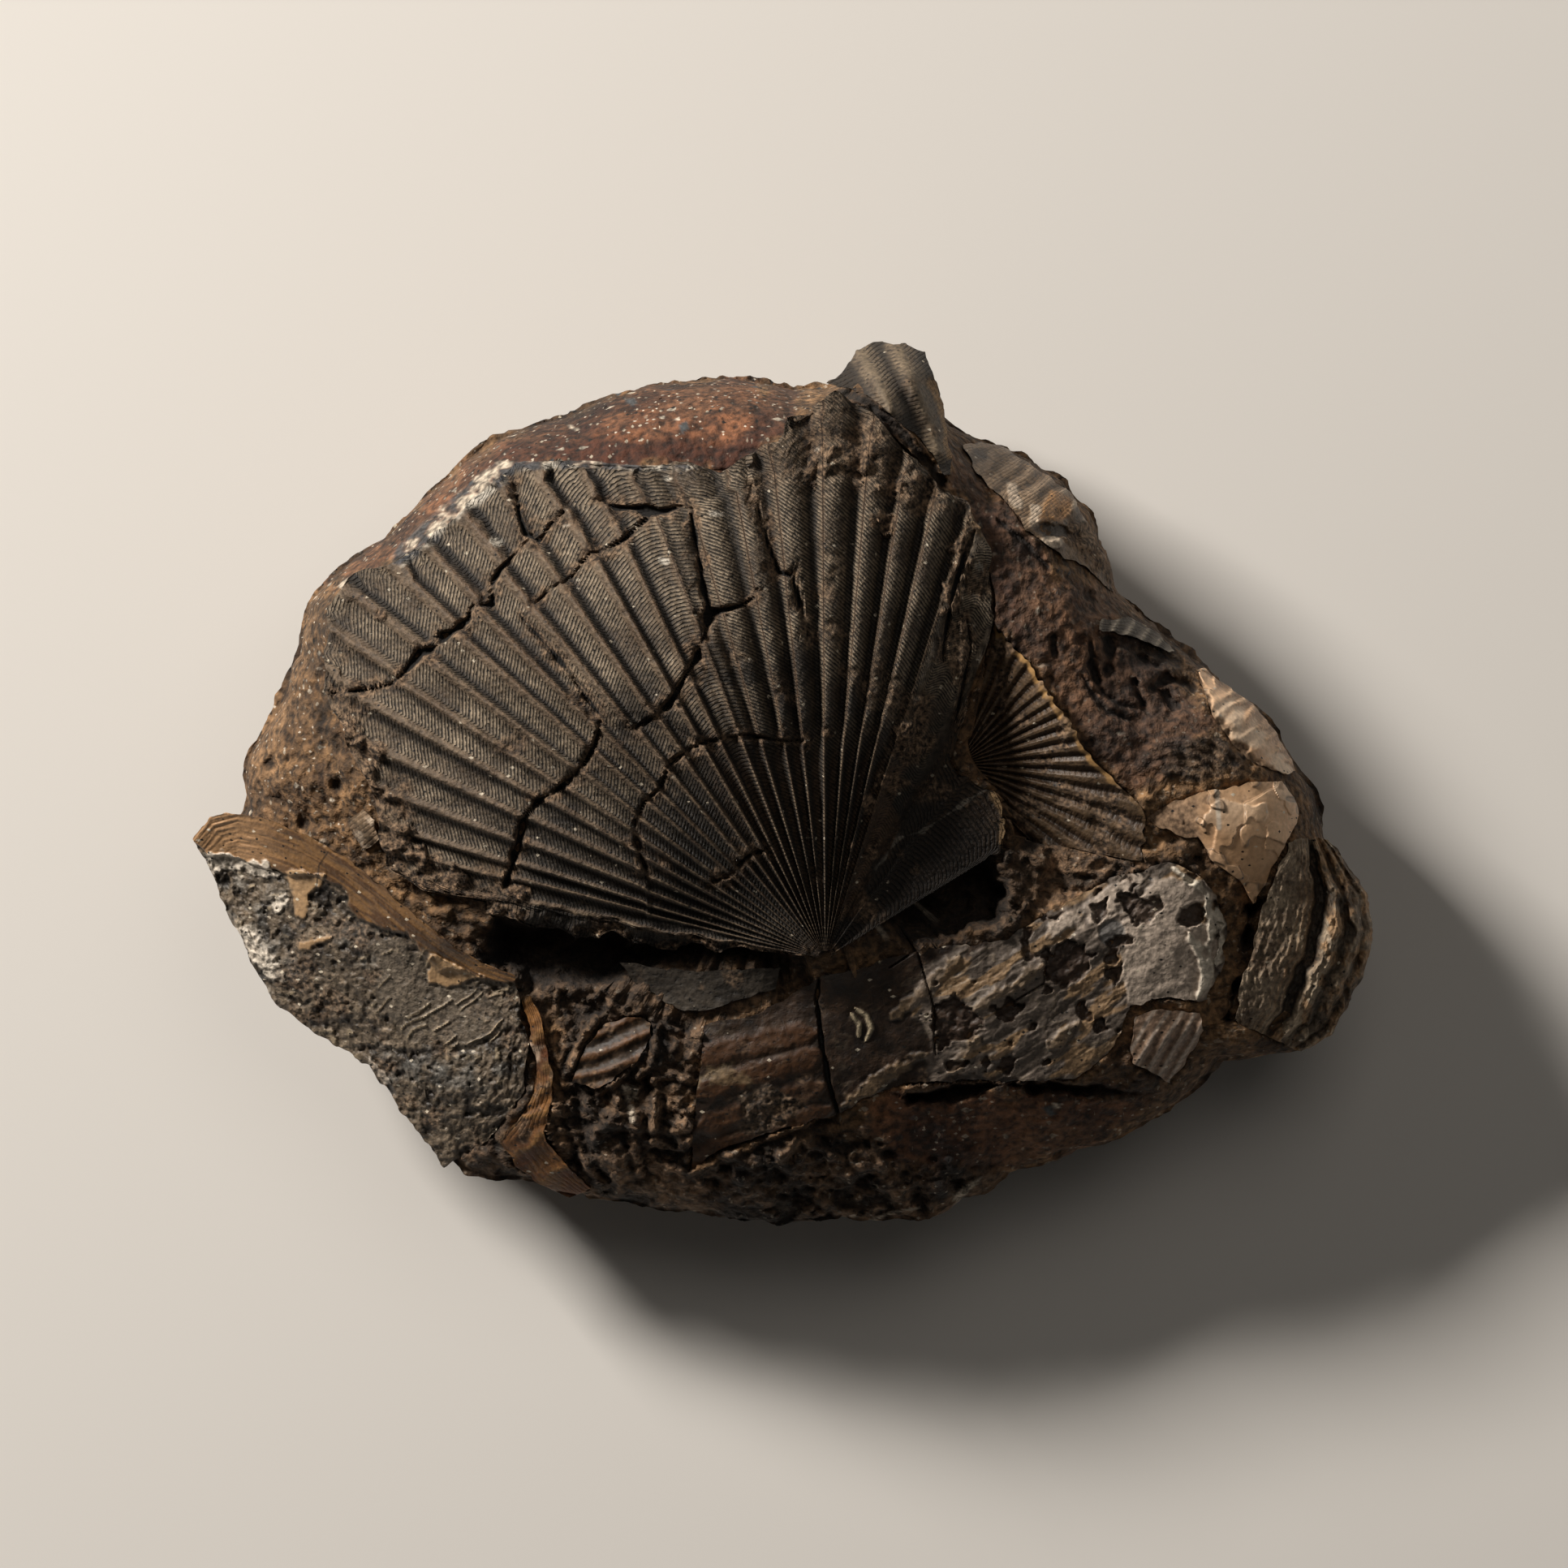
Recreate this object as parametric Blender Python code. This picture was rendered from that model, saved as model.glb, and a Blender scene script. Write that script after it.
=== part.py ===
"""Fossil scallop: a lump of shell limestone with one big ribbed valve on its upper face.

Plan positions are in millimetres, x to the right and y away from the viewer, and the
upper face looks along +z. Everything is turned to metres where a mesh is made.
"""
import math

import bmesh
import bpy
import numpy as np
from mathutils import Matrix

MM = 0.001
FIT = 0.35              # air between the rim of a shell and the stone round it
BED_GAP = 0.6           # air between the underside of a shell and its bed
EQUATOR = 27.0          # height of the widest line round the lump
SHOULDER = 11.0         # how far in from the outline the upper side reaches full height
BELLY = 31.0            # how far in from the outline the underside reaches the flat base
OPEN_AIR = 40.0         # how far a pocket cutter stands above what it cuts
CREASE = 35.0           # a bend of more than this many degrees is shaded as an edge
STONE_COLUMNS, STONE_RINGS = 56, 18
BELLY_LUMPS = 1.8       # height of the slow lumps on the underside
LUMP_PITCH = (9.0, 11.0)
FLAT_FROM = 0.97        # beyond this share of the belly the base is flat

for leftover in list(bpy.data.objects):
    bpy.data.objects.remove(leftover, do_unlink=True)


def new_collection(name):
    collection = bpy.data.collections.new(name)
    bpy.context.scene.collection.children.link(collection)
    return collection


fossil = new_collection("fossil_scallop")
cutters = new_collection("cutters")
lump = bpy.data.objects.new("fossil_scallop_block", None)
fossil.objects.link(lump)


def set_down(name, data, collection, stuff=None):
    """Makes an object of a mesh, with its origin in the middle of the mesh."""
    corners = np.array([vert.co for vert in data.vertices])
    middle = (corners.min(0) + corners.max(0)) / 2.0
    data.transform(Matrix.Translation(-middle))
    body = bpy.data.objects.new(name, data)
    body.location = middle
    collection.objects.link(body)
    if stuff:
        body.parent = lump
        data.materials.append(stuff)
        data.shade_smooth()
        data.set_sharp_from_angle(angle=math.radians(CREASE))
    return body


def new_material(name, colour, roughness):
    made = bpy.data.materials.new(name)
    made.use_nodes = True
    shader = made.node_tree.nodes["Principled BSDF"]
    shader.inputs["Base Color"].default_value = (*colour, 1.0)
    shader.inputs["Roughness"].default_value = roughness
    return made


# Spot heights (x, y, z) of the stone before any shell is let into it.
STONE_SPOTS = [
    (-69.7, 32, 51), (-60.6, 42.4, 54), (-52.8, 46.3, 56), (-42.4, 54.1, 57), (-32, 54.7, 58),
    (-21.6, 55.4, 59), (-12.5, 54.1, 61), (-4.7, 58, 60), (-71, 21.6, 50), (-80.1, 8.6, 43),
    (-73.6, 2.1, 47), (-82.7, -4.4, 37), (-67.1, -9.6, 47), (-58, -16.8, 48), (-86.6, -12.2, 31),
    (-73.6, -21.3, 38), (-60.6, -30.4, 41), (-52.8, -36.9, 42), (-67.1, -36.9, 34),
    (-45, -43.4, 42), (-54.1, -53.8, 34), (-42.4, -30.4, 45), (-42.4, -35.6, 45),
    (-29.4, -35, 46), (-21.6, -35.6, 47), (-8.6, -37.6, 49), (1.8, -31.7, 50),
    (-34.6, -43.4, 44), (-26.8, -43.4, 46), (-34.6, -56.4, 38), (-21.6, -56.4, 41),
    (-13.8, -49.9, 45), (-2.1, -43.4, 48), (4.4, -56.4, 41), (-8.6, -62.9, 36),
    (17.4, -30.4, 51), (30.4, -27.8, 51), (43.4, -23.9, 50), (56.4, -21.3, 48),
    (66.8, -23.9, 45), (30.4, -38.2, 48), (43.4, -35.6, 46), (56.4, -35.6, 44),
    (23.9, -47.3, 43), (43.4, -47.3, 42), (56.4, -46, 40), (30.4, -56.4, 36), (49.9, -53.8, 35),
    (30.4, 26.8, 58), (29.1, 41.1, 57), (38.2, 41.1, 53), (43.4, 28.1, 55), (36.9, 28.1, 57),
    (49.9, 15.1, 53), (59, 15.1, 48), (66.8, 8.6, 48), (49.9, 6, 54), (59, 2.1, 51),
    (69.4, 2.1, 48), (62.9, -7, 50), (75.9, -4.4, 46), (77.2, -14.8, 43), (72, -25.2, 41),
    (82.4, -17.4, 37), (87.6, -23.9, 33), (77.2, -34.3, 37), (30.4, 52.8, 49), (39.5, 46.3, 48),
    (47.3, 34.6, 48), (14.8, 63.2, 63), (20.7, 60.6, 63), (25.2, 52.8, 60), (36.9, 8.6, 52),
    (46, -9.6, 48), (43.4, -16.1, 49),
]

# Outline of the lump seen from above.
STONE_OUTLINE = [
    (-90.2, -12), (-87.6, -4.4), (-86.6, 3.4), (-82.3, 11.8), (-78.7, 20.9), (-76.8, 29.4),
    (-72.9, 33.9), (-64.5, 39.8), (-54.7, 48.9), (-46.9, 55.4), (-35.2, 59.3), (-28.1, 62.9),
    (-17.7, 64.7), (-7.9, 65.4), (1.2, 63.6), (7, 64), (10.4, 65.8), (12.5, 68.4), (15.9, 69.4),
    (20.5, 69.2), (22.9, 65.5), (26, 58.6), (31.7, 55.9), (37.6, 53.3), (45.4, 48.6),
    (49.3, 43.9), (53.8, 30.9), (57.7, 27.2), (62.9, 23.3), (71, 16.6), (77.5, 11.2), (82, 4),
    (85.7, -1.8), (87.1, -8.3), (91.3, -15.1), (93.6, -22.6), (92.3, -30.4), (87.6, -39.5),
    (83.1, -43.3), (70.7, -44.7), (63.6, -51.2), (51.9, -58.1), (38.2, -62), (32.8, -66.2),
    (23.9, -69.4), (16.1, -70.7), (9.6, -69.8), (-0.8, -70.7), (-15.1, -69), (-28.1, -66.8),
    (-39.8, -64.9), (-50.2, -62.7), (-53.3, -60.8), (-58.1, -53.8), (-65.3, -44.1),
    (-71.5, -40.6), (-80.2, -34.1), (-86.1, -23.9), (-89.3, -16.9),
]

# Spot heights of the big valve: a dome whose top lies left of its middle.
VALVE_SPOTS = [
    (6, -25.9, 59), (-0.8, -20, 60.5), (9.6, -14.8, 60.5), (4.4, -12.2, 64), (-11.2, -22, 57.5),
    (-21.6, -22, 56.5), (-34.6, -21.3, 55), (-42.4, -22.6, 53.5), (-47.6, -19.4, 52.5),
    (-8.6, -10.9, 66), (-21.6, -10.9, 65.5), (-34.6, -9.6, 63), (-47.6, -8.3, 59),
    (-60.6, -9.6, 52.5), (-2.1, 2.1, 69.5), (-15.1, 3.4, 72), (-28.1, 4.7, 71), (-41.1, 6, 67.5),
    (-54.1, 6, 62), (-67.1, 4.7, 55.5), (-8.6, 17.7, 73), (-21.6, 19, 73), (-34.6, 21.6, 70),
    (-47.6, 22.9, 65.5), (-60.6, 22.9, 60.5), (-71.6, 22.9, 54), (4.4, 15.1, 70),
    (14.8, 15.1, 66.5), (23.9, 15.1, 62), (30.4, 17.7, 58.5), (-8.6, 34.6, 70.5),
    (-21.6, 34.6, 70), (-34.6, 37.2, 66), (-47.6, 37.2, 62), (-58, 34.6, 58.5), (4.4, 34.6, 69),
    (17.4, 34.6, 64.5), (29.1, 34.6, 59.5), (-8.6, 47.6, 65.5), (-21.6, 48.9, 64),
    (-34.6, 48.9, 62), (4.4, 52.8, 65.5), (9.6, 60.6, 63.5), (17.4, 51.5, 62.5),
    (23.9, 47.6, 60.5), (17.4, 0.8, 62.5), (23.9, 4.7, 59.4), (14.8, -7, 60), (10.9, -14.8, 60),
    (25.9, 2.7, 57.2), (30.4, -4.4, 55.2), (35, -7, 53.4), (30.4, -11.6, 53.4),
    (21.3, -12.2, 56), (14.8, -18.7, 57),
]
VALVE_BEAK = (6.6, -27.8)
# The valve's margin from the hollow on the left, over the top, to the tip of the ear.
VALVE_MARGIN = [
    (-42.4, -22.6), (-46.8, -21.1), (-47.6, -18.7), (-58, -16.4), (-63.2, -14.2), (-64.5, -3.1),
    (-69.7, 8.6), (-72.9, 12.5), (-73.6, 21.6), (-72.3, 29.4), (-70.3, 33), (-63.2, 34.6),
    (-60.6, 35.9), (-52.8, 42.4), (-47.6, 46.9), (-42.4, 50.8), (-32, 51.1), (-24.2, 50.4),
    (-13.8, 50.4), (-8.6, 50.2), (-4, 52.8), (-0.8, 54.1), (1.2, 58.6), (4.4, 60.6), (8.3, 62.3),
    (12, 60.7), (17.9, 54.9), (22.5, 50.8), (24.6, 47.2), (28.5, 45), (31.1, 41.1), (32.4, 34.6),
    (33.7, 29.4), (33.3, 24.2), (30.4, 15.1), (27.8, 8.6), (26.3, 4.9), (27.8, 1.4), (32, -1.2),
    (34.6, -4.4), (35.6, -6), (35.6, -9), (33.7, -11.2),
]
# Directions of the rib crests, seen from the beak.
VALVE_CRESTS = [
    170.0, 166.1, 163.4, 159.4, 155.1, 150.9, 147.0, 142.9, 138.4, 134.7, 129.7, 125.1,
    119.8, 115.8, 111.0, 106.6, 100.9, 96.1, 90.4, 85.2, 80.9, 76.7, 71.9,
]
LOWER_STRIP = 172.4      # below this direction the valve's lower edge is a plain strip
LAST_TROUGH = 67.0       # where the trough after the last crest ends
TROUGH = (0.36, 0.74)    # the trough's two sides, as shares of the way to the next crest
RIB_TURNS = [67.0, 76.0, 105.0, 125.0, 145.0, 170.0]
RIB_HEIGHTS = [1.4, 2.4, 2.3, 1.6, 1.2, 1.0]
BROAD_TURNS = [102.0, 122.0]     # ribs are broad on the right of these and narrow on the left
BROAD_SHOULDER = 0.9     # height of a broad rib at its trough's first side
EAR_TURNS = [67.0, 65.2, 63.4, 61.6, 59.4, 56.5, 52.0, 47.0, 42.0, 38.0, 34.6]
VALVE_THICK = 2.6
BEAK_TIP = 1.6           # the valve's first row lies this far out from its beak
STONE_BELOW = 0.7        # the bare stone lies this much lower than the valve's own face

SMALL_BEAK = (27.6, 3.1)
SMALL_RIBS = 17
SMALL_FIRST, SMALL_LAST = 75.0, -45.5     # directions of its two side edges
SMALL_RIB = 0.8          # height of its ribs, and of the ribs on most broken pieces
# Where the small valve comes out from under the big one, and its own broken margin.
SMALL_START = [
    (32.2, 20.5), (31.9, 16.4), (30.6, 10.5), (29.8, 7.2), (29.5, 6.2), (29.8, 5.1), (30.3, 4.4),
    (30.6, 3.6), (30.6, 3.1), (30.7, 2.7), (31.1, 2.5), (31.7, 1.8), (33, 0.3), (33.7, -0.4),
    (34.7, -2), (36, -4.4), (36.4, -5.9),
]
SMALL_MARGIN = [
    (33.3, 25.7), (35.6, 22.9), (38.9, 19.6), (41.5, 15.1), (44.7, 11.2), (47.3, 6.6),
    (49.9, 3.4), (53.2, 0.1), (56.4, -2.5), (57.5, -5.7), (57.1, -12.2), (46.8, -10.4),
    (39.6, -9), (36.9, -8.1),
]
SMALL_SPOTS = [
    (29.1, 4.7, 50.5), (35.6, -6, 47), (34.1, 23.5, 55), (36.9, 15.1, 53.5), (43.4, 2.1, 51.5),
    (38.9, 19.6, 56.5), (47.3, 6.6, 56), (56.4, -2.5, 52.5), (57.1, -12.2, 49.5), (46, -9.6, 48),
    (42.1, 12.5, 56.5), (36.9, 2.1, 49.5),
]


def survey(spots):
    """A smooth surface through spot heights, bent as little as it can be."""
    spot = np.array(spots, float)
    count = len(spot)

    def pull(x, y):
        square = (x[..., None] - spot[:, 0]) ** 2 + (y[..., None] - spot[:, 1]) ** 2
        return 0.5 * square * np.log(square + 1e-6)

    rules = np.zeros((count + 3, count + 3))
    rules[:count, :count] = pull(spot[:, 0], spot[:, 1])
    rules[:count, count] = 1.0
    rules[:count, count + 1:] = spot[:, :2]
    rules[count:, :count] = rules[:count, count:].T
    weight = np.linalg.solve(rules, np.append(spot[:, 2], (0.0, 0.0, 0.0)))

    def height(x, y):
        tilt = weight[count] + weight[count + 1] * x + weight[count + 2] * y
        return pull(x, y) @ weight[:count] + tilt

    return height


def along(line, share):
    """The points at the given shares, 0 to 1, of a line's length."""
    points = np.array(line, float)
    run = np.append(0.0, np.cumsum(np.hypot(*np.diff(points, axis=0).T)))
    return np.column_stack([np.interp(share * run[-1], run, part) for part in points.T])


def between(near, far):
    """Lays a grid out between two lines in plan."""
    def place(u, v):
        start = along(near, u)[:, None, :]
        end = along(far, u)[:, None, :]
        return start + (end - start) * v[None, :, None]
    return place


def fan(beak, starts, ends, first, last):
    """Lays a grid out as a fan of rays round a beak, over the given directions."""
    def place(u, v):
        turn = first + (last - first) * u
        start = starts(turn)[:, None]
        reach = start + (ends(turn)[:, None] - start) * v[None, :]
        angle = np.radians(turn)[:, None]
        return np.stack([beak[0] + reach * np.cos(angle), beak[1] + reach * np.sin(angle)], 2)
    return place


def widened(grid, by):
    """The same plan grid with its rim moved outwards."""
    wide, deep = grid.shape[:2]
    rim = [(i, 0) for i in range(wide)] + [(wide - 1, j) for j in range(1, deep)]
    rim += [(i, deep - 1) for i in range(wide - 2, -1, -1)]
    rim += [(0, j) for j in range(deep - 2, 0, -1)]
    loop = np.array([grid[spot] for spot in rim])
    ahead = np.roll(loop, -1, axis=0) - np.roll(loop, 1, axis=0)
    outward = np.column_stack([ahead[:, 1], -ahead[:, 0]])
    outward /= np.linalg.norm(outward, axis=1)[:, None]
    area = np.sum(loop[:, 0] * np.roll(loop[:, 1], -1) - loop[:, 1] * np.roll(loop[:, 0], -1))
    moved = grid.copy()
    for spot, push in zip(rim, outward * by * math.copysign(1.0, area)):
        moved[spot] += push
    return moved


def slab(name, grid, top, bottom, collection, stuff=None):
    """A closed slab over a plan grid, between two sets of heights."""
    wide, deep = grid.shape[:2]
    mesh = bmesh.new()
    bmesh.ops.create_grid(mesh, x_segments=wide - 1, y_segments=deep - 1, size=1.0)
    lower = list(mesh.verts)
    raised = bmesh.ops.extrude_face_region(mesh, geom=mesh.faces[:])
    upper = [item for item in raised["geom"] if isinstance(item, bmesh.types.BMVert)]
    for verts, heights in ((lower, bottom), (upper, top)):
        for vert in verts:
            i = round((vert.co.x + 1.0) / 2.0 * (wide - 1))
            j = round((vert.co.y + 1.0) / 2.0 * (deep - 1))
            vert.co = (grid[i, j, 0] * MM, grid[i, j, 1] * MM, heights[i, j] * MM)
    bmesh.ops.recalc_face_normals(mesh, faces=mesh.faces[:])
    if mesh.calc_volume(signed=True) < 0.0:
        bmesh.ops.reverse_faces(mesh, faces=mesh.faces[:])
    bmesh.ops.triangulate(mesh, faces=mesh.faces[:])
    data = bpy.data.meshes.new(name)
    mesh.to_mesh(data)
    mesh.free()
    return set_down(name, data, collection, stuff)


# The stone, a ball whose points are moved onto the outline and the two faces.
stone_face = survey(STONE_SPOTS + [(x, y, z - STONE_BELOW) for x, y, z in VALVE_SPOTS])
outline = np.array(STONE_OUTLINE)
outline_turn = np.degrees(np.arctan2(outline[:, 1], outline[:, 0])) % 360.0
outline_reach = np.hypot(outline[:, 0], outline[:, 1])
order = np.argsort(outline_turn)
outline_turn = outline_turn[order]
outline_reach = outline_reach[order]


def stone_reach(turn):
    return np.interp(turn % 360.0, outline_turn, outline_reach, period=360.0)


def stone_top(x, y):
    """Height of the upper face, rounded over towards the outline."""
    reach = stone_reach(np.degrees(np.arctan2(y, x)))
    inside = np.clip((reach - np.hypot(x, y)) / SHOULDER, 0.0, 1.0)
    round_over = np.sqrt(1.0 - (1.0 - inside) ** 2)
    return EQUATOR + (stone_face(x, y) - EQUATOR) * round_over


def stone_bottom(x, y):
    """Height of the underside: a rough belly that ends in the flat base."""
    reach = stone_reach(np.degrees(np.arctan2(y, x)))
    inside = np.clip((reach - np.hypot(x, y)) / BELLY, 0.0, 1.0)
    belly = EQUATOR * (1.0 - np.sqrt(1.0 - (1.0 - inside) ** 2))
    wave = np.sin(x / LUMP_PITCH[0] + 1.0) * np.cos(y / LUMP_PITCH[1])
    lumps = BELLY_LUMPS * wave * np.sin(inside * math.pi)
    return np.maximum(belly + lumps * (inside < FLAT_FROM), 0.0)


def make_stone():
    mesh = bmesh.new()
    bmesh.ops.create_uvsphere(mesh, u_segments=STONE_COLUMNS, v_segments=STONE_RINGS, radius=1.0)
    for vert in mesh.verts:
        flat = math.hypot(vert.co.x, vert.co.y)
        turn = math.degrees(math.atan2(vert.co.y, vert.co.x))
        reach = float(stone_reach(np.array(turn))) * min(1.0, flat)
        x = np.array(reach * math.cos(math.radians(turn)))
        y = np.array(reach * math.sin(math.radians(turn)))
        face = stone_bottom if vert.co.z < -0.001 else stone_top
        vert.co = (float(x) * MM, float(y) * MM, float(face(x, y)) * MM)
    data = bpy.data.meshes.new("matrix_rock")
    mesh.to_mesh(data)
    mesh.free()
    return set_down("matrix_rock", data, fossil,
                    new_material("ochre_limestone", (0.30, 0.20, 0.12), 0.9))


stone = make_stone()
pockets = []


def lay_shell(name, place, columns, rows, base, relief, thick, stuff):
    """One shell with its relief, and the cutter that makes its bed in the stone."""
    grid = place(columns, rows)
    x, y = grid[..., 0], grid[..., 1]
    smooth = base(x, y)
    slab(name, grid, smooth + relief(columns, rows), smooth - thick, fossil, stuff)
    bed = widened(grid, FIT)
    under = base(bed[..., 0], bed[..., 1]) - thick - BED_GAP
    pockets.append(slab(name + "_bed", bed, under + OPEN_AIR, under, cutters))


def steady(count):
    return np.linspace(0.0, 1.0, count)


def plain(columns, rows):
    return np.zeros((len(columns), len(rows)))


def flutes(count, depth):
    """Even ribs that run across a plate from its near to its far line."""
    def relief(columns, rows):
        wave = 0.5 - 0.5 * np.cos(2.0 * math.pi * count * columns)
        return depth * wave[:, None] * np.ones(len(rows))[None, :]
    return relief


LOWER_CRESTS = [0.25, 0.48, 0.70, 0.89]      # the ribs' places from its near to its far line
LOWER_RIB = 1.1
LOWER_ROWS = sorted(LOWER_CRESTS + [0.0, 0.14, 0.37, 0.59, 0.80, 1.0])


def lengthwise_ribs(columns, rows):
    """Four ribs along the left third of the lower valve, worn flat farther right."""
    worn = np.interp(columns, [0.0, 0.22, 0.35], [1.0, 1.0, 0.1])
    return LOWER_RIB * worn[:, None] * np.isin(rows, LOWER_CRESTS)[None, :]


def lifted(surface, by):
    return lambda x, y: surface(x, y) + by


def seen_from(beak, line):
    """Directions in degrees, rising, and distances of a line's points from a beak."""
    away = np.array(line) - np.array(beak)
    turn = np.degrees(np.arctan2(away[:, 1], away[:, 0]))
    order = np.argsort(turn)
    return turn[order], np.hypot(away[:, 0], away[:, 1])[order]


# The big valve. Three columns a rib: its narrow crest and the two sides of the trough.
margin = seen_from(VALVE_BEAK, VALVE_MARGIN)
first, last = margin[0][-1], margin[0][0]
turns = [first, LOWER_STRIP]
for crest, after in zip(VALVE_CRESTS, VALVE_CRESTS[1:] + [LAST_TROUGH]):
    turns += [crest] + [crest + side * (after - crest) for side in TROUGH]
turns += EAR_TURNS + [last]
turns = np.array(turns)
valve_columns = (turns - first) / (last - first)
valve_rows = np.array([0.0, 0.15, 0.35, 0.55, 0.74, 0.88, 1.0])


def valve_ribs(columns, rows):
    """Low narrow crests on the left, high and broad ribs on the right."""
    turn = first + (last - first) * columns
    share = np.zeros(len(turn))
    crests = 2 + 3 * np.arange(len(VALVE_CRESTS))
    share[crests] = 1.0
    share[crests + 1] = np.interp(turn[crests + 1], BROAD_TURNS, [BROAD_SHOULDER, 0.0])
    share *= np.interp(turn, RIB_TURNS, RIB_HEIGHTS)
    swell = np.interp(rows, [0.0, 0.15, 0.45, 1.0], [0.2, 0.7, 1.0, 1.0])
    return share[:, None] * swell[None, :]


lay_shell(
    "main_scallop_valve",
    fan(VALVE_BEAK, lambda turn: np.full(len(turn), BEAK_TIP),
        lambda turn: np.interp(turn, *margin), first, last),
    valve_columns, valve_rows, survey(VALVE_SPOTS), valve_ribs, VALVE_THICK,
    new_material("grey_brown_calcite", (0.17, 0.14, 0.10), 0.6))

# The small valve right of the ear, its ribs running out from its own beak.
small_start = seen_from(SMALL_BEAK, SMALL_START)
small_margin = seen_from(SMALL_BEAK, SMALL_MARGIN)
lay_shell(
    "small_scallop_valve",
    fan(SMALL_BEAK, lambda turn: np.interp(turn, *small_start),
        lambda turn: np.interp(turn, *small_margin), SMALL_FIRST, SMALL_LAST),
    steady(2 * SMALL_RIBS + 1), steady(4), survey(SMALL_SPOTS), flutes(SMALL_RIBS, SMALL_RIB),
    2.4, new_material("amber_calcite", (0.28, 0.20, 0.11), 0.55))

# The shell end that stands out at the top, with two ribs and a valley.
TOP_NEAR = [
    (8.8, 63.7), (13, 62.3), (15.2, 60.8), (17.4, 58.6), (20.4, 56), (24.2, 52.4), (25.7, 49.4),
]
TOP_FAR = [
    (6.9, 64.1), (10.3, 66.8), (11.6, 69.7), (14.8, 70.7), (19.4, 71), (22.4, 69.7),
    (23.3, 66.4), (25.2, 61.9), (26.1, 57.3), (26.8, 52.8), (26.9, 49.4),
]
TOP_SPOTS = [
    (8.8, 63.7, 56), (16.1, 60.6, 60.5), (25.2, 50.8, 59.5), (11.6, 69.4, 43), (17.4, 70.7, 41),
    (22.6, 68.9, 42), (26.1, 58, 49), (26.8, 52.8, 55), (19.4, 64.5, 55), (14.2, 66.4, 52),
]
lay_shell("top_ribbed_shell", between(TOP_NEAR, TOP_FAR), steady(9), steady(5),
          survey(TOP_SPOTS), flutes(2, 1.6), 2.6,
          new_material("dark_calcite", (0.12, 0.10, 0.08), 0.6))

# The oyster at the lower left: amber edge above, speckled grey face below.
OYSTER_NEAR = [
    (-95.2, -8.7), (-92.4, -5.5), (-87.9, -4.5), (-82.7, -5.7), (-76.2, -8.3), (-69.7, -12.2),
    (-63.2, -17.4), (-58, -22), (-54.1, -25.2), (-48.9, -28.6), (-43.2, -30.9),
]
OYSTER_FAR = [
    (-94.2, -10.7), (-91.1, -17.4), (-87.9, -24.6), (-85, -29.9), (-82, -35.4), (-77.5, -39),
    (-72.9, -42.1), (-67.1, -45.4), (-63.4, -50.2), (-59.9, -55.1), (-54.7, -61.8),
    (-46.8, -56.4), (-41.7, -49.3), (-41.1, -42.8), (-42.6, -34.6),
]
OYSTER_SPOTS = [
    (-94.9, -9.6, 33), (-87.9, -4.8, 38.5), (-76.2, -8.3, 44.5), (-63.2, -17.4, 49),
    (-54.1, -25.2, 49.5), (-43.2, -30.7, 49), (-88.9, -12.2, 33), (-77.5, -14.8, 40),
    (-68.4, -20, 43), (-54.7, -28.7, 45), (-86.6, -21.3, 31), (-73.6, -25.2, 38),
    (-60.6, -34.3, 40.5), (-47.6, -38.2, 43.5), (-41.3, -43.4, 44), (-82.7, -33, 28.5),
    (-69.7, -42.1, 30), (-58, -43.4, 37), (-48.9, -48.6, 39), (-60.6, -53.8, 29.5),
    (-52.8, -60.6, 29), (-46.8, -56.4, 33.5), (-41.7, -49.3, 41),
]
lay_shell("left_oyster_shell", between(OYSTER_NEAR, OYSTER_FAR), steady(17), steady(6),
          survey(OYSTER_SPOTS), plain, 2.4,
          new_material("speckled_grey_nacre", (0.22, 0.20, 0.17), 0.45))

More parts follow.
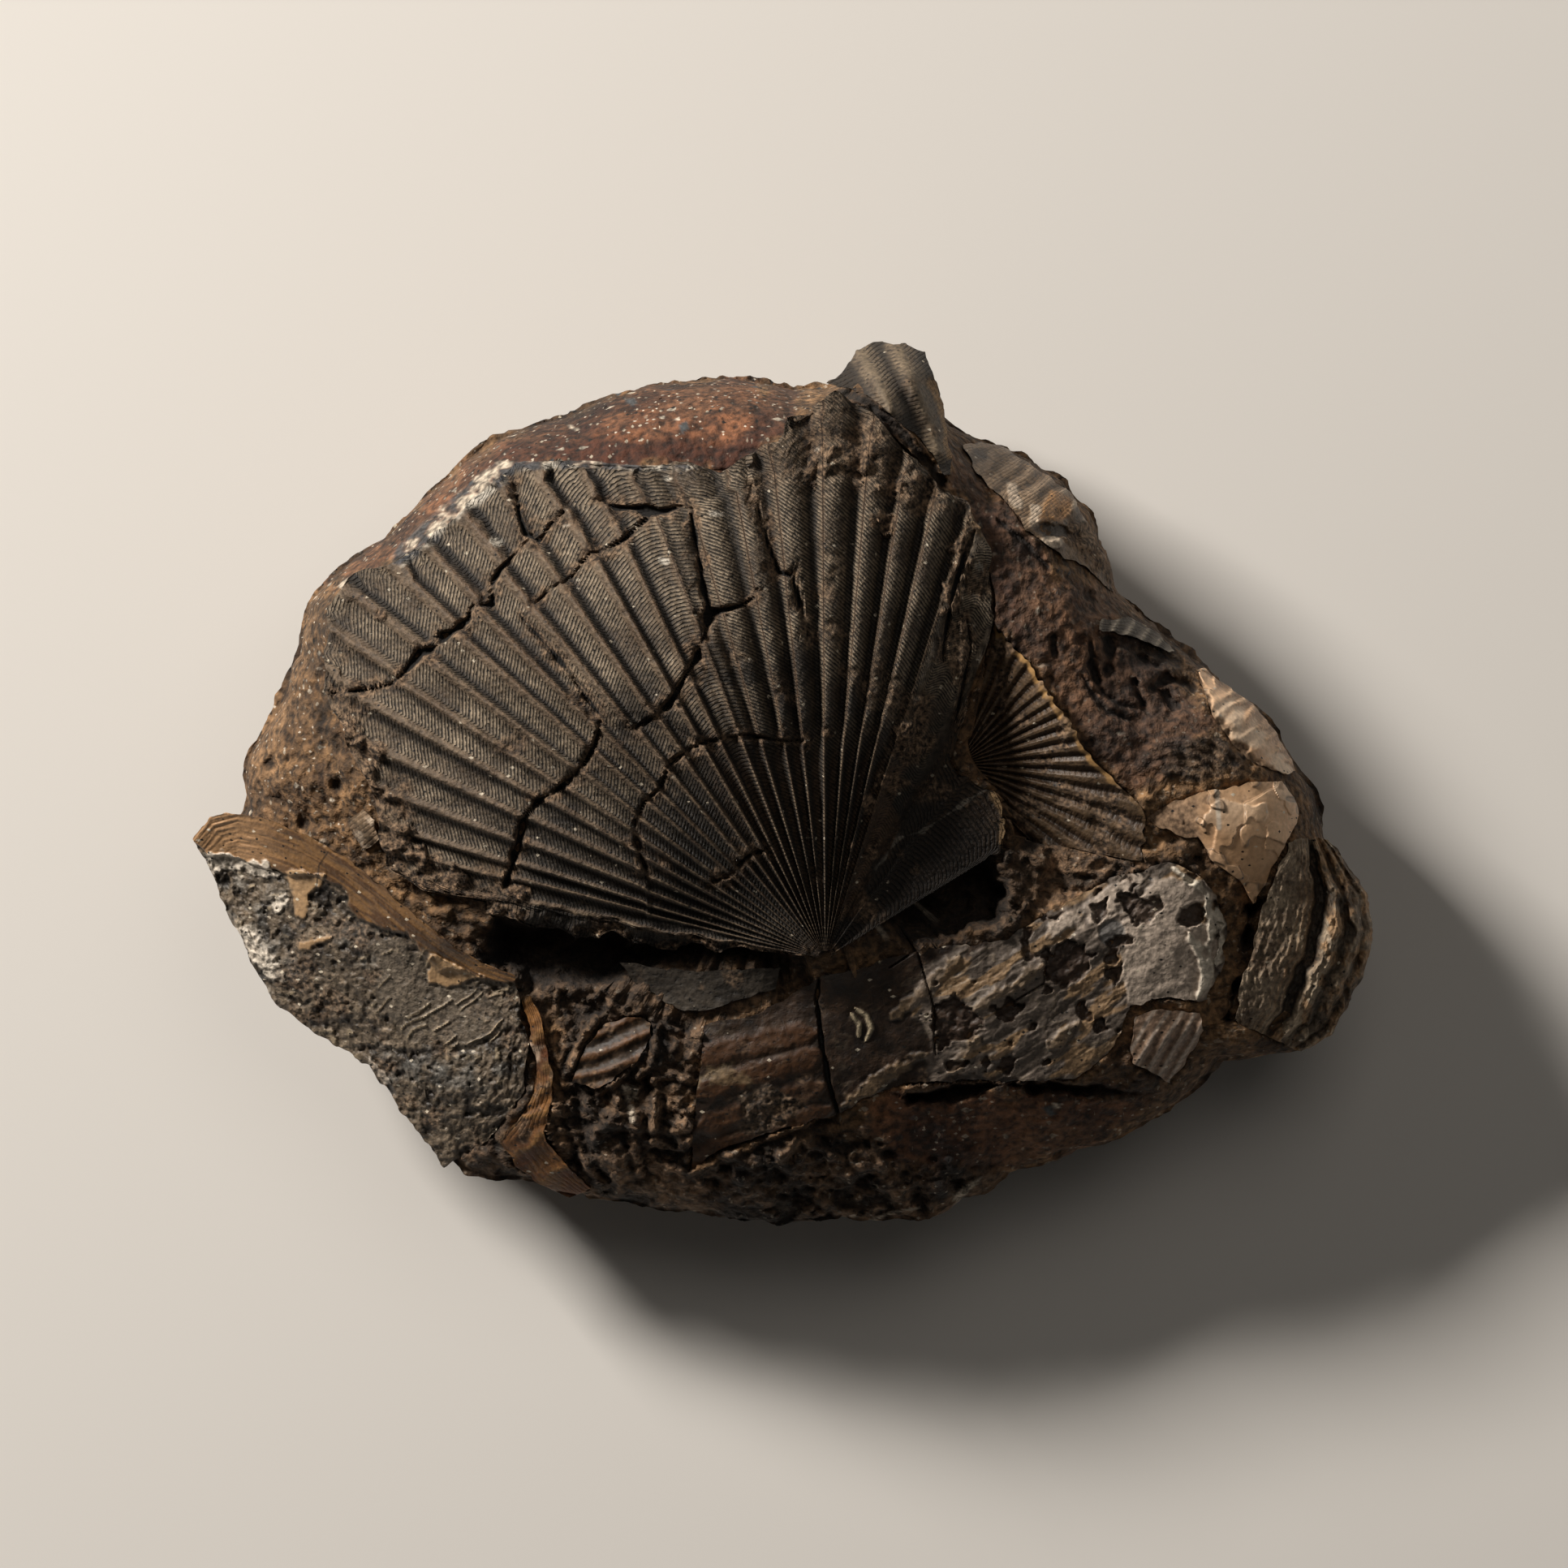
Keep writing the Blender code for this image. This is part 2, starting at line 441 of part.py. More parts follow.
# Flat broken pieces let into the stone: two edge lines, lift over the stone, thickness.
PIECES = {
    "amber_shell_sliver": ([
        (-42.2, -34.6), (-39.5, -38.5), (-39.3, -42.1), (-37.7, -46), (-38.2, -49.9),
        (-39.8, -53.3), (-42.9, -55.9), (-45.5, -58), (-43.2, -60.8), (-39.5, -64.2),
        (-34.6, -66),
    ], [
        (-40.6, -34.1), (-38, -37.7), (-36.7, -41.9), (-35.4, -46.3), (-35.6, -50.2),
        (-37.2, -54.9), (-39.3, -56.9), (-40.6, -58.2), (-38.7, -60.1), (-35.9, -62.1),
        (-31.7, -65),
    ], 1.0, 1.8, plain, steady(11), steady(2)),
    "small_ribbed_fragment": ([
        (-34.1, -47.6), (-32, -42.6), (-29.1, -38.7), (-25.7, -37.2), (-22.4, -37.2),
    ], [
        (-30.4, -49.1), (-26.1, -46.8), (-23.4, -43.7), (-21.4, -40.8), (-21.2, -38.5),
    ], 1.2, 2.0, flutes(4, SMALL_RIB), steady(9), steady(3)),
    "striated_ear_piece": ([
        (-26, -28.6), (-21.6, -29.4), (-13.8, -30.2), (-6, -29.6), (-0.5, -29.4),
    ], [
        (-23.4, -32.5), (-20.5, -33.8), (-16.4, -36.5), (-10.7, -36), (-1.3, -32.5),
    ], 1.0, 1.8, plain, steady(6), steady(3)),
    "lower_scallop_valve": ([
        (-12.7, -38.5), (-4, -36.9), (5.1, -31.3), (12.2, -29.4), (17.4, -27.8), (23.9, -26.5),
        (35.6, -25), (42.1, -20.8), (48.1, -17.4), (52.8, -15.1), (57.7, -14), (62.1, -12.7),
        (66.6, -14.6), (69.4, -17.9), (71, -22.1),
    ], [
        (-15.3, -62.4), (-12.5, -59.7), (-4.7, -56.7), (3.1, -54.5), (9, -52.8), (12.2, -50.6),
        (17.4, -48.4), (27.8, -47.6), (38.2, -47.6), (47.3, -47.3), (53.3, -41.9), (55.4, -35.4),
        (61.6, -34.6), (67.9, -34.6), (70.5, -29.1),
    ], 1.0, 2.2, lengthwise_ribs, steady(17), np.array(LOWER_ROWS)),
    "fluted_shard": ([
        (55.4, -43.4), (56.4, -37.2), (60.3, -36.1), (66.6, -36.7),
    ], [
        (56.2, -45), (61.6, -47.8), (64.5, -44.5), (67.6, -39.5),
    ], 1.6, 2.0, flutes(4, SMALL_RIB), steady(9), steady(3)),
    "tan_shell": ([
        (58, -5.5), (62.9, -2.5), (69.4, -0.8), (75.3, 0.4), (79.8, 0.3), (82.2, -2.3),
    ], [
        (62.1, -7.8), (66.8, -8.6), (68.8, -12.5), (73.3, -15.3), (75.4, -19.5), (80.1, -9.9),
        (82.7, -5.2),
    ], 1.2, 2.2, plain, steady(8), steady(4)),
    "upper_right_shell": ([
        (28.6, 54.3), (31.1, 49.9), (36, 44.7), (38.5, 40.8), (42.4, 38), (48.9, 34.1),
        (53, 31.2),
    ], [
        (32, 53.8), (35.4, 53.3), (37.4, 51.5), (41.6, 48.6), (44.5, 46.8), (47.7, 42.4),
        (49.1, 39.5), (51.2, 34.8), (52.3, 31.7),
    ], 0.9, 1.8, plain, steady(9), steady(4)),
    "dark_ribbed_chip": ([
        (50.2, 24.7), (54.9, 23.7), (61.9, 21.3),
    ], [
        (51.2, 26.5), (55.6, 26.8), (60.3, 24.2), (62.7, 21.6),
    ], 1.2, 2.0, flutes(5, SMALL_RIB), steady(11), steady(2)),
    "right_shoulder_shell": ([
        (66.3, 18.2), (68.4, 11.4), (72.3, 6.2), (76.2, 3), (80.6, 1.4),
    ], [
        (67.6, 18.5), (71, 15.9), (75.9, 12.2), (79.8, 7.3), (82.4, 2.3),
    ], 1.4, 2.4, plain, steady(7), steady(3)),
    "left_shell_chip": ([
        (-69.7, -5.7), (-68.9, -8.8), (-66.8, -10.7),
    ], [
        (-67.6, -4.2), (-65.5, -5.7), (-65, -9.1),
    ], 1.6, 1.6, plain, steady(4), steady(3)),
}
COLOURS = {
    "amber_shell_sliver": (0.30, 0.20, 0.12), "small_ribbed_fragment": (0.07, 0.05, 0.03),
    "striated_ear_piece": (0.16, 0.13, 0.10), "lower_scallop_valve": (0.20, 0.16, 0.12),
    "fluted_shard": (0.45, 0.36, 0.31), "tan_shell": (0.45, 0.32, 0.20),
    "upper_right_shell": (0.30, 0.26, 0.20), "dark_ribbed_chip": (0.10, 0.08, 0.06),
    "right_shoulder_shell": (0.55, 0.47, 0.36), "left_shell_chip": (0.45, 0.40, 0.32),
}
for name, (near, far, lift, thick, relief, columns, rows) in PIECES.items():
    lay_shell(name, between(near, far), columns, rows, lifted(stone_top, lift), relief, thick,
              new_material(name + "_calcite", COLOURS[name], 0.55))

# The dark slab that makes the right edge, with a deep groove along its length.
EDGE_NEAR = [
    (81.4, -9.1), (78.8, -15.1), (75.8, -23.9), (73.8, -30.4), (72.2, -38),
]
EDGE_FAR = [
    (87.6, -8.8), (91.5, -14.2), (93.9, -18.1), (95, -23.9), (93.5, -30.4), (88.3, -40.2),
    (83.2, -43.2),
]
EDGE_SPOTS = [
    (81.4, -9.1, 43), (78.8, -15.1, 44), (75.8, -23.9, 43), (73.8, -30.4, 42), (72.2, -38, 39),
    (87.6, -8.8, 35), (93.9, -18.1, 32), (95, -23.9, 31), (93.5, -30.4, 31), (88.3, -40.2, 30),
    (83.2, -43.2, 30), (84.4, -23.9, 39.5), (86.3, -17.4, 39),
]
EDGE_ROWS = np.array([0.0, 0.3, 0.45, 0.55, 0.7, 1.0])
EDGE_DIP = np.array([0.6, 0.8, -1.8, 0.4, 0.9, 0.0])     # its groove and ridges, row by row


def edge_groove(columns, rows):
    fade = np.interp(columns, [0.0, 0.15, 0.9, 1.0], [0.0, 1.0, 1.0, 0.0])
    return fade[:, None] * EDGE_DIP[None, :]


lay_shell("right_edge_oyster", between(EDGE_NEAR, EDGE_FAR), steady(9), EDGE_ROWS,
          survey(EDGE_SPOTS), edge_groove, 4.5,
          new_material("layered_grey_calcite", (0.15, 0.12, 0.09), 0.6))

# Openings in the stone: two edge lines and the height of the floor. The floor's ends and
# sides rise a little, so that each opening is a dish.
END_RISE, SIDE_RISE = 3.0, 2.0
HOLLOWS = {
    "valve_hollow": ([
        (-46.5, -21.1), (-34.6, -19.8), (-21.6, -20.3), (-11.2, -20.4), (-3.4, -21.3),
        (3.1, -24.7), (4.9, -26.5),
    ], [
        (-47.8, -28.6), (-41.1, -32.5), (-29.4, -33.8), (-23.9, -31.5), (-13.8, -28.1),
        (-0.8, -27.9), (4.4, -27.3),
    ], 41.5),
    "ear_hollow": ([
        (16.1, -20.5), (20.8, -17.2), (24.7, -14.3), (29.9, -11.2), (33.3, -10.7),
    ], [
        (16.6, -24.4), (23.9, -25), (30.4, -23.9), (35.4, -22.6), (36.1, -16.4),
    ], 43.0),
    "edge_gap": ([
        (72.8, -19), (71.9, -26.5), (71.2, -30.4), (69.2, -38.5),
    ], [
        (76.7, -18.5), (75, -26.5), (73.5, -30.4), (71.6, -38.5),
    ], 31.0),
}
for name, (near, far, floor) in HOLLOWS.items():
    grid = between(near, far)(steady(7), steady(4))
    under = np.full(grid.shape[:2], floor)
    under[[0, -1], :] += END_RISE
    under[:, [0, -1]] += SIDE_RISE
    pockets.append(slab(name, grid, under + OPEN_AIR, under, cutters))

for pocket in pockets:
    pocket.display_type = "WIRE"
    pocket.hide_render = True
cut = stone.modifiers.new("beds and hollows", "BOOLEAN")
cut.operation = "DIFFERENCE"
cut.solver = "EXACT"
cut.operand_type = "COLLECTION"
cut.collection = cutters
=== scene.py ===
# %% [markdown]
# # A fossil scallop in its block of shell limestone
#
# The real thing is a fist of limestone, 190 mm long, packed with old shells. One big ribbed
# valve lies on top, and broken shells stick out all round it. We rebuild it as it lies on a
# table with the camera looking straight down. Every length below is in millimetres, in plan:
# x to the right, y away from us, z up. A mesh is turned to metres where it is made.

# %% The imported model
import math
import bpy
import numpy as np
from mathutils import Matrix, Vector


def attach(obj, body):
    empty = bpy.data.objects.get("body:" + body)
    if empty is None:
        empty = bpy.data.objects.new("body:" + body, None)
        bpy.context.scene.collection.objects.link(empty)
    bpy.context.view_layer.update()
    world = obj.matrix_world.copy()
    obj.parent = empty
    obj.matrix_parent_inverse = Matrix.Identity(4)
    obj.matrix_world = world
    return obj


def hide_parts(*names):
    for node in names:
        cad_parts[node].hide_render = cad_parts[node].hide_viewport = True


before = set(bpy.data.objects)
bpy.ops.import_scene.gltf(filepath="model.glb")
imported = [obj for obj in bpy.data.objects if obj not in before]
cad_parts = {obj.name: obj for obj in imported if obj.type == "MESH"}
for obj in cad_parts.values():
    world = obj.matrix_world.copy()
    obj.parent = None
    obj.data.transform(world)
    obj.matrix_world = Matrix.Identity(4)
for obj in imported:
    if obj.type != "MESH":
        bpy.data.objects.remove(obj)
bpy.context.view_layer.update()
MM = 0.001

# %% [markdown]
# ## The camera
#
# The block was photographed from straight above with a long lens, so we hang the camera
# three metres over it and choose the lens from the width of table that the picture holds:
# 1932 pixels at 0.13 mm each.

# %% Camera
PICTURE = 1932 * 0.13
HANG = 3000.0
MIDDLE_HEIGHT = 50.0     # the height at which a pixel is 0.13 mm wide
eye = bpy.data.cameras.new("eye")
eye.sensor_width = 36.0
eye.lens = 36.0 * HANG / PICTURE
eye.clip_end = 10.0
camera = bpy.data.objects.new("eye", eye)
camera.location = (0.0, 0.0, (HANG + MIDDLE_HEIGHT) * MM)
bpy.context.collection.objects.link(camera)
bpy.context.scene.camera = camera
print("lens", round(eye.lens, 1), "mm")

# %% [markdown]
# ## Light
#
# One soft lamp stands low at the upper left, so that every rib throws a shadow to the lower
# right. A faint even sky keeps the shadows from going black. The Standard view keeps the
# stone's own colours.

# %% Lamps, sky and floor
def tint(code):
    """An sRGB hex value as linear colour."""
    parts = [int(code[k:k + 2], 16) / 255 for k in (1, 3, 5)]
    return [p / 12.92 if p <= 0.04045 else ((p + 0.055) / 1.055) ** 2.4 for p in parts] + [1.0]


def node(tree, kind, inputs, out=0, **settings):
    """Adds one node with its settings, values and links, and gives back one output."""
    made = tree.nodes.new("ShaderNode" + kind)
    for key, value in settings.items():
        setattr(made, key, value)
    for socket, value in inputs.items():
        if isinstance(value, bpy.types.NodeSocket):
            tree.links.new(value, made.inputs[socket])
        else:
            made.inputs[socket].default_value = value
    return made.outputs[out]


def lamp(name, azimuth, height, away, size, watts, code):
    """A square soft lamp that looks at the block."""
    data = bpy.data.lights.new(name, "AREA")
    data.size = size
    data.energy = watts
    data.color = tint(code)[:3]
    made = bpy.data.objects.new(name, data)
    turn, rise = math.radians(azimuth), math.radians(height)
    flat = away * math.cos(rise)
    made.location = (flat * math.cos(turn), flat * math.sin(turn), away * math.sin(rise) + 0.05)
    look = Vector((0.0, 0.0, 0.05)) - made.location
    made.rotation_euler = look.to_track_quat("-Z", "Y").to_euler()
    bpy.context.collection.objects.link(made)


lamp("key_lamp", 139.0, 31.0, 1.5, 0.34, 38.0, "#fff7ee")
lamp("fill_lamp", 60.0, 62.0, 1.4, 0.8, 2.2, "#fff6ec")
sky = bpy.data.worlds.new("sky")
bpy.context.scene.world = sky
sky.use_nodes = True
sky.node_tree.nodes["Background"].inputs[0].default_value = tint("#ebe8e2")
sky.node_tree.nodes["Background"].inputs[1].default_value = 0.05
bpy.context.scene.view_settings.view_transform = "Standard"


def new_material(name):
    """An empty Principled material; the caller adds what its surface needs."""
    made = bpy.data.materials.new(name)
    made.use_nodes = True
    return made, made.node_tree, made.node_tree.nodes["Principled BSDF"]


floor_mesh = bpy.data.meshes.new("floor")
floor_mesh.from_pydata([(-3, -3, 0), (3, -3, 0), (3, 3, 0), (-3, 3, 0)], [], [(0, 1, 2, 3)])
floor = bpy.data.objects.new("floor", floor_mesh)
bpy.context.collection.objects.link(floor)
# Matt paper has no gloss, so the shadow on it stays soft and plain.
paper, _, paper_look = new_material("matt_paper")
paper_look.inputs["Base Color"].default_value = tint("#d4d2ce")
paper_look.inputs["Roughness"].default_value = 0.9
floor_mesh.materials.append(paper)
print("lamps", len(bpy.data.lights))

# %% [markdown]
# ## Tools for stone
#
# Rock has no straight edges, so all its forms here are height maps over the plan. `survey`
# draws a smooth surface through a few spot heights, `grain` is soft random relief, and
# `rim_distance` tells how far a point lies inside an outline.

# %% A surface through spot heights
def survey(spots):
    """A smooth surface through spot heights, bent as little as it can be."""
    spot = np.array(spots, float)
    count = len(spot)

    def pull(x, y):
        square = (x[..., None] - spot[:, 0]) ** 2 + (y[..., None] - spot[:, 1]) ** 2
        return 0.5 * square * np.log(square + 1e-6)

    rules = np.zeros((count + 3, count + 3))
    rules[:count, :count] = pull(spot[:, 0], spot[:, 1])
    rules[:count, count] = 1.0
    rules[:count, count + 1:] = spot[:, :2]
    rules[count:, :count] = rules[:count, count:].T
    weight = np.linalg.solve(rules, np.append(spot[:, 2], (0.0, 0.0, 0.0)))

    def height(x, y):
        tilt = weight[count] + weight[count + 1] * x + weight[count + 2] * y
        return pull(x, y) @ weight[:count] + tilt

    return height


SQUARE = [(-1, -1), (1, -1), (1, 1), (-1, 1)]
middle = survey([(x, y, 2.0) for x, y in SQUARE])(np.zeros(1), np.zeros(1))
print("middle of four spots at 2 mm:", round(float(middle[0]), 3), "mm")

# %% Noise
def chance(i, j, seed):
    """A fixed random number from 0 to 1 for each whole-number place."""
    mixed = (i.astype(np.int64) * 374761393 + j.astype(np.int64) * 668265263
             + seed * 1442695041) & 0xFFFFFFFF
    mixed = ((mixed ^ (mixed >> 13)) * 1274126177) & 0xFFFFFFFF
    return ((mixed ^ (mixed >> 16)) & 0xFFFFFF) / 0xFFFFFF


def lumps(x, y, size, seed):
    """Soft random relief from -1 to 1 with lumps of one size."""
    u, v = x / size, y / size
    i, j = np.floor(u), np.floor(v)
    a, b = u - i, v - j
    a, b = a * a * (3 - 2 * a), b * b * (3 - 2 * b)
    low = chance(i, j, seed) * (1 - a) + chance(i + 1, j, seed) * a
    high = chance(i, j + 1, seed) * (1 - a) + chance(i + 1, j + 1, seed) * a
    return 2 * (low * (1 - b) + high * b) - 1


def grain(x, y, size, octaves, seed):
    """Random relief with finer and finer lumps on the coarse ones."""
    total, strength = 0.0, 1.0
    for step in range(octaves):
        c, s = math.cos(step * 1.3), math.sin(step * 1.3)
        total = total + strength * lumps(x * c - y * s, x * s + y * c, size, seed + step)
        size, strength = size * 0.5, strength * 0.55
    return total


sample = grain(*np.mgrid[0:60, 0:60], 7.0, 4, 1)
print("grain goes from", round(float(sample.min()), 2), "to", round(float(sample.max()), 2))

# %% Distances and areas
def ease(low, high, value):
    """Goes smoothly from 0 at low to 1 at high."""
    share = np.clip((value - low) / (high - low), 0.0, 1.0)
    return share * share * (3 - 2 * share)


def line_distance(line, x, y, closed=False):
    """Distance of each point from a line, and how far along it the nearest place is."""
    points = np.array(line, float)[:, :2]
    if closed:
        points = np.vstack([points, points[:1]])
    best = np.full(x.shape, 1e9)
    share = np.zeros(x.shape)
    run = np.append(0.0, np.cumsum(np.hypot(*np.diff(points, axis=0).T)))
    for k, (start, end) in enumerate(zip(points[:-1], points[1:])):
        way = end - start
        t = np.clip(((x - start[0]) * way[0] + (y - start[1]) * way[1]) / (way @ way), 0, 1)
        gap = np.hypot(x - start[0] - t * way[0], y - start[1] - t * way[1])
        nearer = gap < best
        best = np.where(nearer, gap, best)
        share = np.where(nearer, (run[k] + t * (run[k + 1] - run[k])) / run[-1], share)
    return best, share


def rim_distance(outline, x, y):
    """Distance from an outline, positive inside it."""
    points = np.array(outline, float)[:, :2]
    inside = np.zeros(x.shape, bool)
    for (x0, y0), (x1, y1) in zip(points, np.roll(points, -1, axis=0)):
        if y0 != y1:
            crosses = (y0 > y) != (y1 > y)
            inside ^= crosses & (x < (x1 - x0) * (y - y0) / (y1 - y0) + x0)
    gap = line_distance(outline, x, y, closed=True)[0]
    return np.where(inside, gap, -gap)


def from_spot(spot, x, y, squash=1.0):
    """Distance from a spot; squash makes the rings round it lower than they are wide."""
    return np.hypot(x - spot[0], squash * (y - spot[1]))


def patch(outline, x, y, soft=1.5, ragged=1.5, seed=5):
    """1 inside an outline and 0 outside, with a ragged soft edge."""
    edge = rim_distance(outline, x, y) + ragged * grain(x, y, 3.0, 3, seed)
    return ease(-soft / 2, soft / 2, edge)


def patches(outlines, x, y, soft, ragged, seed):
    """1 inside any of the outlines and 0 outside."""
    return np.maximum.reduce([patch(outline, x, y, soft, ragged, seed + k)
                              for k, outline in enumerate(outlines)])


def flakes(outlines, x, y, high, ragged, size, seed):
    """Like patches, with a crisp edge whose rags have their own size."""
    edges = [rim_distance(outline, x, y) + ragged * grain(x, y, size, 3, seed + k)
             for k, outline in enumerate(outlines)]
    return ease(-0.1, high, np.maximum.reduce(edges))


print("the middle of a 2 mm square is", float(rim_distance(SQUARE, np.zeros(1), np.zeros(1))[0]),
      "mm from its rim")


# %% [markdown]
# ## Laying a shell out
#
# A broken shell is a plate between two edge lines, and a whole valve is a fan of rays round
# its beak. Either gives a plan grid. The heights then go on top, and a coarse underside and
# straight rims close the body.

# %% Plan grids
def along(line, share):
    """The points at the given shares, 0 to 1, of a line's length."""
    points = np.array(line, float)
    run = np.append(0.0, np.cumsum(np.hypot(*np.diff(points, axis=0).T)))
    return np.column_stack([np.interp(share * run[-1], run, part) for part in points.T])


def between(near, far, wide, deep, ragged=0.35, seed=3):
    """A plan grid between two lines, with its rim worn ragged."""
    u, v = np.linspace(0, 1, wide), np.linspace(0, 1, deep)
    start, end = along(near, u)[:, None, :], along(far, u)[:, None, :]
    grid = start + (end - start) * v[None, :, None]
    x, y = grid[..., 0], grid[..., 1]
    hold = np.maximum(abs(u * 2 - 1)[:, None] ** 6, abs(v * 2 - 1)[None, :] ** 6)
    wear = np.stack([grain(x, y, 2.2, 3, seed), grain(x, y, 2.2, 3, seed + 9)], 2)
    return grid + ragged * wear * hold[..., None], u[:, None] + 0 * x, v[None, :] + 0 * x


print("a grid of", between(SQUARE[:2], SQUARE[3:1:-1], 3, 2)[0].shape)

# %% A closed plate
SHARP_FROM = 60.0     # degrees between two faces
UNBROKEN = 9.0        # a plate's distance from a crack, in mm, where it has none


def plate(name, grid, top, thick, step, look, facts):
    """A closed plate: a fine top, a coarse underside and rims between them."""
    wide, deep = top.shape
    across = sorted(set(range(0, wide - 1, step)) | {wide - 1})
    down = sorted(set(range(0, deep - 1, step)) | {deep - 1})
    upper = np.dstack([grid, top]).reshape(-1, 3)
    under = np.dstack([grid, top - thick])[np.ix_(across, down)].reshape(-1, 3)
    at = np.arange(wide * deep).reshape(wide, deep)
    low = wide * deep + np.arange(len(across) * len(down)).reshape(len(across), len(down))
    area = np.sum((grid[1:, 1:, 0] - grid[:-1, :-1, 0]) * (grid[:-1, 1:, 1] - grid[1:, :-1, 1])
                  - (grid[1:, 1:, 1] - grid[:-1, :-1, 1]) * (grid[:-1, 1:, 0] - grid[1:, :-1, 0]))
    quads = np.stack([at[:-1, :-1], at[1:, :-1], at[1:, 1:], at[:-1, 1:]], -1).reshape(-1, 4)
    lows = np.stack([low[:-1, :-1], low[:-1, 1:], low[1:, 1:], low[1:, :-1]], -1).reshape(-1, 4)
    faces = quads.tolist() + lows.tolist()
    for a, b, i in zip(across[:-1], across[1:], range(len(across))):
        faces.append([int(low[i, 0]), int(low[i + 1, 0])] + at[a:b + 1, 0][::-1].tolist())
        faces.append([int(low[i + 1, -1]), int(low[i, -1])] + at[a:b + 1, -1].tolist())
    for a, b, j in zip(down[:-1], down[1:], range(len(down))):
        faces.append([int(low[0, j + 1]), int(low[0, j])] + at[0, a:b + 1].tolist())
        faces.append([int(low[-1, j]), int(low[-1, j + 1])] + at[-1, a:b + 1][::-1].tolist())
    # A grid that runs the other way round would be inside out.
    if area < 0:
        faces = [face[::-1] for face in faces]
    mesh = bpy.data.meshes.new(name)
    mesh.from_pydata((np.vstack([upper, under]) * MM).tolist(), [], faces)
    for label, values in facts.items():
        layer = mesh.attributes.new(label, "FLOAT", "POINT")
        whole = np.concatenate([values.ravel(), values[np.ix_(across, down)].ravel()])
        layer.data.foreach_set("value", whole.astype(np.float32))
    mesh.materials.append(look)
    mesh.shade_smooth()
    mesh.set_sharp_from_angle(angle=math.radians(SHARP_FROM))
    made = bpy.data.objects.new(name, mesh)
    bpy.context.collection.objects.link(made)
    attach(made, "root")
    print(name, "faces", len(faces), "z", round(float(top.min()), 1), round(float(top.max()), 1))
    return made


print("edges are sharp from", SHARP_FROM, "degrees")

# %% [markdown]
# ## The stone's form
#
# The block is a pebble-like lump. Its upper face follows spot heights and rounds over near
# the outline; its underside is a belly that ends in a flat spot. These are the same numbers
# as the solid's, so the dressed stone lies where the solid does.

# %% Spot heights of the stone and of the big valve, and the outline
STONE_SPOTS = [
    (-69.7, 32, 51), (-60.6, 42.4, 54), (-52.8, 46.3, 56), (-42.4, 54.1, 57), (-32, 54.7, 58),
    (-21.6, 55.4, 59), (-12.5, 54.1, 61), (-4.7, 58, 60), (-71, 21.6, 50), (-80.1, 8.6, 43),
    (-73.6, 2.1, 47), (-82.7, -4.4, 37), (-67.1, -9.6, 47), (-58, -16.8, 48), (-86.6, -12.2, 31),
    (-73.6, -21.3, 38), (-60.6, -30.4, 41), (-52.8, -36.9, 42), (-67.1, -36.9, 34),
    (-45, -43.4, 42), (-54.1, -53.8, 34), (-42.4, -30.4, 45), (-42.4, -35.6, 45),
    (-29.4, -35, 46), (-21.6, -35.6, 47), (-8.6, -37.6, 49), (1.8, -31.7, 50), (-34.6, -43.4, 44),
    (-26.8, -43.4, 46), (-34.6, -56.4, 38), (-21.6, -56.4, 41), (-13.8, -49.9, 45),
    (-2.1, -43.4, 48), (4.4, -56.4, 41), (-8.6, -62.9, 36), (17.4, -30.4, 51), (30.4, -27.8, 51),
    (43.4, -23.9, 50), (56.4, -21.3, 48), (66.8, -23.9, 45), (30.4, -38.2, 48), (43.4, -35.6, 46),
    (56.4, -35.6, 44), (23.9, -47.3, 43), (43.4, -47.3, 42), (56.4, -46, 40), (30.4, -56.4, 36),
    (49.9, -53.8, 35), (30.4, 26.8, 58), (29.1, 41.1, 57), (38.2, 41.1, 53), (43.4, 28.1, 55),
    (36.9, 28.1, 57), (49.9, 15.1, 53), (59, 15.1, 48), (66.8, 8.6, 48), (49.9, 6, 54),
    (59, 2.1, 51), (69.4, 2.1, 48), (62.9, -7, 50), (75.9, -4.4, 46), (77.2, -14.8, 43),
    (72, -25.2, 41), (82.4, -17.4, 37), (87.6, -23.9, 33), (77.2, -34.3, 37), (30.4, 52.8, 49),
    (39.5, 46.3, 48), (47.3, 34.6, 48), (14.8, 63.2, 63), (20.7, 60.6, 63), (25.2, 52.8, 60),
    (36.9, 8.6, 52), (46, -9.6, 48), (43.4, -16.1, 49),
]
STONE_OUTLINE = [
    (-90.2, -12), (-87.6, -4.4), (-86.6, 3.4), (-82.3, 11.8), (-78.7, 20.9), (-76.8, 29.4),
    (-72.9, 33.9), (-64.5, 39.8), (-54.7, 48.9), (-46.9, 55.4), (-35.2, 59.3), (-28.1, 62.9),
    (-17.7, 64.7), (-7.9, 65.4), (1.2, 63.6), (7, 64), (10.4, 65.8), (12.5, 68.4), (15.9, 69.4),
    (20.5, 69.2), (22.9, 65.5), (26, 58.6), (31.7, 55.9), (37.6, 53.3), (45.4, 48.6),
    (49.3, 43.9), (53.8, 30.9), (57.7, 27.2), (62.9, 23.3), (71, 16.6), (77.5, 11.2), (82, 4),
    (85.7, -1.8), (87.1, -8.3), (91.3, -15.1), (93.6, -22.6), (92.3, -30.4), (87.6, -39.5),
    (83.1, -43.3), (70.7, -44.7), (63.6, -51.2), (51.9, -58.1), (38.2, -62), (32.8, -66.2),
    (23.9, -69.4), (16.1, -70.7), (9.6, -69.8), (-0.8, -70.7), (-15.1, -69), (-28.1, -66.8),
    (-39.8, -64.9), (-50.2, -62.7), (-53.3, -60.8), (-58.1, -53.8), (-65.3, -44.1),
    (-71.5, -40.6), (-80.2, -34.1), (-86.1, -23.9), (-89.3, -16.9),
]
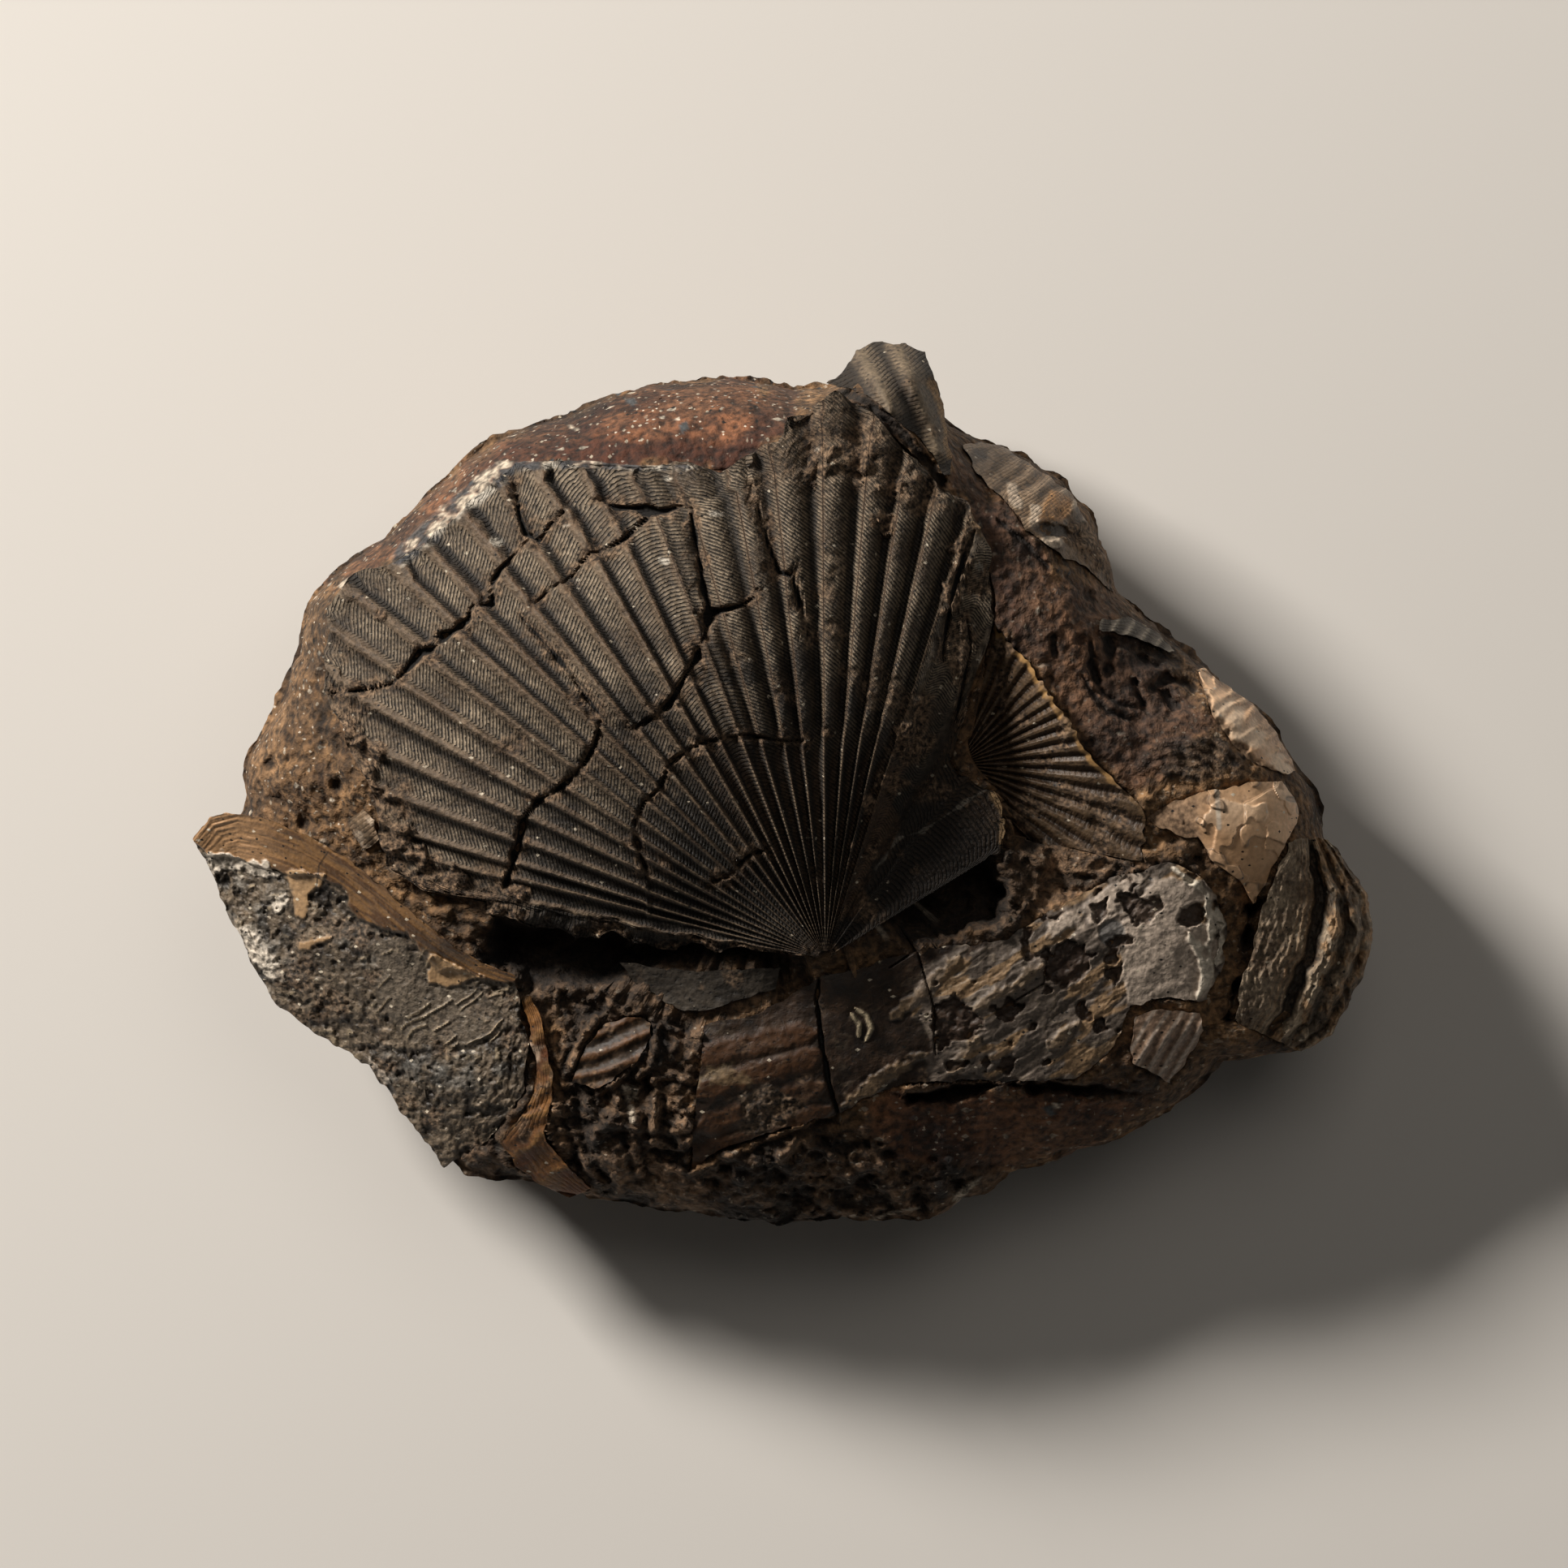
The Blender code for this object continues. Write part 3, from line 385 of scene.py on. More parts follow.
VALVE_SPOTS = [
    (6, -25.9, 59), (-0.8, -20, 60.5), (9.6, -14.8, 60.5), (4.4, -12.2, 64), (-11.2, -22, 57.5),
    (-21.6, -22, 56.5), (-34.6, -21.3, 55), (-42.4, -22.6, 53.5), (-47.6, -19.4, 52.5),
    (-8.6, -10.9, 66), (-21.6, -10.9, 65.5), (-34.6, -9.6, 63), (-47.6, -8.3, 59),
    (-60.6, -9.6, 52.5), (-2.1, 2.1, 69.5), (-15.1, 3.4, 72), (-28.1, 4.7, 71), (-41.1, 6, 67.5),
    (-54.1, 6, 62), (-67.1, 4.7, 55.5), (-8.6, 17.7, 73), (-21.6, 19, 73), (-34.6, 21.6, 70),
    (-47.6, 22.9, 65.5), (-60.6, 22.9, 60.5), (-71.6, 22.9, 54), (4.4, 15.1, 70),
    (14.8, 15.1, 66.5), (23.9, 15.1, 62), (30.4, 17.7, 58.5), (-8.6, 34.6, 70.5),
    (-21.6, 34.6, 70), (-34.6, 37.2, 66), (-47.6, 37.2, 62), (-58, 34.6, 58.5), (4.4, 34.6, 69),
    (17.4, 34.6, 64.5), (29.1, 34.6, 59.5), (-8.6, 47.6, 65.5), (-21.6, 48.9, 64),
    (-34.6, 48.9, 62), (4.4, 52.8, 65.5), (9.6, 60.6, 63.5), (17.4, 51.5, 62.5),
    (23.9, 47.6, 60.5), (17.4, 0.8, 62.5), (23.9, 4.7, 59.4), (14.8, -7, 60), (10.9, -14.8, 60),
    (25.9, 2.7, 57.2), (30.4, -4.4, 55.2), (35, -7, 53.4), (30.4, -11.6, 53.4), (21.3, -12.2, 56),
    (14.8, -18.7, 57),
]
print("spots", len(STONE_SPOTS), "on the stone and", len(VALVE_SPOTS), "on the valve")

# %% The upper face and the belly
# Height of the widest outline, and how far in the upper face and the belly round over.
EQUATOR, SHOULDER, BELLY = 27.0, 11.0, 31.0
stone_face = survey(STONE_SPOTS + [(x, y, z - 0.7) for x, y, z in VALVE_SPOTS])
outline = np.array(STONE_OUTLINE)
outline_turn = np.degrees(np.arctan2(outline[:, 1], outline[:, 0])) % 360.0
order = np.argsort(outline_turn)
outline_turn = outline_turn[order]
outline_reach = np.hypot(outline[:, 0], outline[:, 1])[order]


def stone_reach(turn):
    return np.interp(turn % 360.0, outline_turn, outline_reach, period=360.0)


def stone_top(x, y):
    """Height of the upper face, rounded over towards the outline."""
    reach = stone_reach(np.degrees(np.arctan2(y, x)))
    inside = np.clip((reach - np.hypot(x, y)) / SHOULDER, 0.0, 1.0)
    return EQUATOR + (stone_face(x, y) - EQUATOR) * np.sqrt(1.0 - (1.0 - inside) ** 2)


def stone_bottom(x, y):
    """Height of the underside: a belly that ends in the flat spot."""
    reach = stone_reach(np.degrees(np.arctan2(y, x)))
    inside = np.clip((reach - np.hypot(x, y)) / BELLY, 0.0, 1.0)
    return EQUATOR * (1.0 - np.sqrt(1.0 - (1.0 - inside) ** 2))


print("stone's middle", round(float(stone_top(np.zeros(1), np.zeros(1))[0]), 1), "mm high")

# %% [markdown]
# ## Shell calcite
#
# Fossil shell is calcite. Fine lamellae run along its growth lines, 0.5 to 0.6 mm apart on
# the big valve. Drawn that fine they would blur, so they are 0.66 mm apart here. One
# function makes every shell's material. It reads values that the mesh stores at each point:
# growth is how far a point lies from the beak, crest is where the lamellae are worn away,
# smooth where they never showed, waxy where the shell is clear and dense, soil and crack say
# where stone clings and where the shell has split, and every other area, such as a white
# patch, has a value of its own. Calcite has an IOR of 1.49 to 1.66, so 1.5 suits it, and no
# metal. An old face is dull, with a roughness of 0.6, and broken clear shell shines at 0.4.

# %% A material for shell
LAMELLA = 0.66
CALCITE_IOR = 1.5


def shell_look(name, pale, deep, worn, gap, under=(), over=(), lamella=LAMELLA, depth=0.34,
               rough=0.6, mottle=150.0, lines=1.0, flecks=(0.70, 0.62)):
    """Shell calcite between two colours; under and over name the areas that others cover."""
    look, tree, shader = new_material(name)
    shader.inputs["IOR"].default_value = CALCITE_IOR

    def add(kind, inputs, out=0, **settings):
        return node(tree, kind, inputs, out, **settings)

    place = add("TexCoord", {}, 3)
    cloud = add("TexNoise", {0: place, "Scale": mottle, "Detail": 7.0})
    fine = add("TexNoise", {0: place, "Scale": 1300.0, "Detail": 4.0})
    growth, crest, soil, crack, smooth, waxy = [
        add("Attribute", {}, 2, attribute_name=label)
        for label in ("growth", "crest", "soil", "crack", "smooth", "waxy")]

    # Lamellae: a wave on the growth value, shaken by the fine noise, absent on the crests.
    shaken = add("Math", {0: fine, 1: lamella * 0.7, 2: growth}, operation="MULTIPLY_ADD")
    turns = add("Math", {0: shaken, 1: 2 * math.pi / lamella}, operation="MULTIPLY")
    wave = add("Math", {0: turns}, operation="SINE")
    ridge = add("MapRange", {0: wave, 1: -0.95, 2: 0.15})
    bare = add("Math", {0: crest, 1: soil}, operation="MAXIMUM")
    bare = add("Math", {0: bare, 1: smooth}, operation="MAXIMUM")
    shows = add("Math", {0: 1.0, 1: bare}, operation="SUBTRACT", use_clamp=True)
    patchy = add("MapRange", {0: cloud, 1: 0.34, 2: 0.52, 3: 0.45 * lines, 4: lines})
    shows = add("Math", {0: shows, 1: patchy}, operation="MULTIPLY")
    valley = add("Math", {0: 1.0, 1: ridge}, operation="SUBTRACT")
    valley = add("Math", {0: valley, 1: shows}, operation="MULTIPLY")
    beads = add("MapRange", {0: fine, 1: 0.66, 2: 0.44, 3: 0.55, 4: 0.95})
    beaded = add("Math", {0: valley, 1: beads}, operation="MULTIPLY")

    # Colour: mottled shell, then stains and painted shade, lamella gaps, worn crests, patches,
    # soil, cracks.
    contrast = add("MapRange", {0: cloud, 1: 0.35, 2: 0.65})
    colour = add("Mix", {0: contrast, 6: tint(deep), 7: tint(pale)}, 2, data_type="RGBA")
    for label, code in under:
        share = add("Attribute", {}, 2, attribute_name=label)
        colour = add("Mix", {0: share, 6: colour, 7: tint(code)}, 2, data_type="RGBA")
    colour = add("Mix", {0: beaded, 6: colour, 7: tint(gap)}, 2, data_type="RGBA")
    crest = add("Math", {0: crest, 1: 0.75}, operation="MULTIPLY")
    colour = add("Mix", {0: crest, 6: colour, 7: tint(worn)}, 2, data_type="RGBA")
    for label, code in over:
        share = add("Attribute", {}, 2, attribute_name=label)
        colour = add("Mix", {0: share, 6: colour, 7: tint(code)}, 2, data_type="RGBA")
    crumbs = add("MapRange", {0: fine, 1: 0.36, 2: 0.64})
    grit = add("Mix", {0: crumbs, 6: tint("#2e2117"), 7: tint("#8d745c")}, 2, data_type="RGBA")
    colour = add("Mix", {0: soil, 6: colour, 7: grit}, 2, data_type="RGBA")

    # Crumbs of shell and pinholes, 0.3 mm wide, a few in each square centimetre.
    for size, least, code in ((470.0, flecks[0], "#d8ccb6"), (620.0, flecks[1], "#120d09")):
        drawn = add("VectorMath", {0: place, 1: (1.0, 1.5, 1.0)}, operation="MULTIPLY")
        away = add("TexVoronoi", {0: drawn, "Scale": size}, distance="MANHATTAN")
        pick = add("TexVoronoi", {0: drawn, "Scale": size}, 1, distance="MANHATTAN")
        dot = add("MapRange", {0: away, 1: 0.28, 2: 0.20})
        kept = add("MapRange", {0: pick, 1: least, 2: least + 0.03})
        share = add("Math", {0: dot, 1: kept}, operation="MULTIPLY")
        colour = add("Mix", {0: share, 6: colour, 7: tint(code)}, 2, data_type="RGBA")
    darkest = add("MapRange", {0: waxy, 3: 0.36, 4: 0.84})
    shade = add("MapRange", {0: fine, 1: 0.32, 2: 0.68, 3: darkest, 4: 0.98})
    colour = add("Mix", {0: 1.0, 6: colour, 7: shade}, 2, data_type="RGBA",
                 blend_type="MULTIPLY")
    split = add("MapRange", {0: crack, 1: 0.10, 2: -0.12})
    colour = add("Mix", {0: split, 6: colour, 7: tint("#0b0806")}, 2, data_type="RGBA")
    tree.links.new(colour, shader.inputs["Base Color"])

    # Relief: the lamellae stand up by their real height, the grain by less.
    high = add("Math", {0: valley, 1: -1.0}, operation="MULTIPLY")
    high = add("Math", {0: fine, 1: 1.1, 2: high}, operation="MULTIPLY_ADD")
    high = add("Math", {0: cloud, 1: 1.6, 2: high}, operation="MULTIPLY_ADD")
    felt = add("MapRange", {0: waxy, 3: 1.0, 4: 0.3})
    bump = add("Bump", {"Height": high, "Strength": felt, "Distance": depth * MM})
    tree.links.new(bump, shader.inputs["Normal"])
    dull = add("MapRange", {0: soil, 3: rough, 4: 0.95})
    dull = add("Math", {0: waxy, 1: -0.12, 2: dull}, operation="MULTIPLY_ADD")
    dull = add("Math", {0: cloud, 1: 0.25, 2: dull}, operation="MULTIPLY_ADD")
    tree.links.new(dull, shader.inputs["Roughness"])
    return look


print("lamellae are drawn", LAMELLA, "mm apart")

# %% [markdown]
# ## The big valve
#
# A scallop grows outwards from its beak, so the valve is a fan of rays. On the left its
# ribs are pressed over: each has a long lit side and a steep dark one. On the right they are
# broad and round, over deep troughs. The ear at the lower right has no ribs. The valve broke
# up in the ground, so cracks run across it, its fragments sit a little higher or lower, and
# soil fills the breaks. The rays stand closer together at the crests, where the form turns
# sharply.

# %% Outline and crests of the big valve
VALVE_BEAK = (6.6, -27.8)
VALVE_MARGIN = [
    (-42.4, -22.6), (-46.8, -21.1), (-47.6, -18.7), (-58, -16.4), (-63.2, -14.2), (-64.5, -3.1),
    (-69.7, 8.6), (-72.9, 12.5), (-73.6, 21.6), (-72.3, 29.4), (-70.3, 33), (-63.2, 34.6),
    (-60.6, 35.9), (-52.8, 42.4), (-47.6, 46.9), (-42.4, 50.8), (-32, 51.1), (-24.2, 50.4),
    (-13.8, 50.4), (-8.6, 50.2), (-4, 52.8), (-0.8, 54.1), (1.2, 58.6), (4.4, 60.6), (8.3, 62.3),
    (12, 60.7), (17.9, 54.9), (22.5, 50.8), (24.6, 47.2), (28.5, 45), (31.1, 41.1), (32.4, 34.6),
    (33.7, 29.4), (33.3, 24.2), (30.4, 15.1), (27.8, 8.6), (26.3, 4.9), (27.8, 1.4), (32, -1.2),
    (34.6, -4.4), (35.6, -6), (35.6, -9), (33.7, -11.2),
]
VALVE_CRESTS = [
    170.0, 166.1, 163.4, 159.4, 155.1, 150.9, 147.0, 142.9, 138.4, 134.7, 129.7, 125.1, 119.8,
    115.8, 111.0, 106.6, 100.9, 96.1, 90.4, 85.2, 80.9, 76.7, 71.9,
]
print("margin points", len(VALVE_MARGIN), "crests", len(VALVE_CRESTS))

# %% Cracks of the big valve
# Each crack: its half width in mm at the start, middle and end, and its line.
VALVE_CRACKS = [
    ((0.15, 0.75, 0.1), [
        (-73.6, 14.3), (-65.8, 15.1), (-62.7, 15.9), (-59.5, 19), (-58, 21.1), (-55.9, 21.6),
        (-53.3, 23.9), (-50.2, 26.3), (-49.9, 28.3), (-46.5, 28.6), (-46.5, 32), (-45.2, 34.1),
        (-42.9, 36.7), (-40.3, 39),
    ]),
    ((0.2, 0.65, 0.3), [
        (-29.4, 45.2), (-26.8, 43.9), (-23.7, 43.9), (-20, 43.2), (-16.4, 44.2), (-14.6, 43.9),
    ]),
    ((0.3, 0.8, 0.3), [
        (-14.7, 42.9), (-14, 39.1), (-13.5, 35.9), (-13, 32), (-12.2, 28.7), (-12.2, 25.2),
        (-13.5, 21.1), (-15.3, 17.7), (-16.4, 15.6), (-17.9, 13), (-20, 10.9), (-23.4, 9.1),
    ]),
    ((0.5, 0.45, 0.2), [(-12.1, 27.2), (-8.6, 27.8), (-7, 28.3), (-4.7, 29.6)]),
    ((0.15, 0.4, 0.2), [
        (-5.3, 47.6), (-3.4, 41.1), (-2.3, 37.2), (-0.8, 33.8), (1.3, 33), (2.5, 28.7),
        (3.9, 22.9),
    ]),
    ((0.2, 0.35, 0.15), [
        (-42.9, 47.6), (-42.4, 43.4), (-41.1, 40), (-39, 38.7), (-37.2, 41.3), (-35.1, 43.4),
    ]),
    ((0.12, 0.22, 0.2), [
        (-40.3, 27.8), (-37.2, 31.2), (-34.1, 32.5), (-30.9, 36.7), (-28.9, 37.2), (-25.7, 38.7),
        (-21.6, 42.4),
    ]),
    ((0.15, 0.35, 0.35), [
        (-42.4, 27.3), (-38.2, 22.6), (-36.1, 20), (-33.5, 16.9), (-32, 14.3), (-29.4, 11.2),
    ]),
    ((0.3, 0.35, 0.55), [
        (-29.1, 9.9), (-30, 6.2), (-32, 2.9), (-34.6, 0.1), (-39.3, -2.9), (-41.6, -5.7),
        (-42.4, -9.6), (-43.6, -13.3), (-44.7, -16.4),
    ]),
    ((0.12, 0.15, 0.12), [
        (-22.1, -13.3), (-23.9, -9.1), (-23.7, -5.5), (-22, -2.7), (-19.6, -0.4), (-18.3, 3.1),
        (-15.6, 5.2), (-12.6, 6.6), (-9.2, 7.4), (-5.7, 7.7), (-2.3, 7.2), (0.8, 6.8), (3.1, 6.8),
    ]),
    ((0.12, 0.3, 0.12), [
        (-11.4, -15.6), (-8.8, -14.6), (-7, -12.7), (-5.2, -11.2), (-2.9, -10.4),
    ]),
    ((0.2, 0.35, 0.1), [(30.4, 40.4), (28.6, 35.9), (26.8, 30), (26, 25.5), (25.2, 20)]),
    ((0.1, 0.2, 0.15), [(29.1, 26.8), (29.9, 21.6), (28.6, 16.1), (27.6, 11.2)]),
]
print("cracks", len(VALVE_CRACKS))

# %% Fragments and knobs of the big valve
# Fragments that sit lower or higher than the rest: lift in mm, twist in degrees, outline.
FRAGMENTS = [
    (-0.8, 0.0, [
        (-22.1, -13.3), (-23.9, -9.1), (-23.7, -5.5), (-22, -2.7), (-19.6, -0.4), (-18.3, 3.1),
        (-15.6, 5.2), (-12.6, 6.6), (-9.2, 7.4), (-5.7, 7.7), (-2.3, 7.2), (0.8, 6.8), (3.8, 4.7),
        (5.7, -17.4), (6.6, -27.8), (-8.6, -23.9), (-21.6, -22),
    ]),
    (-0.6, 0.7, [
        (-76.2, 14.3), (-65.8, 15.1), (-62.7, 15.9), (-58, 21.1), (-53.3, 23.9), (-50.2, 26.3),
        (-46.5, 32), (-40.3, 39), (-42.4, 43.4), (-42.9, 52.8), (-63.2, 42.4), (-74.9, 34.6),
    ]),
    (-0.4, -0.6, [
        (-42.9, 47.6), (-40.3, 39), (-35.1, 43.4), (-29.4, 45.2), (-23.7, 43.9), (-14.6, 43.9),
        (-5.3, 47.6), (-6, 52.8), (-42.9, 52.8),
    ]),
    (0.4, 0.0, [
        (-40.3, 27.8), (-34.1, 32.5), (-28.9, 37.2), (-21.6, 42.4), (-14.7, 42.9), (-13, 32),
        (-12.2, 25.2), (-15.3, 17.7), (-20, 10.9), (-29.4, 11.2), (-36.1, 20), (-42.4, 27.3),
    ]),
    (-0.5, 0.5, [
        (-44.7, -16.4), (-42.4, -9.6), (-41.6, -5.7), (-39.3, -2.9), (-30, 6.2), (-29.1, 9.9),
        (-23.4, 9.1), (-20, 10.9), (-12.6, 6.6), (-18.3, 3.1), (-22, -2.7), (-23.7, -5.5),
        (-22.1, -13.3), (-21.6, -22), (-42.4, -22.6),
    ]),
]
# Lumps of stone that cling to the valve: place and radius.
KNOBS = [
    (16, 42, 2.1), (4.5, 49.7, 1.9), (9.4, 53.3, 1.5), (11.7, 51.2, 2.2), (17.4, 47.6, 1.7),
    (7, 52.8, 1.6), (20.8, 48.6, 1.5), (27.6, 38.2, 1.5), (28.1, 34.6, 1.8), (26.8, 29.4, 2),
    (28.6, 25.5, 1.6), (-64.5, 26.8, 1.2), (-68.9, 8.6, 2.2), (-66.8, 0.8, 2.4),
    (-64.5, 5.3, 1.4), (-60.8, -9.6, 2.4), (-52.8, -15.5, 2.2), (-58, -12.2, 1.8), (19, 7.9, 1.8),
    (20.8, 5.3, 1.6), (13.5, -3.4, 1.4), (15.1, 0.1, 1.5), (10.9, -9.6, 1.2), (-42.4, -17.2, 1.4),
    (6.8, 7.9, 1.2),
]
print("fragments", len(FRAGMENTS), "knobs", len(KNOBS))

# %% The valve's reach in each direction
margin_away = np.array(VALVE_MARGIN) - np.array(VALVE_BEAK)
margin_turn = np.degrees(np.arctan2(margin_away[:, 1], margin_away[:, 0]))[::-1]
margin_reach = np.hypot(margin_away[:, 0], margin_away[:, 1])[::-1]
valve_face = survey(VALVE_SPOTS)
# The stone stays under each shell: its outline, its face, and how far under.
covers = [([VALVE_BEAK] + VALVE_MARGIN, valve_face, 2.0)]
print("valve", round(float(margin_reach.max()), 1), "mm from beak to margin")

# %% The fan of rays, and each point's place between two crests
deep = 200
spread = np.linspace(0.0, 1.0, 17)[:-1]
spread = spread - 0.09 * np.sin(2 * np.pi * spread)
rays = list(np.linspace(margin_turn[-1], VALVE_CRESTS[0], 14)[:-1])
for crest, after in zip(VALVE_CRESTS[:-1], VALVE_CRESTS[1:]):
    rays += list(crest + (after - crest) * spread)
rays += list(np.linspace(VALVE_CRESTS[-1], margin_turn[0], 100))
turn = np.array(rays)[:, None] + np.zeros((1, deep))
share = np.linspace(0.0, 1.0, deep)[None, :] ** 0.85
full_reach = np.interp(turn, margin_turn, margin_reach)
reach = 1.2 + (full_reach - 1.2) * share
x = VALVE_BEAK[0] + reach * np.cos(np.radians(turn))
y = VALVE_BEAK[1] + reach * np.sin(np.radians(turn))
fray = ease(0.93, 1.0, share) * 0.8
x, y = x + fray * grain(x, y, 3.0, 3, 21), y + fray * grain(x, y, 3.0, 3, 31)
# The lower left edge broke unevenly over the hollow.
ragged = ease(167.0, margin_turn[-1], turn) * ease(8.0, 20.0, reach)
y = y + 1.3 * ragged * grain(x, 0 * y, 3.4, 4, 46)
lift, twist = np.zeros(x.shape), np.zeros(x.shape)
for up, round_by, fragment in FRAGMENTS:
    inside = ease(-0.4, 0.4, rim_distance(fragment, x, y) + 0.4 * lumps(x, y, 2.0, 33))
    lift, twist = lift + up * inside, twist + round_by * inside
seen = turn + twist
crests = np.array(VALVE_CRESTS)
left = np.clip(np.searchsorted(-crests, -seen) - 1, 0, len(crests) - 2)
pitch = crests[left] - crests[left + 1]
phase = np.clip((crests[left] - seen) / pitch, -0.5, 1.5)
round_ribs = ease(122.0, 102.0, turn)
ribbed = ease(66.5, 70.5, turn) * ease(174.5, 171.5, turn)
umbo = ease(40.0, 30.0, reach)
print("pitch", round(float(pitch.min()), 1), "to", round(float(pitch.max()), 1), "degrees")

# %% Ribs
# Height of a rib's face, as a share, between one crest and the next.
PRESSED_RIB = (
    (0.0, 0.04, 0.1, 0.17, 0.24, 0.34, 0.55, 0.75, 0.88, 0.95, 1.0),
    (1.0, 0.93, 0.6, 0.18, 0.02, 0.0, 0.16, 0.42, 0.76, 0.96, 1.0),
)
ROUND_RIB = (
    (0.0, 0.06, 0.14, 0.25, 0.37, 0.5, 0.6, 0.68, 0.76, 0.84, 0.9, 0.95, 1.0),
    (0.8, 0.92, 0.99, 1.0, 0.93, 0.72, 0.4, 0.12, 0.0, 0.06, 0.3, 0.56, 0.8),
)
near_crest = np.minimum(abs(phase), abs(1.0 - phase))
place = np.clip(phase, 0.0, 1.0)
lean = ease(140.0, 152.0, turn)
hollow = (1.0 - np.clip((near_crest - 0.04) / 0.46, 0.0, 1.0)) ** 1.9
pressed = np.interp(place, *PRESSED_RIB) * (1 - lean) + np.interp(1 - place, *PRESSED_RIB) * lean
pressed = pressed * (1 - umbo) + hollow * umbo
rounded = round_ribs * (1.0 - 0.8 * umbo)
profile = pressed * (1 - rounded) + np.interp(place, *ROUND_RIB) * rounded
RIB_TURNS = [67.0, 76.0, 105.0, 125.0, 145.0, 170.0]
RIB_HEIGHTS = [1.4, 2.6, 2.6, 2.1, 1.7, 1.3]
height = np.interp(turn, RIB_TURNS, RIB_HEIGHTS)
height = height * np.interp(reach, [0, 8, 20, 45, 90], [0.15, 0.45, 0.8, 1.0, 1.05])
print("ribs up to", round(float(height.max()), 1), "mm high")

# %% Cracks, soil and knobs
gap = np.full(x.shape, UNBROKEN)
for halves, line in VALVE_CRACKS:
    away, where = line_distance(line, x, y)
    half = np.interp(where, [0.0, 0.5, 1.0], halves) * (0.8 + 0.9 * lumps(x, y, 2.2, 77))
    gap = np.minimum(gap, away - half)
soil = ease(1.5, 0.2, gap + 1.2 * grain(x, y, 1.8, 3, 11)) * 0.75
soil = np.maximum(soil, ease(0.55, 1.1, grain(x, y, 7.0, 4, 15)) * 0.6)
rim_soil = rim_distance(covers[0][0], x, y) + 3.0 * grain(x, y, 4.0, 3, 19)
left_rim = ease(-44.0, -58.0, x) * ease(20.0, 8.0, y)
soil = np.maximum(soil, left_rim * ease(5.0, 1.0, rim_soil) * 0.9)
beyond = ease(71.4, 69.5, turn) * ease(61.5, 64.0, turn)
soil = np.maximum(soil, beyond * ease(-0.1, 0.7, grain(x, y, 3.5, 4, 17)) * 0.8)
low_edge = ease(168.0, 172.5, turn)
soil = np.maximum(soil, low_edge * ease(-0.4, 0.5, grain(x, y, 3.0, 3, 23)) * 0.9)
WORN_TOP = [
    (-4.7, 52.8), (1.2, 59.5), (8.3, 63.4), (12.7, 61.4), (25.9, 47.6), (29.9, 42.4), (20, 42.9),
    (9.6, 48.1), (-0.8, 46.3),
]
worn_top = patch(WORN_TOP, x, y, 3.0, 2.0, 24)
soil = np.maximum(soil, worn_top * (0.35 + 0.4 * ease(0.0, 0.7, grain(x, y, 4.5, 4, 25))))
bump_up = 0.45 * worn_top * grain(x, y, 3.0, 3, 26)
for *spot, radius in KNOBS:
    near = from_spot(spot, x, y) + 0.6 * radius * grain(x, y, 1.7, 3, 27)
    dome = np.sqrt(np.clip(1.0 - (near / radius) ** 2, 0.0, 1.0))
    bump_up = np.maximum(bump_up, dome * radius * 0.6)
    soil = np.maximum(soil, ease(1.1, 0.7, near / radius) * 0.9)
z = valve_face(x, y) + height * profile * ribbed * (1.0 - 0.45 * soil)
z = z + lift + bump_up + 0.15 * grain(x, y, 5.0, 4, 41) + 0.3 * beyond * grain(x, y, 2.2, 4, 42)
z = z + soil * (0.25 + 0.6 * grain(x, y, 1.1, 3, 43)) - 2.0 * ease(0.3, -0.3, gap)
z = z - low_edge * (0.8 + 1.1 * grain(x, y, 2.6, 4, 44))
print("valve's crown", round(float(z.max()), 1), "mm high")

# %% Growth lines, worn crests, stains and painted shade
strip = np.interp(turn, [100.0, 120.0, 150.0], [0.06, 0.14, 0.15]) + 0.02 * lumps(x, y, 3.0, 53)
side = np.where(phase < 0.5, phase, phase - 1.0)
shift = 0.06 * (2 * lean - 1) * (1 - round_ribs) * (1 - umbo)
crest_mask = ease(strip + 0.03, strip - 0.03, abs(side - shift)) * ribbed * (1 - 0.55 * round_ribs)
wide_mm = np.radians(pitch) * reach
sag_left = np.interp(phase, [0.0, 0.2, 1.0], [0.2, 0.55, 0.0])
sag_right = 0.8 * phase
growth = reach + ribbed * wide_mm * (sag_left * (1 - round_ribs) + sag_right * round_ribs)
ear = ease(62.5, 60.0, turn)
fold = ease(0.22, 0.0, abs((turn - 53.0) / 9.0 + 0.1 * lumps(x, y, 4.0, 55))) * ear
z = z + ear * (0.5 * fold + 0.35 * np.sin(np.radians(turn) * 14.0))
growth = growth * (1 - ear) + (30.0 * reach / full_reach + 0.8 * fold) * ear
growth = growth + 0.9 * beyond * (x - 20.0) + 0.4 * lumps(x, y, 9.0, 51)
# Painted shadow: a dark strip at the foot of each rib's steep side, the side away from the lamp.
shadow_foot = ease(0.38, 0.26, place) * ease(106.0, 114.0, turn) * (1 - lean)
shadow_foot = shadow_foot + ease(0.62, 0.74, place) * lean * 0.85
# Painted shade in the troughs between the ribs, where the shell is also stained dark.
trough = ease(0.45, 0.08, profile) * ribbed
shade_and_stain = trough * np.clip(0.8 * round_ribs + 0.75 * umbo, 0.0, 0.92)
shade_and_stain = np.maximum(shade_and_stain, shadow_foot * (1 - crest_mask) * ribbed * 0.95)
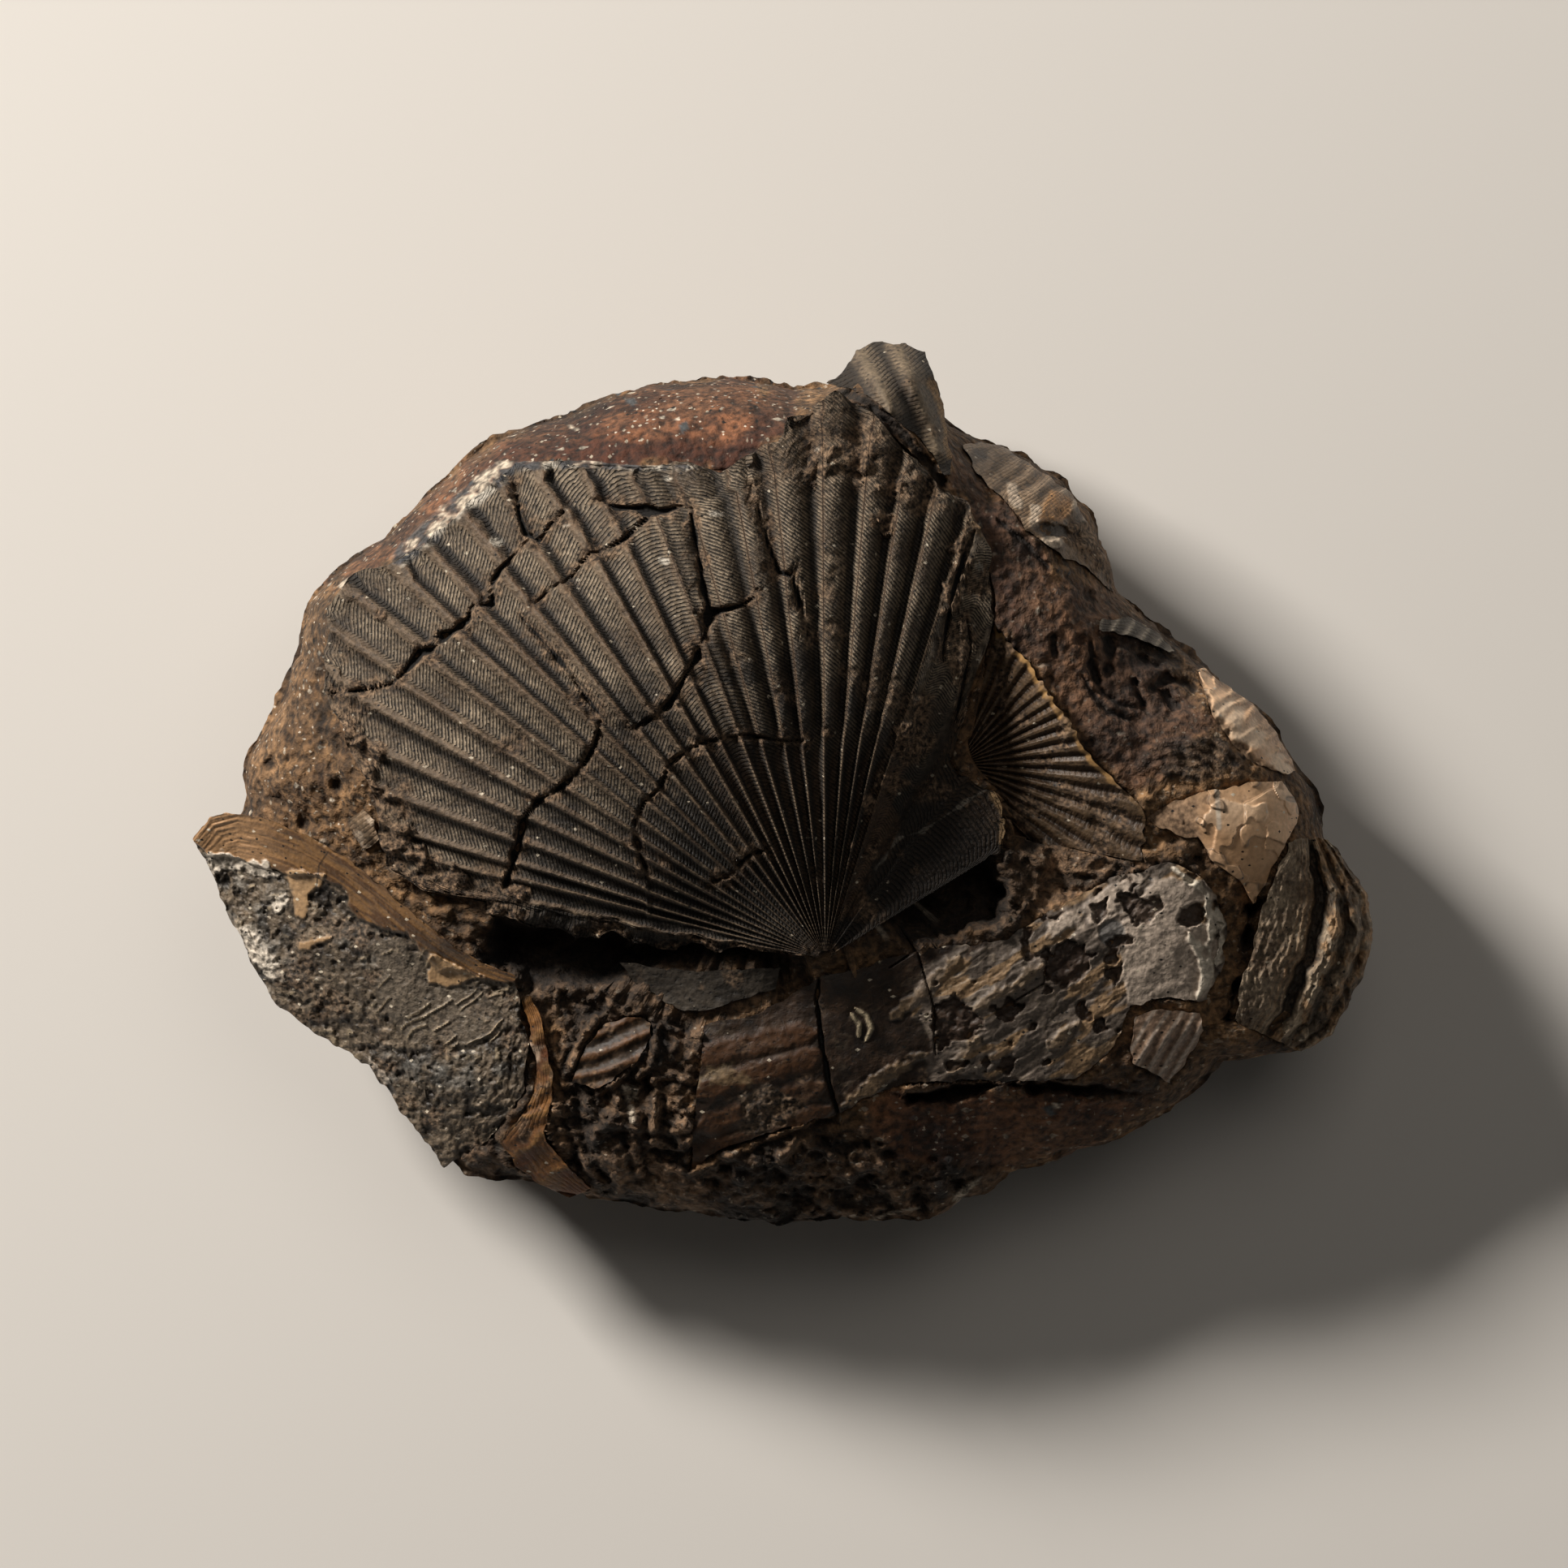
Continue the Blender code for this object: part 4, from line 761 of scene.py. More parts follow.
# Near the beak the valve is drawn darker, towards the lower left and between the crests: dark crust
# and shell there, and painted shade where the valve turns away from the lamp.
low_turn = turn + 3.0 * grain(x, y, 6.0, 3, 57)
shade_and_stain = np.maximum(shade_and_stain, 0.88 * ease(142.0, 162.0, low_turn) * ease(70.0, 44.0, reach))
shade_and_stain = np.maximum(shade_and_stain, 0.9 * ease(54.0, 28.0, reach) * (1 - crest_mask))
blotch = ease(62.0, 46.0, reach) * ease(-0.1, 0.5, grain(x, y, 6.0, 4, 66)) * ribbed
shade_and_stain = np.maximum(shade_and_stain, 0.85 * blotch)
print("worn crests cover", round(100 * float((crest_mask > 0.5).mean())), "percent of the points")

# %% The pale band and the white chips
MARGIN_BAND = [
    (-61.1, 36.4), (-59, 38.7), (-53.3, 43.9), (-47.6, 48.6), (-43.2, 50.8), (-32, 51.1),
    (-24.2, 50.4), (-13.8, 50.4),
]


def pale_band(x, y):
    """White and slate shares of the worn band along the upper left margin."""
    away, where = line_distance(MARGIN_BAND, x, y)
    half = np.interp(where, [0.0, 0.05, 0.4, 0.46, 1.0], [1.4, 2.3, 2.0, 0.7, 0.35])
    band = ease(1.1, 0.75, away / half + 0.25 * grain(x, y, 2.4, 3, 61))
    cloudy = grain(x * 0.8 + y * 0.4, y - 0.5 * x, 1.9, 3, 62)
    return band * ease(-0.35, 0.25, cloudy), band * ease(0.0, -0.5, cloudy) * 0.9


pale, slate = pale_band(x, y)
WHITE_CHIPS = [
    (-46, 38.6, 1), (-19.1, 35.5, 0.9), (-18.6, 48.6, 0.6), (-10.8, 43, 0.9), (5.5, 53.3, 0.5),
    (-34.7, 41.2, 0.4), (-58, 39.8, 0.5), (-15.3, 50.4, 0.5), (31.3, 34.7, 0.7), (32, 36.7, 0.4),
    (27.9, 31.7, 0.4),
]
for left_by, up_by, radius in WHITE_CHIPS:
    across = (x - left_by) + 0.5 * (y - up_by)
    pale = np.maximum(pale, ease(1.2, 0.8, np.hypot(across, 1.7 * (y - up_by)) / radius))
EAR_SEAM = [
    (12.6, -15.5), (15.9, -12), (18.2, -8.7), (22.1, -7.5), (25.5, -5.3), (30.3, -2),
    (33.3, -0.5),
]
seam = line_distance(EAR_SEAM, x, y)[0] + 0.25 * grain(x, y, 1.5, 2, 64)
pale = np.maximum(pale, 0.3 * ease(0.3, 0.1, seam) * ear)
print("white chips", len(WHITE_CHIPS))

# %% Amber, rust and the lit lines of the crests
EAR_RIM = [(33.7, -1.6), (35.5, -4.8), (35.1, -9)]
AMBER_PEBBLE = (31.1, 41.3)
RUST_STREAK = [(18.5, 7.9), (16.9, -3.1), (13.8, -10.9), (9.6, -18.7)]
amber_rim = ease(1.1, 0.4, line_distance(EAR_RIM, x, y)[0])
amber_rim = np.maximum(amber_rim, ease(1.1, 0.8, from_spot(AMBER_PEBBLE, x, y, 0.7)))
away = line_distance(RUST_STREAK, x, y)[0]
rusty = ease(2.6, 0.8, away + 1.6 * grain(x, y, 3.0, 3, 63)) * 0.7
rusty = np.maximum(rusty, 0.5 * trough * umbo * ease(130.0, 112.0, turn))
rust_line = ease(0.05, 0.01, abs(side - 0.02)) * ribbed * ease(152.0, 132.0, turn)
rusty = np.maximum(rusty, 0.7 * rust_line)
# Painted highlight: thin lighter lines along the crests near the beak.
crest_highlight = 0.75 * ease(56.0, 34.0, reach) * ease(0.09, 0.03, abs(side)) * ribbed
crest_highlight = crest_highlight * ease(-0.5, 0.3, grain(x, y, 3.0, 3, 67))
print("rust covers", round(100 * float((rusty > 0.3).mean())), "percent of the points")

# %% The big valve's calcite and mesh
# Old calcite, stained grey-brown by the mud it lay in: dull, with painted shade in its troughs and
# a painted highlight on the crests near the beak.
valve_look = shell_look(
    "grey_brown_calcite", "#9f8f79", "#5c4e3e", worn="#675543", gap="#17110b",
    under=(("ear", "#6b5236"), ("shade_and_stain", "#150f0a")),
    over=(("crest_highlight", "#84735c"), ("rusty", "#634a33"), ("pale", "#cfc7b8"),
          ("slate", "#4d5055"), ("amber_rim", "#a98a62")), depth=0.4, flecks=(0.73, 0.62))
VALVE_THICK = 2.6
main_valve = plate("big_scallop_valve", np.dstack([x, y]), z, VALVE_THICK, 8, valve_look, {
    "growth": growth, "crest": crest_mask, "soil": np.clip(soil, 0, 1), "crack": gap,
    "shade_and_stain": shade_and_stain, "ear": ear, "pale": pale, "slate": slate, "amber_rim": amber_rim,
    "rusty": rusty, "crest_highlight": crest_highlight})
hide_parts("main_scallop_valve")

# %% [markdown]
# ## The small valve
#
# A second, smaller scallop sticks out from under the ear. Its ribs are dark brown with
# paler crests, and only the thick margin has turned to amber calcite.

# %% The small valve
SMALL_BEAK = (27.6, 3.1)
SMALL_RIBS = 17
SMALL_FIRST, SMALL_LAST = 75.0, -45.5     # directions of its two side edges
SMALL_START = [
    (32.2, 20.5), (31.9, 16.4), (30.6, 10.5), (29.8, 7.2), (29.5, 6.2), (29.8, 5.1), (30.3, 4.4),
    (30.6, 3.6), (30.6, 3.1), (30.7, 2.7), (31.1, 2.5), (31.7, 1.8), (33, 0.3), (33.7, -0.4),
    (34.7, -2), (36, -4.4), (36.4, -5.9),
]
SMALL_MARGIN = [
    (33.3, 25.7), (35.6, 22.9), (38.9, 19.6), (41.5, 15.1), (44.7, 11.2), (47.3, 6.6),
    (49.9, 3.4), (53.2, 0.1), (56.4, -2.5), (57.5, -5.7), (57.1, -12.2), (46.8, -10.4),
    (39.6, -9), (36.9, -8.1),
]
SMALL_SPOTS = [
    (29.1, 4.7, 50.5), (35.6, -6, 47), (34.1, 23.5, 55), (36.9, 15.1, 53.5), (43.4, 2.1, 51.5),
    (38.9, 19.6, 56.5), (47.3, 6.6, 56), (56.4, -2.5, 52.5), (57.1, -12.2, 49.5), (46, -9.6, 48),
    (42.1, 12.5, 56.5), (36.9, 2.1, 49.5),
]


def seen_from(beak, line):
    """Directions in degrees, rising, and distances of a line's points from a beak."""
    away = np.array(line) - np.array(beak)
    angle = np.degrees(np.arctan2(away[:, 1], away[:, 0]))
    by_angle = np.argsort(angle)
    return angle[by_angle], np.hypot(away[:, 0], away[:, 1])[by_angle]


small_face = survey(SMALL_SPOTS)
turn = np.linspace(SMALL_FIRST, SMALL_LAST, 272)[:, None] + np.zeros((1, 84))
share = np.linspace(0.0, 1.0, 84)[None, :]
start = np.interp(turn, *seen_from(SMALL_BEAK, SMALL_START)) - 1.0
end = np.interp(turn, *seen_from(SMALL_BEAK, SMALL_MARGIN)) + 0.5 * lumps(turn, 0 * turn, 2.2, 5)
reach = start + (end - start) * share
x = SMALL_BEAK[0] + reach * np.cos(np.radians(turn))
y = SMALL_BEAK[1] + reach * np.sin(np.radians(turn))
phase = (SMALL_FIRST - turn) / (SMALL_FIRST - SMALL_LAST) * SMALL_RIBS
phase = phase - 0.5 + 0.12 * lumps(x, y, 7.0, 4)
away = abs(phase - np.round(phase))
crest_of = (1.0 - np.clip((away - 0.14) / 0.36, 0.0, 1.0)) ** 1.1
broken = ease(0.1, 0.6, grain(x, y, 5.0, 3, 7)) * ease(-8.0, -24.0, turn)
inner_rim = end - reach + 0.5 * grain(x, y, 2.0, 3, 6)
edge = ease(1.2, 0.5, inner_rim) * ease(-22.0, 0.0, turn)
soil = ease(0.35, 0.8, grain(x, y, 3.2, 3, 8)) * 0.8 + broken * 0.6
z = small_face(x, y) + 0.75 * crest_of * (1 - 0.5 * edge) + 0.35 * edge - 0.5 * broken
z = z + 0.1 * grain(x, y, 2.0, 3, 9) + 0.4 * np.clip(soil, 0, 1) * grain(x, y, 1.0, 2, 12)
print("ribs of the small valve", SMALL_RIBS)

# %% Its calcite and mesh
# Calcite that took up iron turns amber and clears, so it shines more than the grey.
amber_look = shell_look(
    "amber_calcite", "#5f4a34", "#3b2a1b", worn="#64503a", gap="#21170f",
    under=(("shade_and_stain", "#1f160e"),), over=(("edge", "#a98556"),),
    lamella=0.9, depth=0.2, rough=0.42, lines=0.35)
small_valve = plate("small_amber_valve", np.dstack([x, y]), z, 2.4, 8, amber_look, {
    "growth": reach, "crest": ease(0.45, 0.9, crest_of), "soil": np.clip(soil, 0, 1),
    # Painted shade: the troughs between the ribs are drawn dark, except at the amber edge.
    "shade_and_stain": ease(0.3, 0.05, crest_of) * 0.65 * (1 - edge), "crack": UNBROKEN + 0 * x,
    "edge": edge * 0.9 * (1 - 0.7 * ease(0.2, 0.7, grain(x, y, 3.0, 3, 10))), "waxy": edge})
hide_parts("small_scallop_valve")
covers.append((SMALL_START + SMALL_MARGIN[::-1], small_face, 1.6))

# %% [markdown]
# ## Broken plates
#
# The other shells are pieces. Each one lies between two broken edges, so `broken_plate` lays
# a grid out between those lines, asks for the relief and the marks, and notes where the stone
# must stay below it. `streaks` marks bands along lines, for ribs, fibres and flaked layers.

# %% Helpers for the broken plates
SKIN = 1.4     # mm from a plate's face down to the stone under it


def streaks(lines, half, x, y, ragged=0.4, seed=2):
    """1 on any of the lines and 0 beyond their half width, with ragged edges."""
    best = np.zeros(x.shape)
    for line in lines:
        away, where = line_distance(line, x, y)
        taper = np.clip(np.minimum(where, 1 - where) * 8 + 0.35, 0, 1)
        away = away / taper + ragged * grain(x, y, 1.6, 2, seed)
        best = np.maximum(best, ease(half, 0.35 * half, away))
    return best


def slanted(x, y, degrees):
    """Distance across a set of parallel lines that rise at the given angle."""
    turn = np.radians(degrees)
    return y * np.cos(turn) - x * np.sin(turn)


def lifted(by):
    """The stone's face, raised by some height."""
    return lambda x, y: stone_top(x, y) + by


def broken_plate(name, stands_for, near, far, wide, deep, surface, thick, look, dress):
    """A shell between two edge lines; dress gives its relief and its marks."""
    grid, u, v = between(near, far, wide, deep, seed=len(covers) + 3)
    x, y = grid[..., 0], grid[..., 1]
    rise, marks = dress(x, y, u, v)
    facts = {"growth": y, "crack": UNBROKEN + 0 * x}
    facts.update({key: np.clip(value + 0 * x, -9, 200) for key, value in marks.items()})
    made = plate(name, grid, surface(x, y) + rise, thick, 6, look, facts)
    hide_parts(stands_for)
    covers.append((near + far[::-1], surface, SKIN))


print("the stone stays", SKIN, "mm under the face of a plate")

# %% [markdown]
# ## The oyster at the left
#
# Three layers show. A smooth amber band runs along the upper edge, with fibres along its
# length. Below it the grey face is granular, with flakes of white and tan left on it, and
# the pearly part is crinkled in short slanting ridges.

# %% The oyster at the left
OYSTER_NEAR = [
    (-95.2, -8.7), (-92.4, -5.5), (-87.9, -4.5), (-82.7, -5.7), (-76.2, -8.3), (-69.7, -12.2),
    (-63.2, -17.4), (-58, -22), (-54.1, -25.2), (-48.9, -28.6), (-43.2, -30.9),
]
OYSTER_FAR = [
    (-94.2, -10.7), (-91.1, -17.4), (-87.9, -24.6), (-85, -29.9), (-82, -35.4), (-77.5, -39),
    (-72.9, -42.1), (-67.1, -45.4), (-63.4, -50.2), (-59.9, -55.1), (-54.7, -61.8),
    (-46.8, -56.4), (-41.7, -49.3), (-41.1, -42.8), (-42.6, -34.6),
]
OYSTER_SPOTS = [
    (-94.9, -9.6, 33), (-87.9, -4.8, 38.5), (-76.2, -8.3, 44.5), (-63.2, -17.4, 49),
    (-54.1, -25.2, 49.5), (-43.2, -30.7, 49), (-88.9, -12.2, 33), (-77.5, -14.8, 40),
    (-68.4, -20, 43), (-54.7, -28.7, 45), (-86.6, -21.3, 31), (-73.6, -25.2, 38),
    (-60.6, -34.3, 40.5), (-47.6, -38.2, 43.5), (-41.3, -43.4, 44), (-82.7, -33, 28.5),
    (-69.7, -42.1, 30), (-58, -43.4, 37), (-48.9, -48.6, 39), (-60.6, -53.8, 29.5),
    (-52.8, -60.6, 29), (-46.8, -56.4, 33.5), (-41.7, -49.3, 41),
]
AMBER_BAND = [
    (-95.7, -9.1), (-94.4, -6.5), (-92, -4.9), (-87.9, -3.9), (-82.7, -5.1), (-76.2, -7.7),
    (-69.7, -11.7), (-63.2, -16.9), (-58, -21.4), (-54.1, -24.7), (-47.6, -28.9), (-42.4, -30.4),
    (-43.2, -32), (-47.6, -31.2), (-52.8, -29.9), (-56.2, -29.9), (-60.6, -23.9), (-64.5, -23.4),
    (-68.4, -21.6), (-70.5, -17.2), (-74.6, -14.6), (-80.5, -14.8), (-84.2, -13), (-89.2, -11.7),
    (-92.3, -11.7),
]
TAN_FLAKES = (
    [
        (-81, -13.5), (-73.8, -14.6), (-74.6, -16.4), (-76.4, -17.9), (-77.2, -21.7),
        (-78.5, -21.3), (-79, -16.9),
    ],
    [(-56.7, -27.3), (-52.8, -28.3), (-47.6, -31.2), (-52.8, -32.5), (-57.5, -32.2)],
    [(-78.3, -25.2), (-73.6, -24.2), (-72.3, -25), (-76.2, -26.8), (-78.5, -27)],
)
WHITE_FLAKES = (
    [
        (-93.1, -11.4), (-91.5, -10.9), (-83.7, -12.5), (-81.4, -14.3), (-83.2, -15.3),
        (-87.9, -13.8), (-91.5, -14.6), (-91.5, -16.9), (-92.8, -14.8),
    ],
    [
        (-88.4, -22.6), (-86.6, -23.9), (-84.2, -26.3), (-80.1, -29.9), (-79.8, -32.5),
        (-82.7, -31.2), (-86.6, -27.3),
    ],
    [(-82.7, -19), (-80.3, -17.9), (-79.8, -19.2), (-81.9, -20.8)],
    [(-66.8, -43.9), (-64.7, -45.8), (-62.9, -48.6), (-64.2, -48.1), (-66.3, -45.8)],
)
# Bluish bloom on the grey face.
HAZE = (
    [
        (-72.8, -23.4), (-68.4, -22.6), (-61.9, -25.2), (-60.6, -29.9), (-64.5, -30.4),
        (-71, -27.8),
    ],
    [(-91.5, -12.5), (-81.4, -14.3), (-80.1, -18.7), (-86.6, -20), (-91, -17.4)],
    [(-87.9, -22.6), (-79.8, -23.9), (-78, -30.4), (-81.4, -33.8), (-86.6, -29.1)],
    [(-64.5, -42.1), (-47.6, -42.9), (-42.4, -47.3), (-52.8, -49.9), (-63.2, -47.3)],
)
NACRE_AREA = [
    (-65, -25.2), (-60.6, -24.7), (-55.4, -29.9), (-49.4, -33.3), (-44.5, -35.6), (-42.4, -38.5),
    (-44.2, -40.8), (-50.2, -42.1), (-58, -41.9), (-63.4, -38.5), (-66, -32.2),
]

# A low step across the pearly part, and the split in the amber band.
OYSTER_STEP = [(-67.2, -42.6), (-58.4, -43.3), (-50.1, -42.4), (-43.9, -39.5)]
AMBER_SPLIT = [(-73.1, -10.9), (-74.6, -13), (-75.1, -16.4)]
print("flakes", len(TAN_FLAKES), "tan and", len(WHITE_FLAKES), "white")


# %% The oyster's relief and marks
def dress_oyster(x, y, u, v):
    band = rim_distance(AMBER_BAND, x, y) + 0.4 * grain(x, y, 2.2, 3, 2)
    amber = ease(-0.1, 0.25, band)
    tan = flakes(TAN_FLAKES, x, y, 0.3, 0.5, 2.0, 0)
    white = flakes(WHITE_FLAKES, x, y, 0.3, 0.7, 1.8, 20)
    nacre = patch(NACRE_AREA, x, y, 1.2, 1.5, 8)
    crossing = slanted(x, y, 36.0) + 0.7 * lumps(x, y, 3.0, 4)
    blades = (crossing / 1.35) % 1.0
    kept = ease(0.0, 0.35, lumps(slanted(x, y, -54.0) / 2.6, crossing / 1.35 - blades, 1.0, 14))
    ridges = ease(0.65, 0.88, blades) * ease(1.0, 0.94, blades) * kept * nacre
    step = ease(0.8, 0.1, line_distance(OYSTER_STEP, x, y)[0])
    rough = (1 - amber) * (1 - 0.7 * nacre) * (1 - 0.8 * tan)
    pits = ease(0.45, 0.9, grain(x, y, 2.2, 3, 41)) * rough
    crumbs = ease(0.75, 1.1, grain(x, y, 2.0, 3, 55)) * rough
    from_top, where = line_distance(OYSTER_NEAR, x, y)
    fibre = 1.6 * from_top + 0.3 * lumps(x * 0.3, y * 0.3, 1.0, 9)
    threads = grain(from_top + 1.5 * where, where * 5.0, 0.45, 2, 18)
    darker = np.interp(where, [0.0, 0.15, 0.3, 0.6, 1.0], [0.15, 0.45, 0.9, 1.0, 0.9])
    streaky = amber * ease(-0.2, 0.4, threads) * darker
    rise = 1.2 * amber + 0.5 * tan + 0.4 * white + 0.45 * ridges - 0.35 * step
    rise = rise + rough * (0.12 * grain(x, y, 2.2, 4, 31) + 0.3 * grain(x, y, 0.7, 2, 37))
    rise = rise + 0.12 * amber * threads
    rise = rise - 0.5 * pits + 0.35 * crumbs
    split = line_distance(AMBER_SPLIT, x, y)[0]
    tip = amber * ease(-78.0, -90.0, x) * 0.7
    rim = rim_distance(OYSTER_NEAR + OYSTER_FAR[::-1], x, y) + grain(x, y, 3.0, 3, 57)
    outer = ease(5.0, 1.0, rim) * (1 - amber) * ease(0.35, 0.2, u)
    white = np.maximum(white, outer * ease(0.1, 0.55, grain(x, y, 3.0, 4, 58)))
    haze = 0.55 * rough * patches(HAZE, x, y, 3.0, 2.5, 44)
    haze = haze * ease(-0.5, 0.5, grain(x, y, 2.4, 4, 49))
    # The hollow share is painted shade: dark in the pits and along the low step.
    return rise, {
        "growth": fibre, "haze": haze, "smooth": 1.0, "waxy": np.maximum(0.7 * amber, 0.8 * tan),
        "crack": split - 0.12, "amber": amber, "streaky": streaky, "tip": tip, "tan": tan,
        "white": white, "nacre": nacre * 0.85, "ridges": ridges, "crumbs": crumbs * 0.7,
        "soil": 0.6 * rough * ease(0.2, 0.8, grain(x, y, 6.0, 3, 51)),
        "hollow": np.maximum(pits * 0.9, 0.7 * step)}


# Oyster calcite is built of coarse leaves, so its worn face is granular and glints a little.
oyster_look = shell_look(
    "speckled_grey_calcite", "#8a7a66", "#1f1811", worn="#6d6253", gap="#5c4430",
    under=(("amber", "#7c5c39"), ("streaky", "#533a24")),
    over=(("haze", "#84827c"), ("nacre", "#73685a"), ("hollow", "#1f170f"),
          ("ridges", "#b3a083"), ("tan", "#a98a66"), ("crumbs", "#a8977c"), ("tip", "#c29a72"),
          ("white", "#d8cdbd")),
    lamella=0.62, depth=0.34, rough=0.42, mottle=300.0, lines=0.5, flecks=(0.56, 0.50))
broken_plate("left_oyster_face", "left_oyster_shell", OYSTER_NEAR, OYSTER_FAR, 300, 170,
             survey(OYSTER_SPOTS), 2.4, oyster_look, dress_oyster)

# %% [markdown]
# ## The lower valve
#
# Under the big valve lies the inside of another scallop. Its left end is brown and fibrous,
# with amber ribs; a crack parts it from a darker plate; to the right the pearly lining is
# left in grey and white sheets with holes where brown stone shows.

# %% Outlines and marks of the lower valve
LOWER_NEAR = [
    (-12.7, -38.5), (-4, -36.9), (5.1, -31.3), (12.2, -29.4), (17.4, -27.8), (23.9, -26.5),
    (35.6, -25), (42.1, -20.8), (48.1, -17.4), (52.8, -15.1), (57.7, -14), (62.1, -12.7),
    (66.6, -14.6), (69.4, -17.9), (71, -22.1),
]
LOWER_FAR = [
    (-15.3, -62.4), (-12.5, -59.7), (-4.7, -56.7), (3.1, -54.5), (9, -52.8), (12.2, -50.6),
    (17.4, -48.4), (27.8, -47.6), (38.2, -47.6), (47.3, -47.3), (53.3, -41.9), (55.4, -35.4),
    (61.6, -34.6), (67.9, -34.6), (70.5, -29.1),
]
AMBER_RIBS = [
    [(-14, -44.2), (-8.6, -42.4), (-2.1, -41.1), (4.9, -39.8)],
    [(-14.3, -49.9), (-8.6, -47.8), (-0.8, -45.5), (6, -43.2)],
    [(-13.8, -55.4), (-7.3, -53.3), (-0.8, -51.2), (6.2, -48.4)],
    [(-16.1, -61.1), (-11.2, -59), (-2.1, -55.9), (7.3, -52.3)],
]
STUMPS = [
    [(9.4, -51.7), (13.5, -48.9), (17.4, -46.3), (22.9, -43.4)],
    [(17.3, -37.7), (21.3, -33.8), (28.1, -27.7)], [(30.2, -36.5), (35.6, -33), (41.5, -29.1)],
    [(26.4, -46.3), (29.1, -43.4), (31.2, -40.8)], [(42.5, -42.4), (47.3, -38.2)],
]
CRESCENTS = [
    [(11.4, -35.9), (13.3, -37.2), (14, -39.3), (13, -41.3)],
    [(10.7, -36.7), (12, -38.5), (12, -40.6)], [(13.8, -25), (15.3, -26.3), (15.3, -28.6)],
]
HOLES = (
    [
        (23.8, -35.1), (27.3, -33.8), (30.4, -35.6), (31.7, -38.5), (30.4, -41.6), (25.2, -42.1),
        (23.4, -38.7),
    ],
    [(33.5, -35.9), (36.1, -34.6), (38.2, -35.6), (36.9, -38.2), (34.1, -38.2)],
    [
        (41.2, -27.8), (43.4, -25), (46, -25.2), (49.7, -27.3), (48.6, -30.9), (45.5, -32.5),
        (41.9, -31.2),
    ],
    [(53.3, -17.9), (56.4, -17.2), (60.3, -18.7), (59.8, -22.1), (56.4, -22.6), (54.3, -20.5)],
    [(49.1, -19.5), (51.5, -18.5), (52.5, -21.1), (50.2, -22.1)],
    [(63.7, -20), (65.5, -19.2), (67.3, -20.5), (67.1, -22.6), (65, -23.4), (63.4, -22.1)],
    [(52, -29.9), (53.8, -29.1), (54.3, -32.2), (52.8, -33.3)],
    [(54.6, -21.6), (55.4, -25.2), (53.3, -28.6), (51.5, -28.1), (52.5, -25.2)],
    [(49.4, -37.4), (51.5, -36.9), (52, -39.3), (49.9, -39.5)],
)
NACRE_SHEET = [
    (23.9, -28.3), (35.6, -23.9), (42.1, -19), (56.4, -12.2), (69.4, -12.2), (72, -27.8),
    (70.7, -35.6), (66.8, -40.8), (55.1, -43.4), (47.3, -48), (27.8, -48), (22.6, -44.7),
    (21.3, -35.6),
]
SMOOTH_SHEET = (
    [
        (54.6, -23.9), (55.9, -19), (61.6, -16.1), (66.8, -17.4), (69.4, -26.5), (68.9, -32.4),
        (65.5, -35.1), (56.4, -35.6), (53.3, -33),
    ],
    [(42.9, -22.1), (48.6, -19), (56.4, -15.3), (55.4, -17.9), (48.6, -22.6), (43.4, -24.2)],
)
CREAM_EDGE = [
    [(62.4, -13.5), (65.3, -15.3), (67.6, -18.2), (68.8, -23.9), (68.1, -29.9), (66.3, -34.8)],
    [(65, -23.9), (66.8, -27.8), (68.1, -30.7), (67.1, -33.3)],
    [(69.4, -20), (70.2, -25.2), (69.4, -29.1)],
]

# The crack between the brown and the dark plate, and two hair-fine ones.
PLATE_CRACK = [(5.6, -31.1), (5.3, -34.6), (6.2, -42.1), (7.2, -48), (8.7, -53)]
HAIR_CRACKS = (
    [(16.9, -29.4), (21.3, -26.5), (23.9, -35.6), (24.2, -43.4)],
    [(42.1, -27.8), (41.6, -32), (35.6, -35.6)],
)
ERODED_AREA = [(-6.8, -49.9), (-2.1, -48.5), (1.3, -50.7), (0.5, -54.6), (-6, -56.2)]
PALE_STREAK = [(-13.5, -47.3), (-8.6, -46.5), (-6.5, -47.1), (-9.1, -48.1), (-13, -48.9)]
GREY_DISC = (52.6, -23.9)
print("amber ribs", len(AMBER_RIBS), "holes in the lining", len(HOLES))


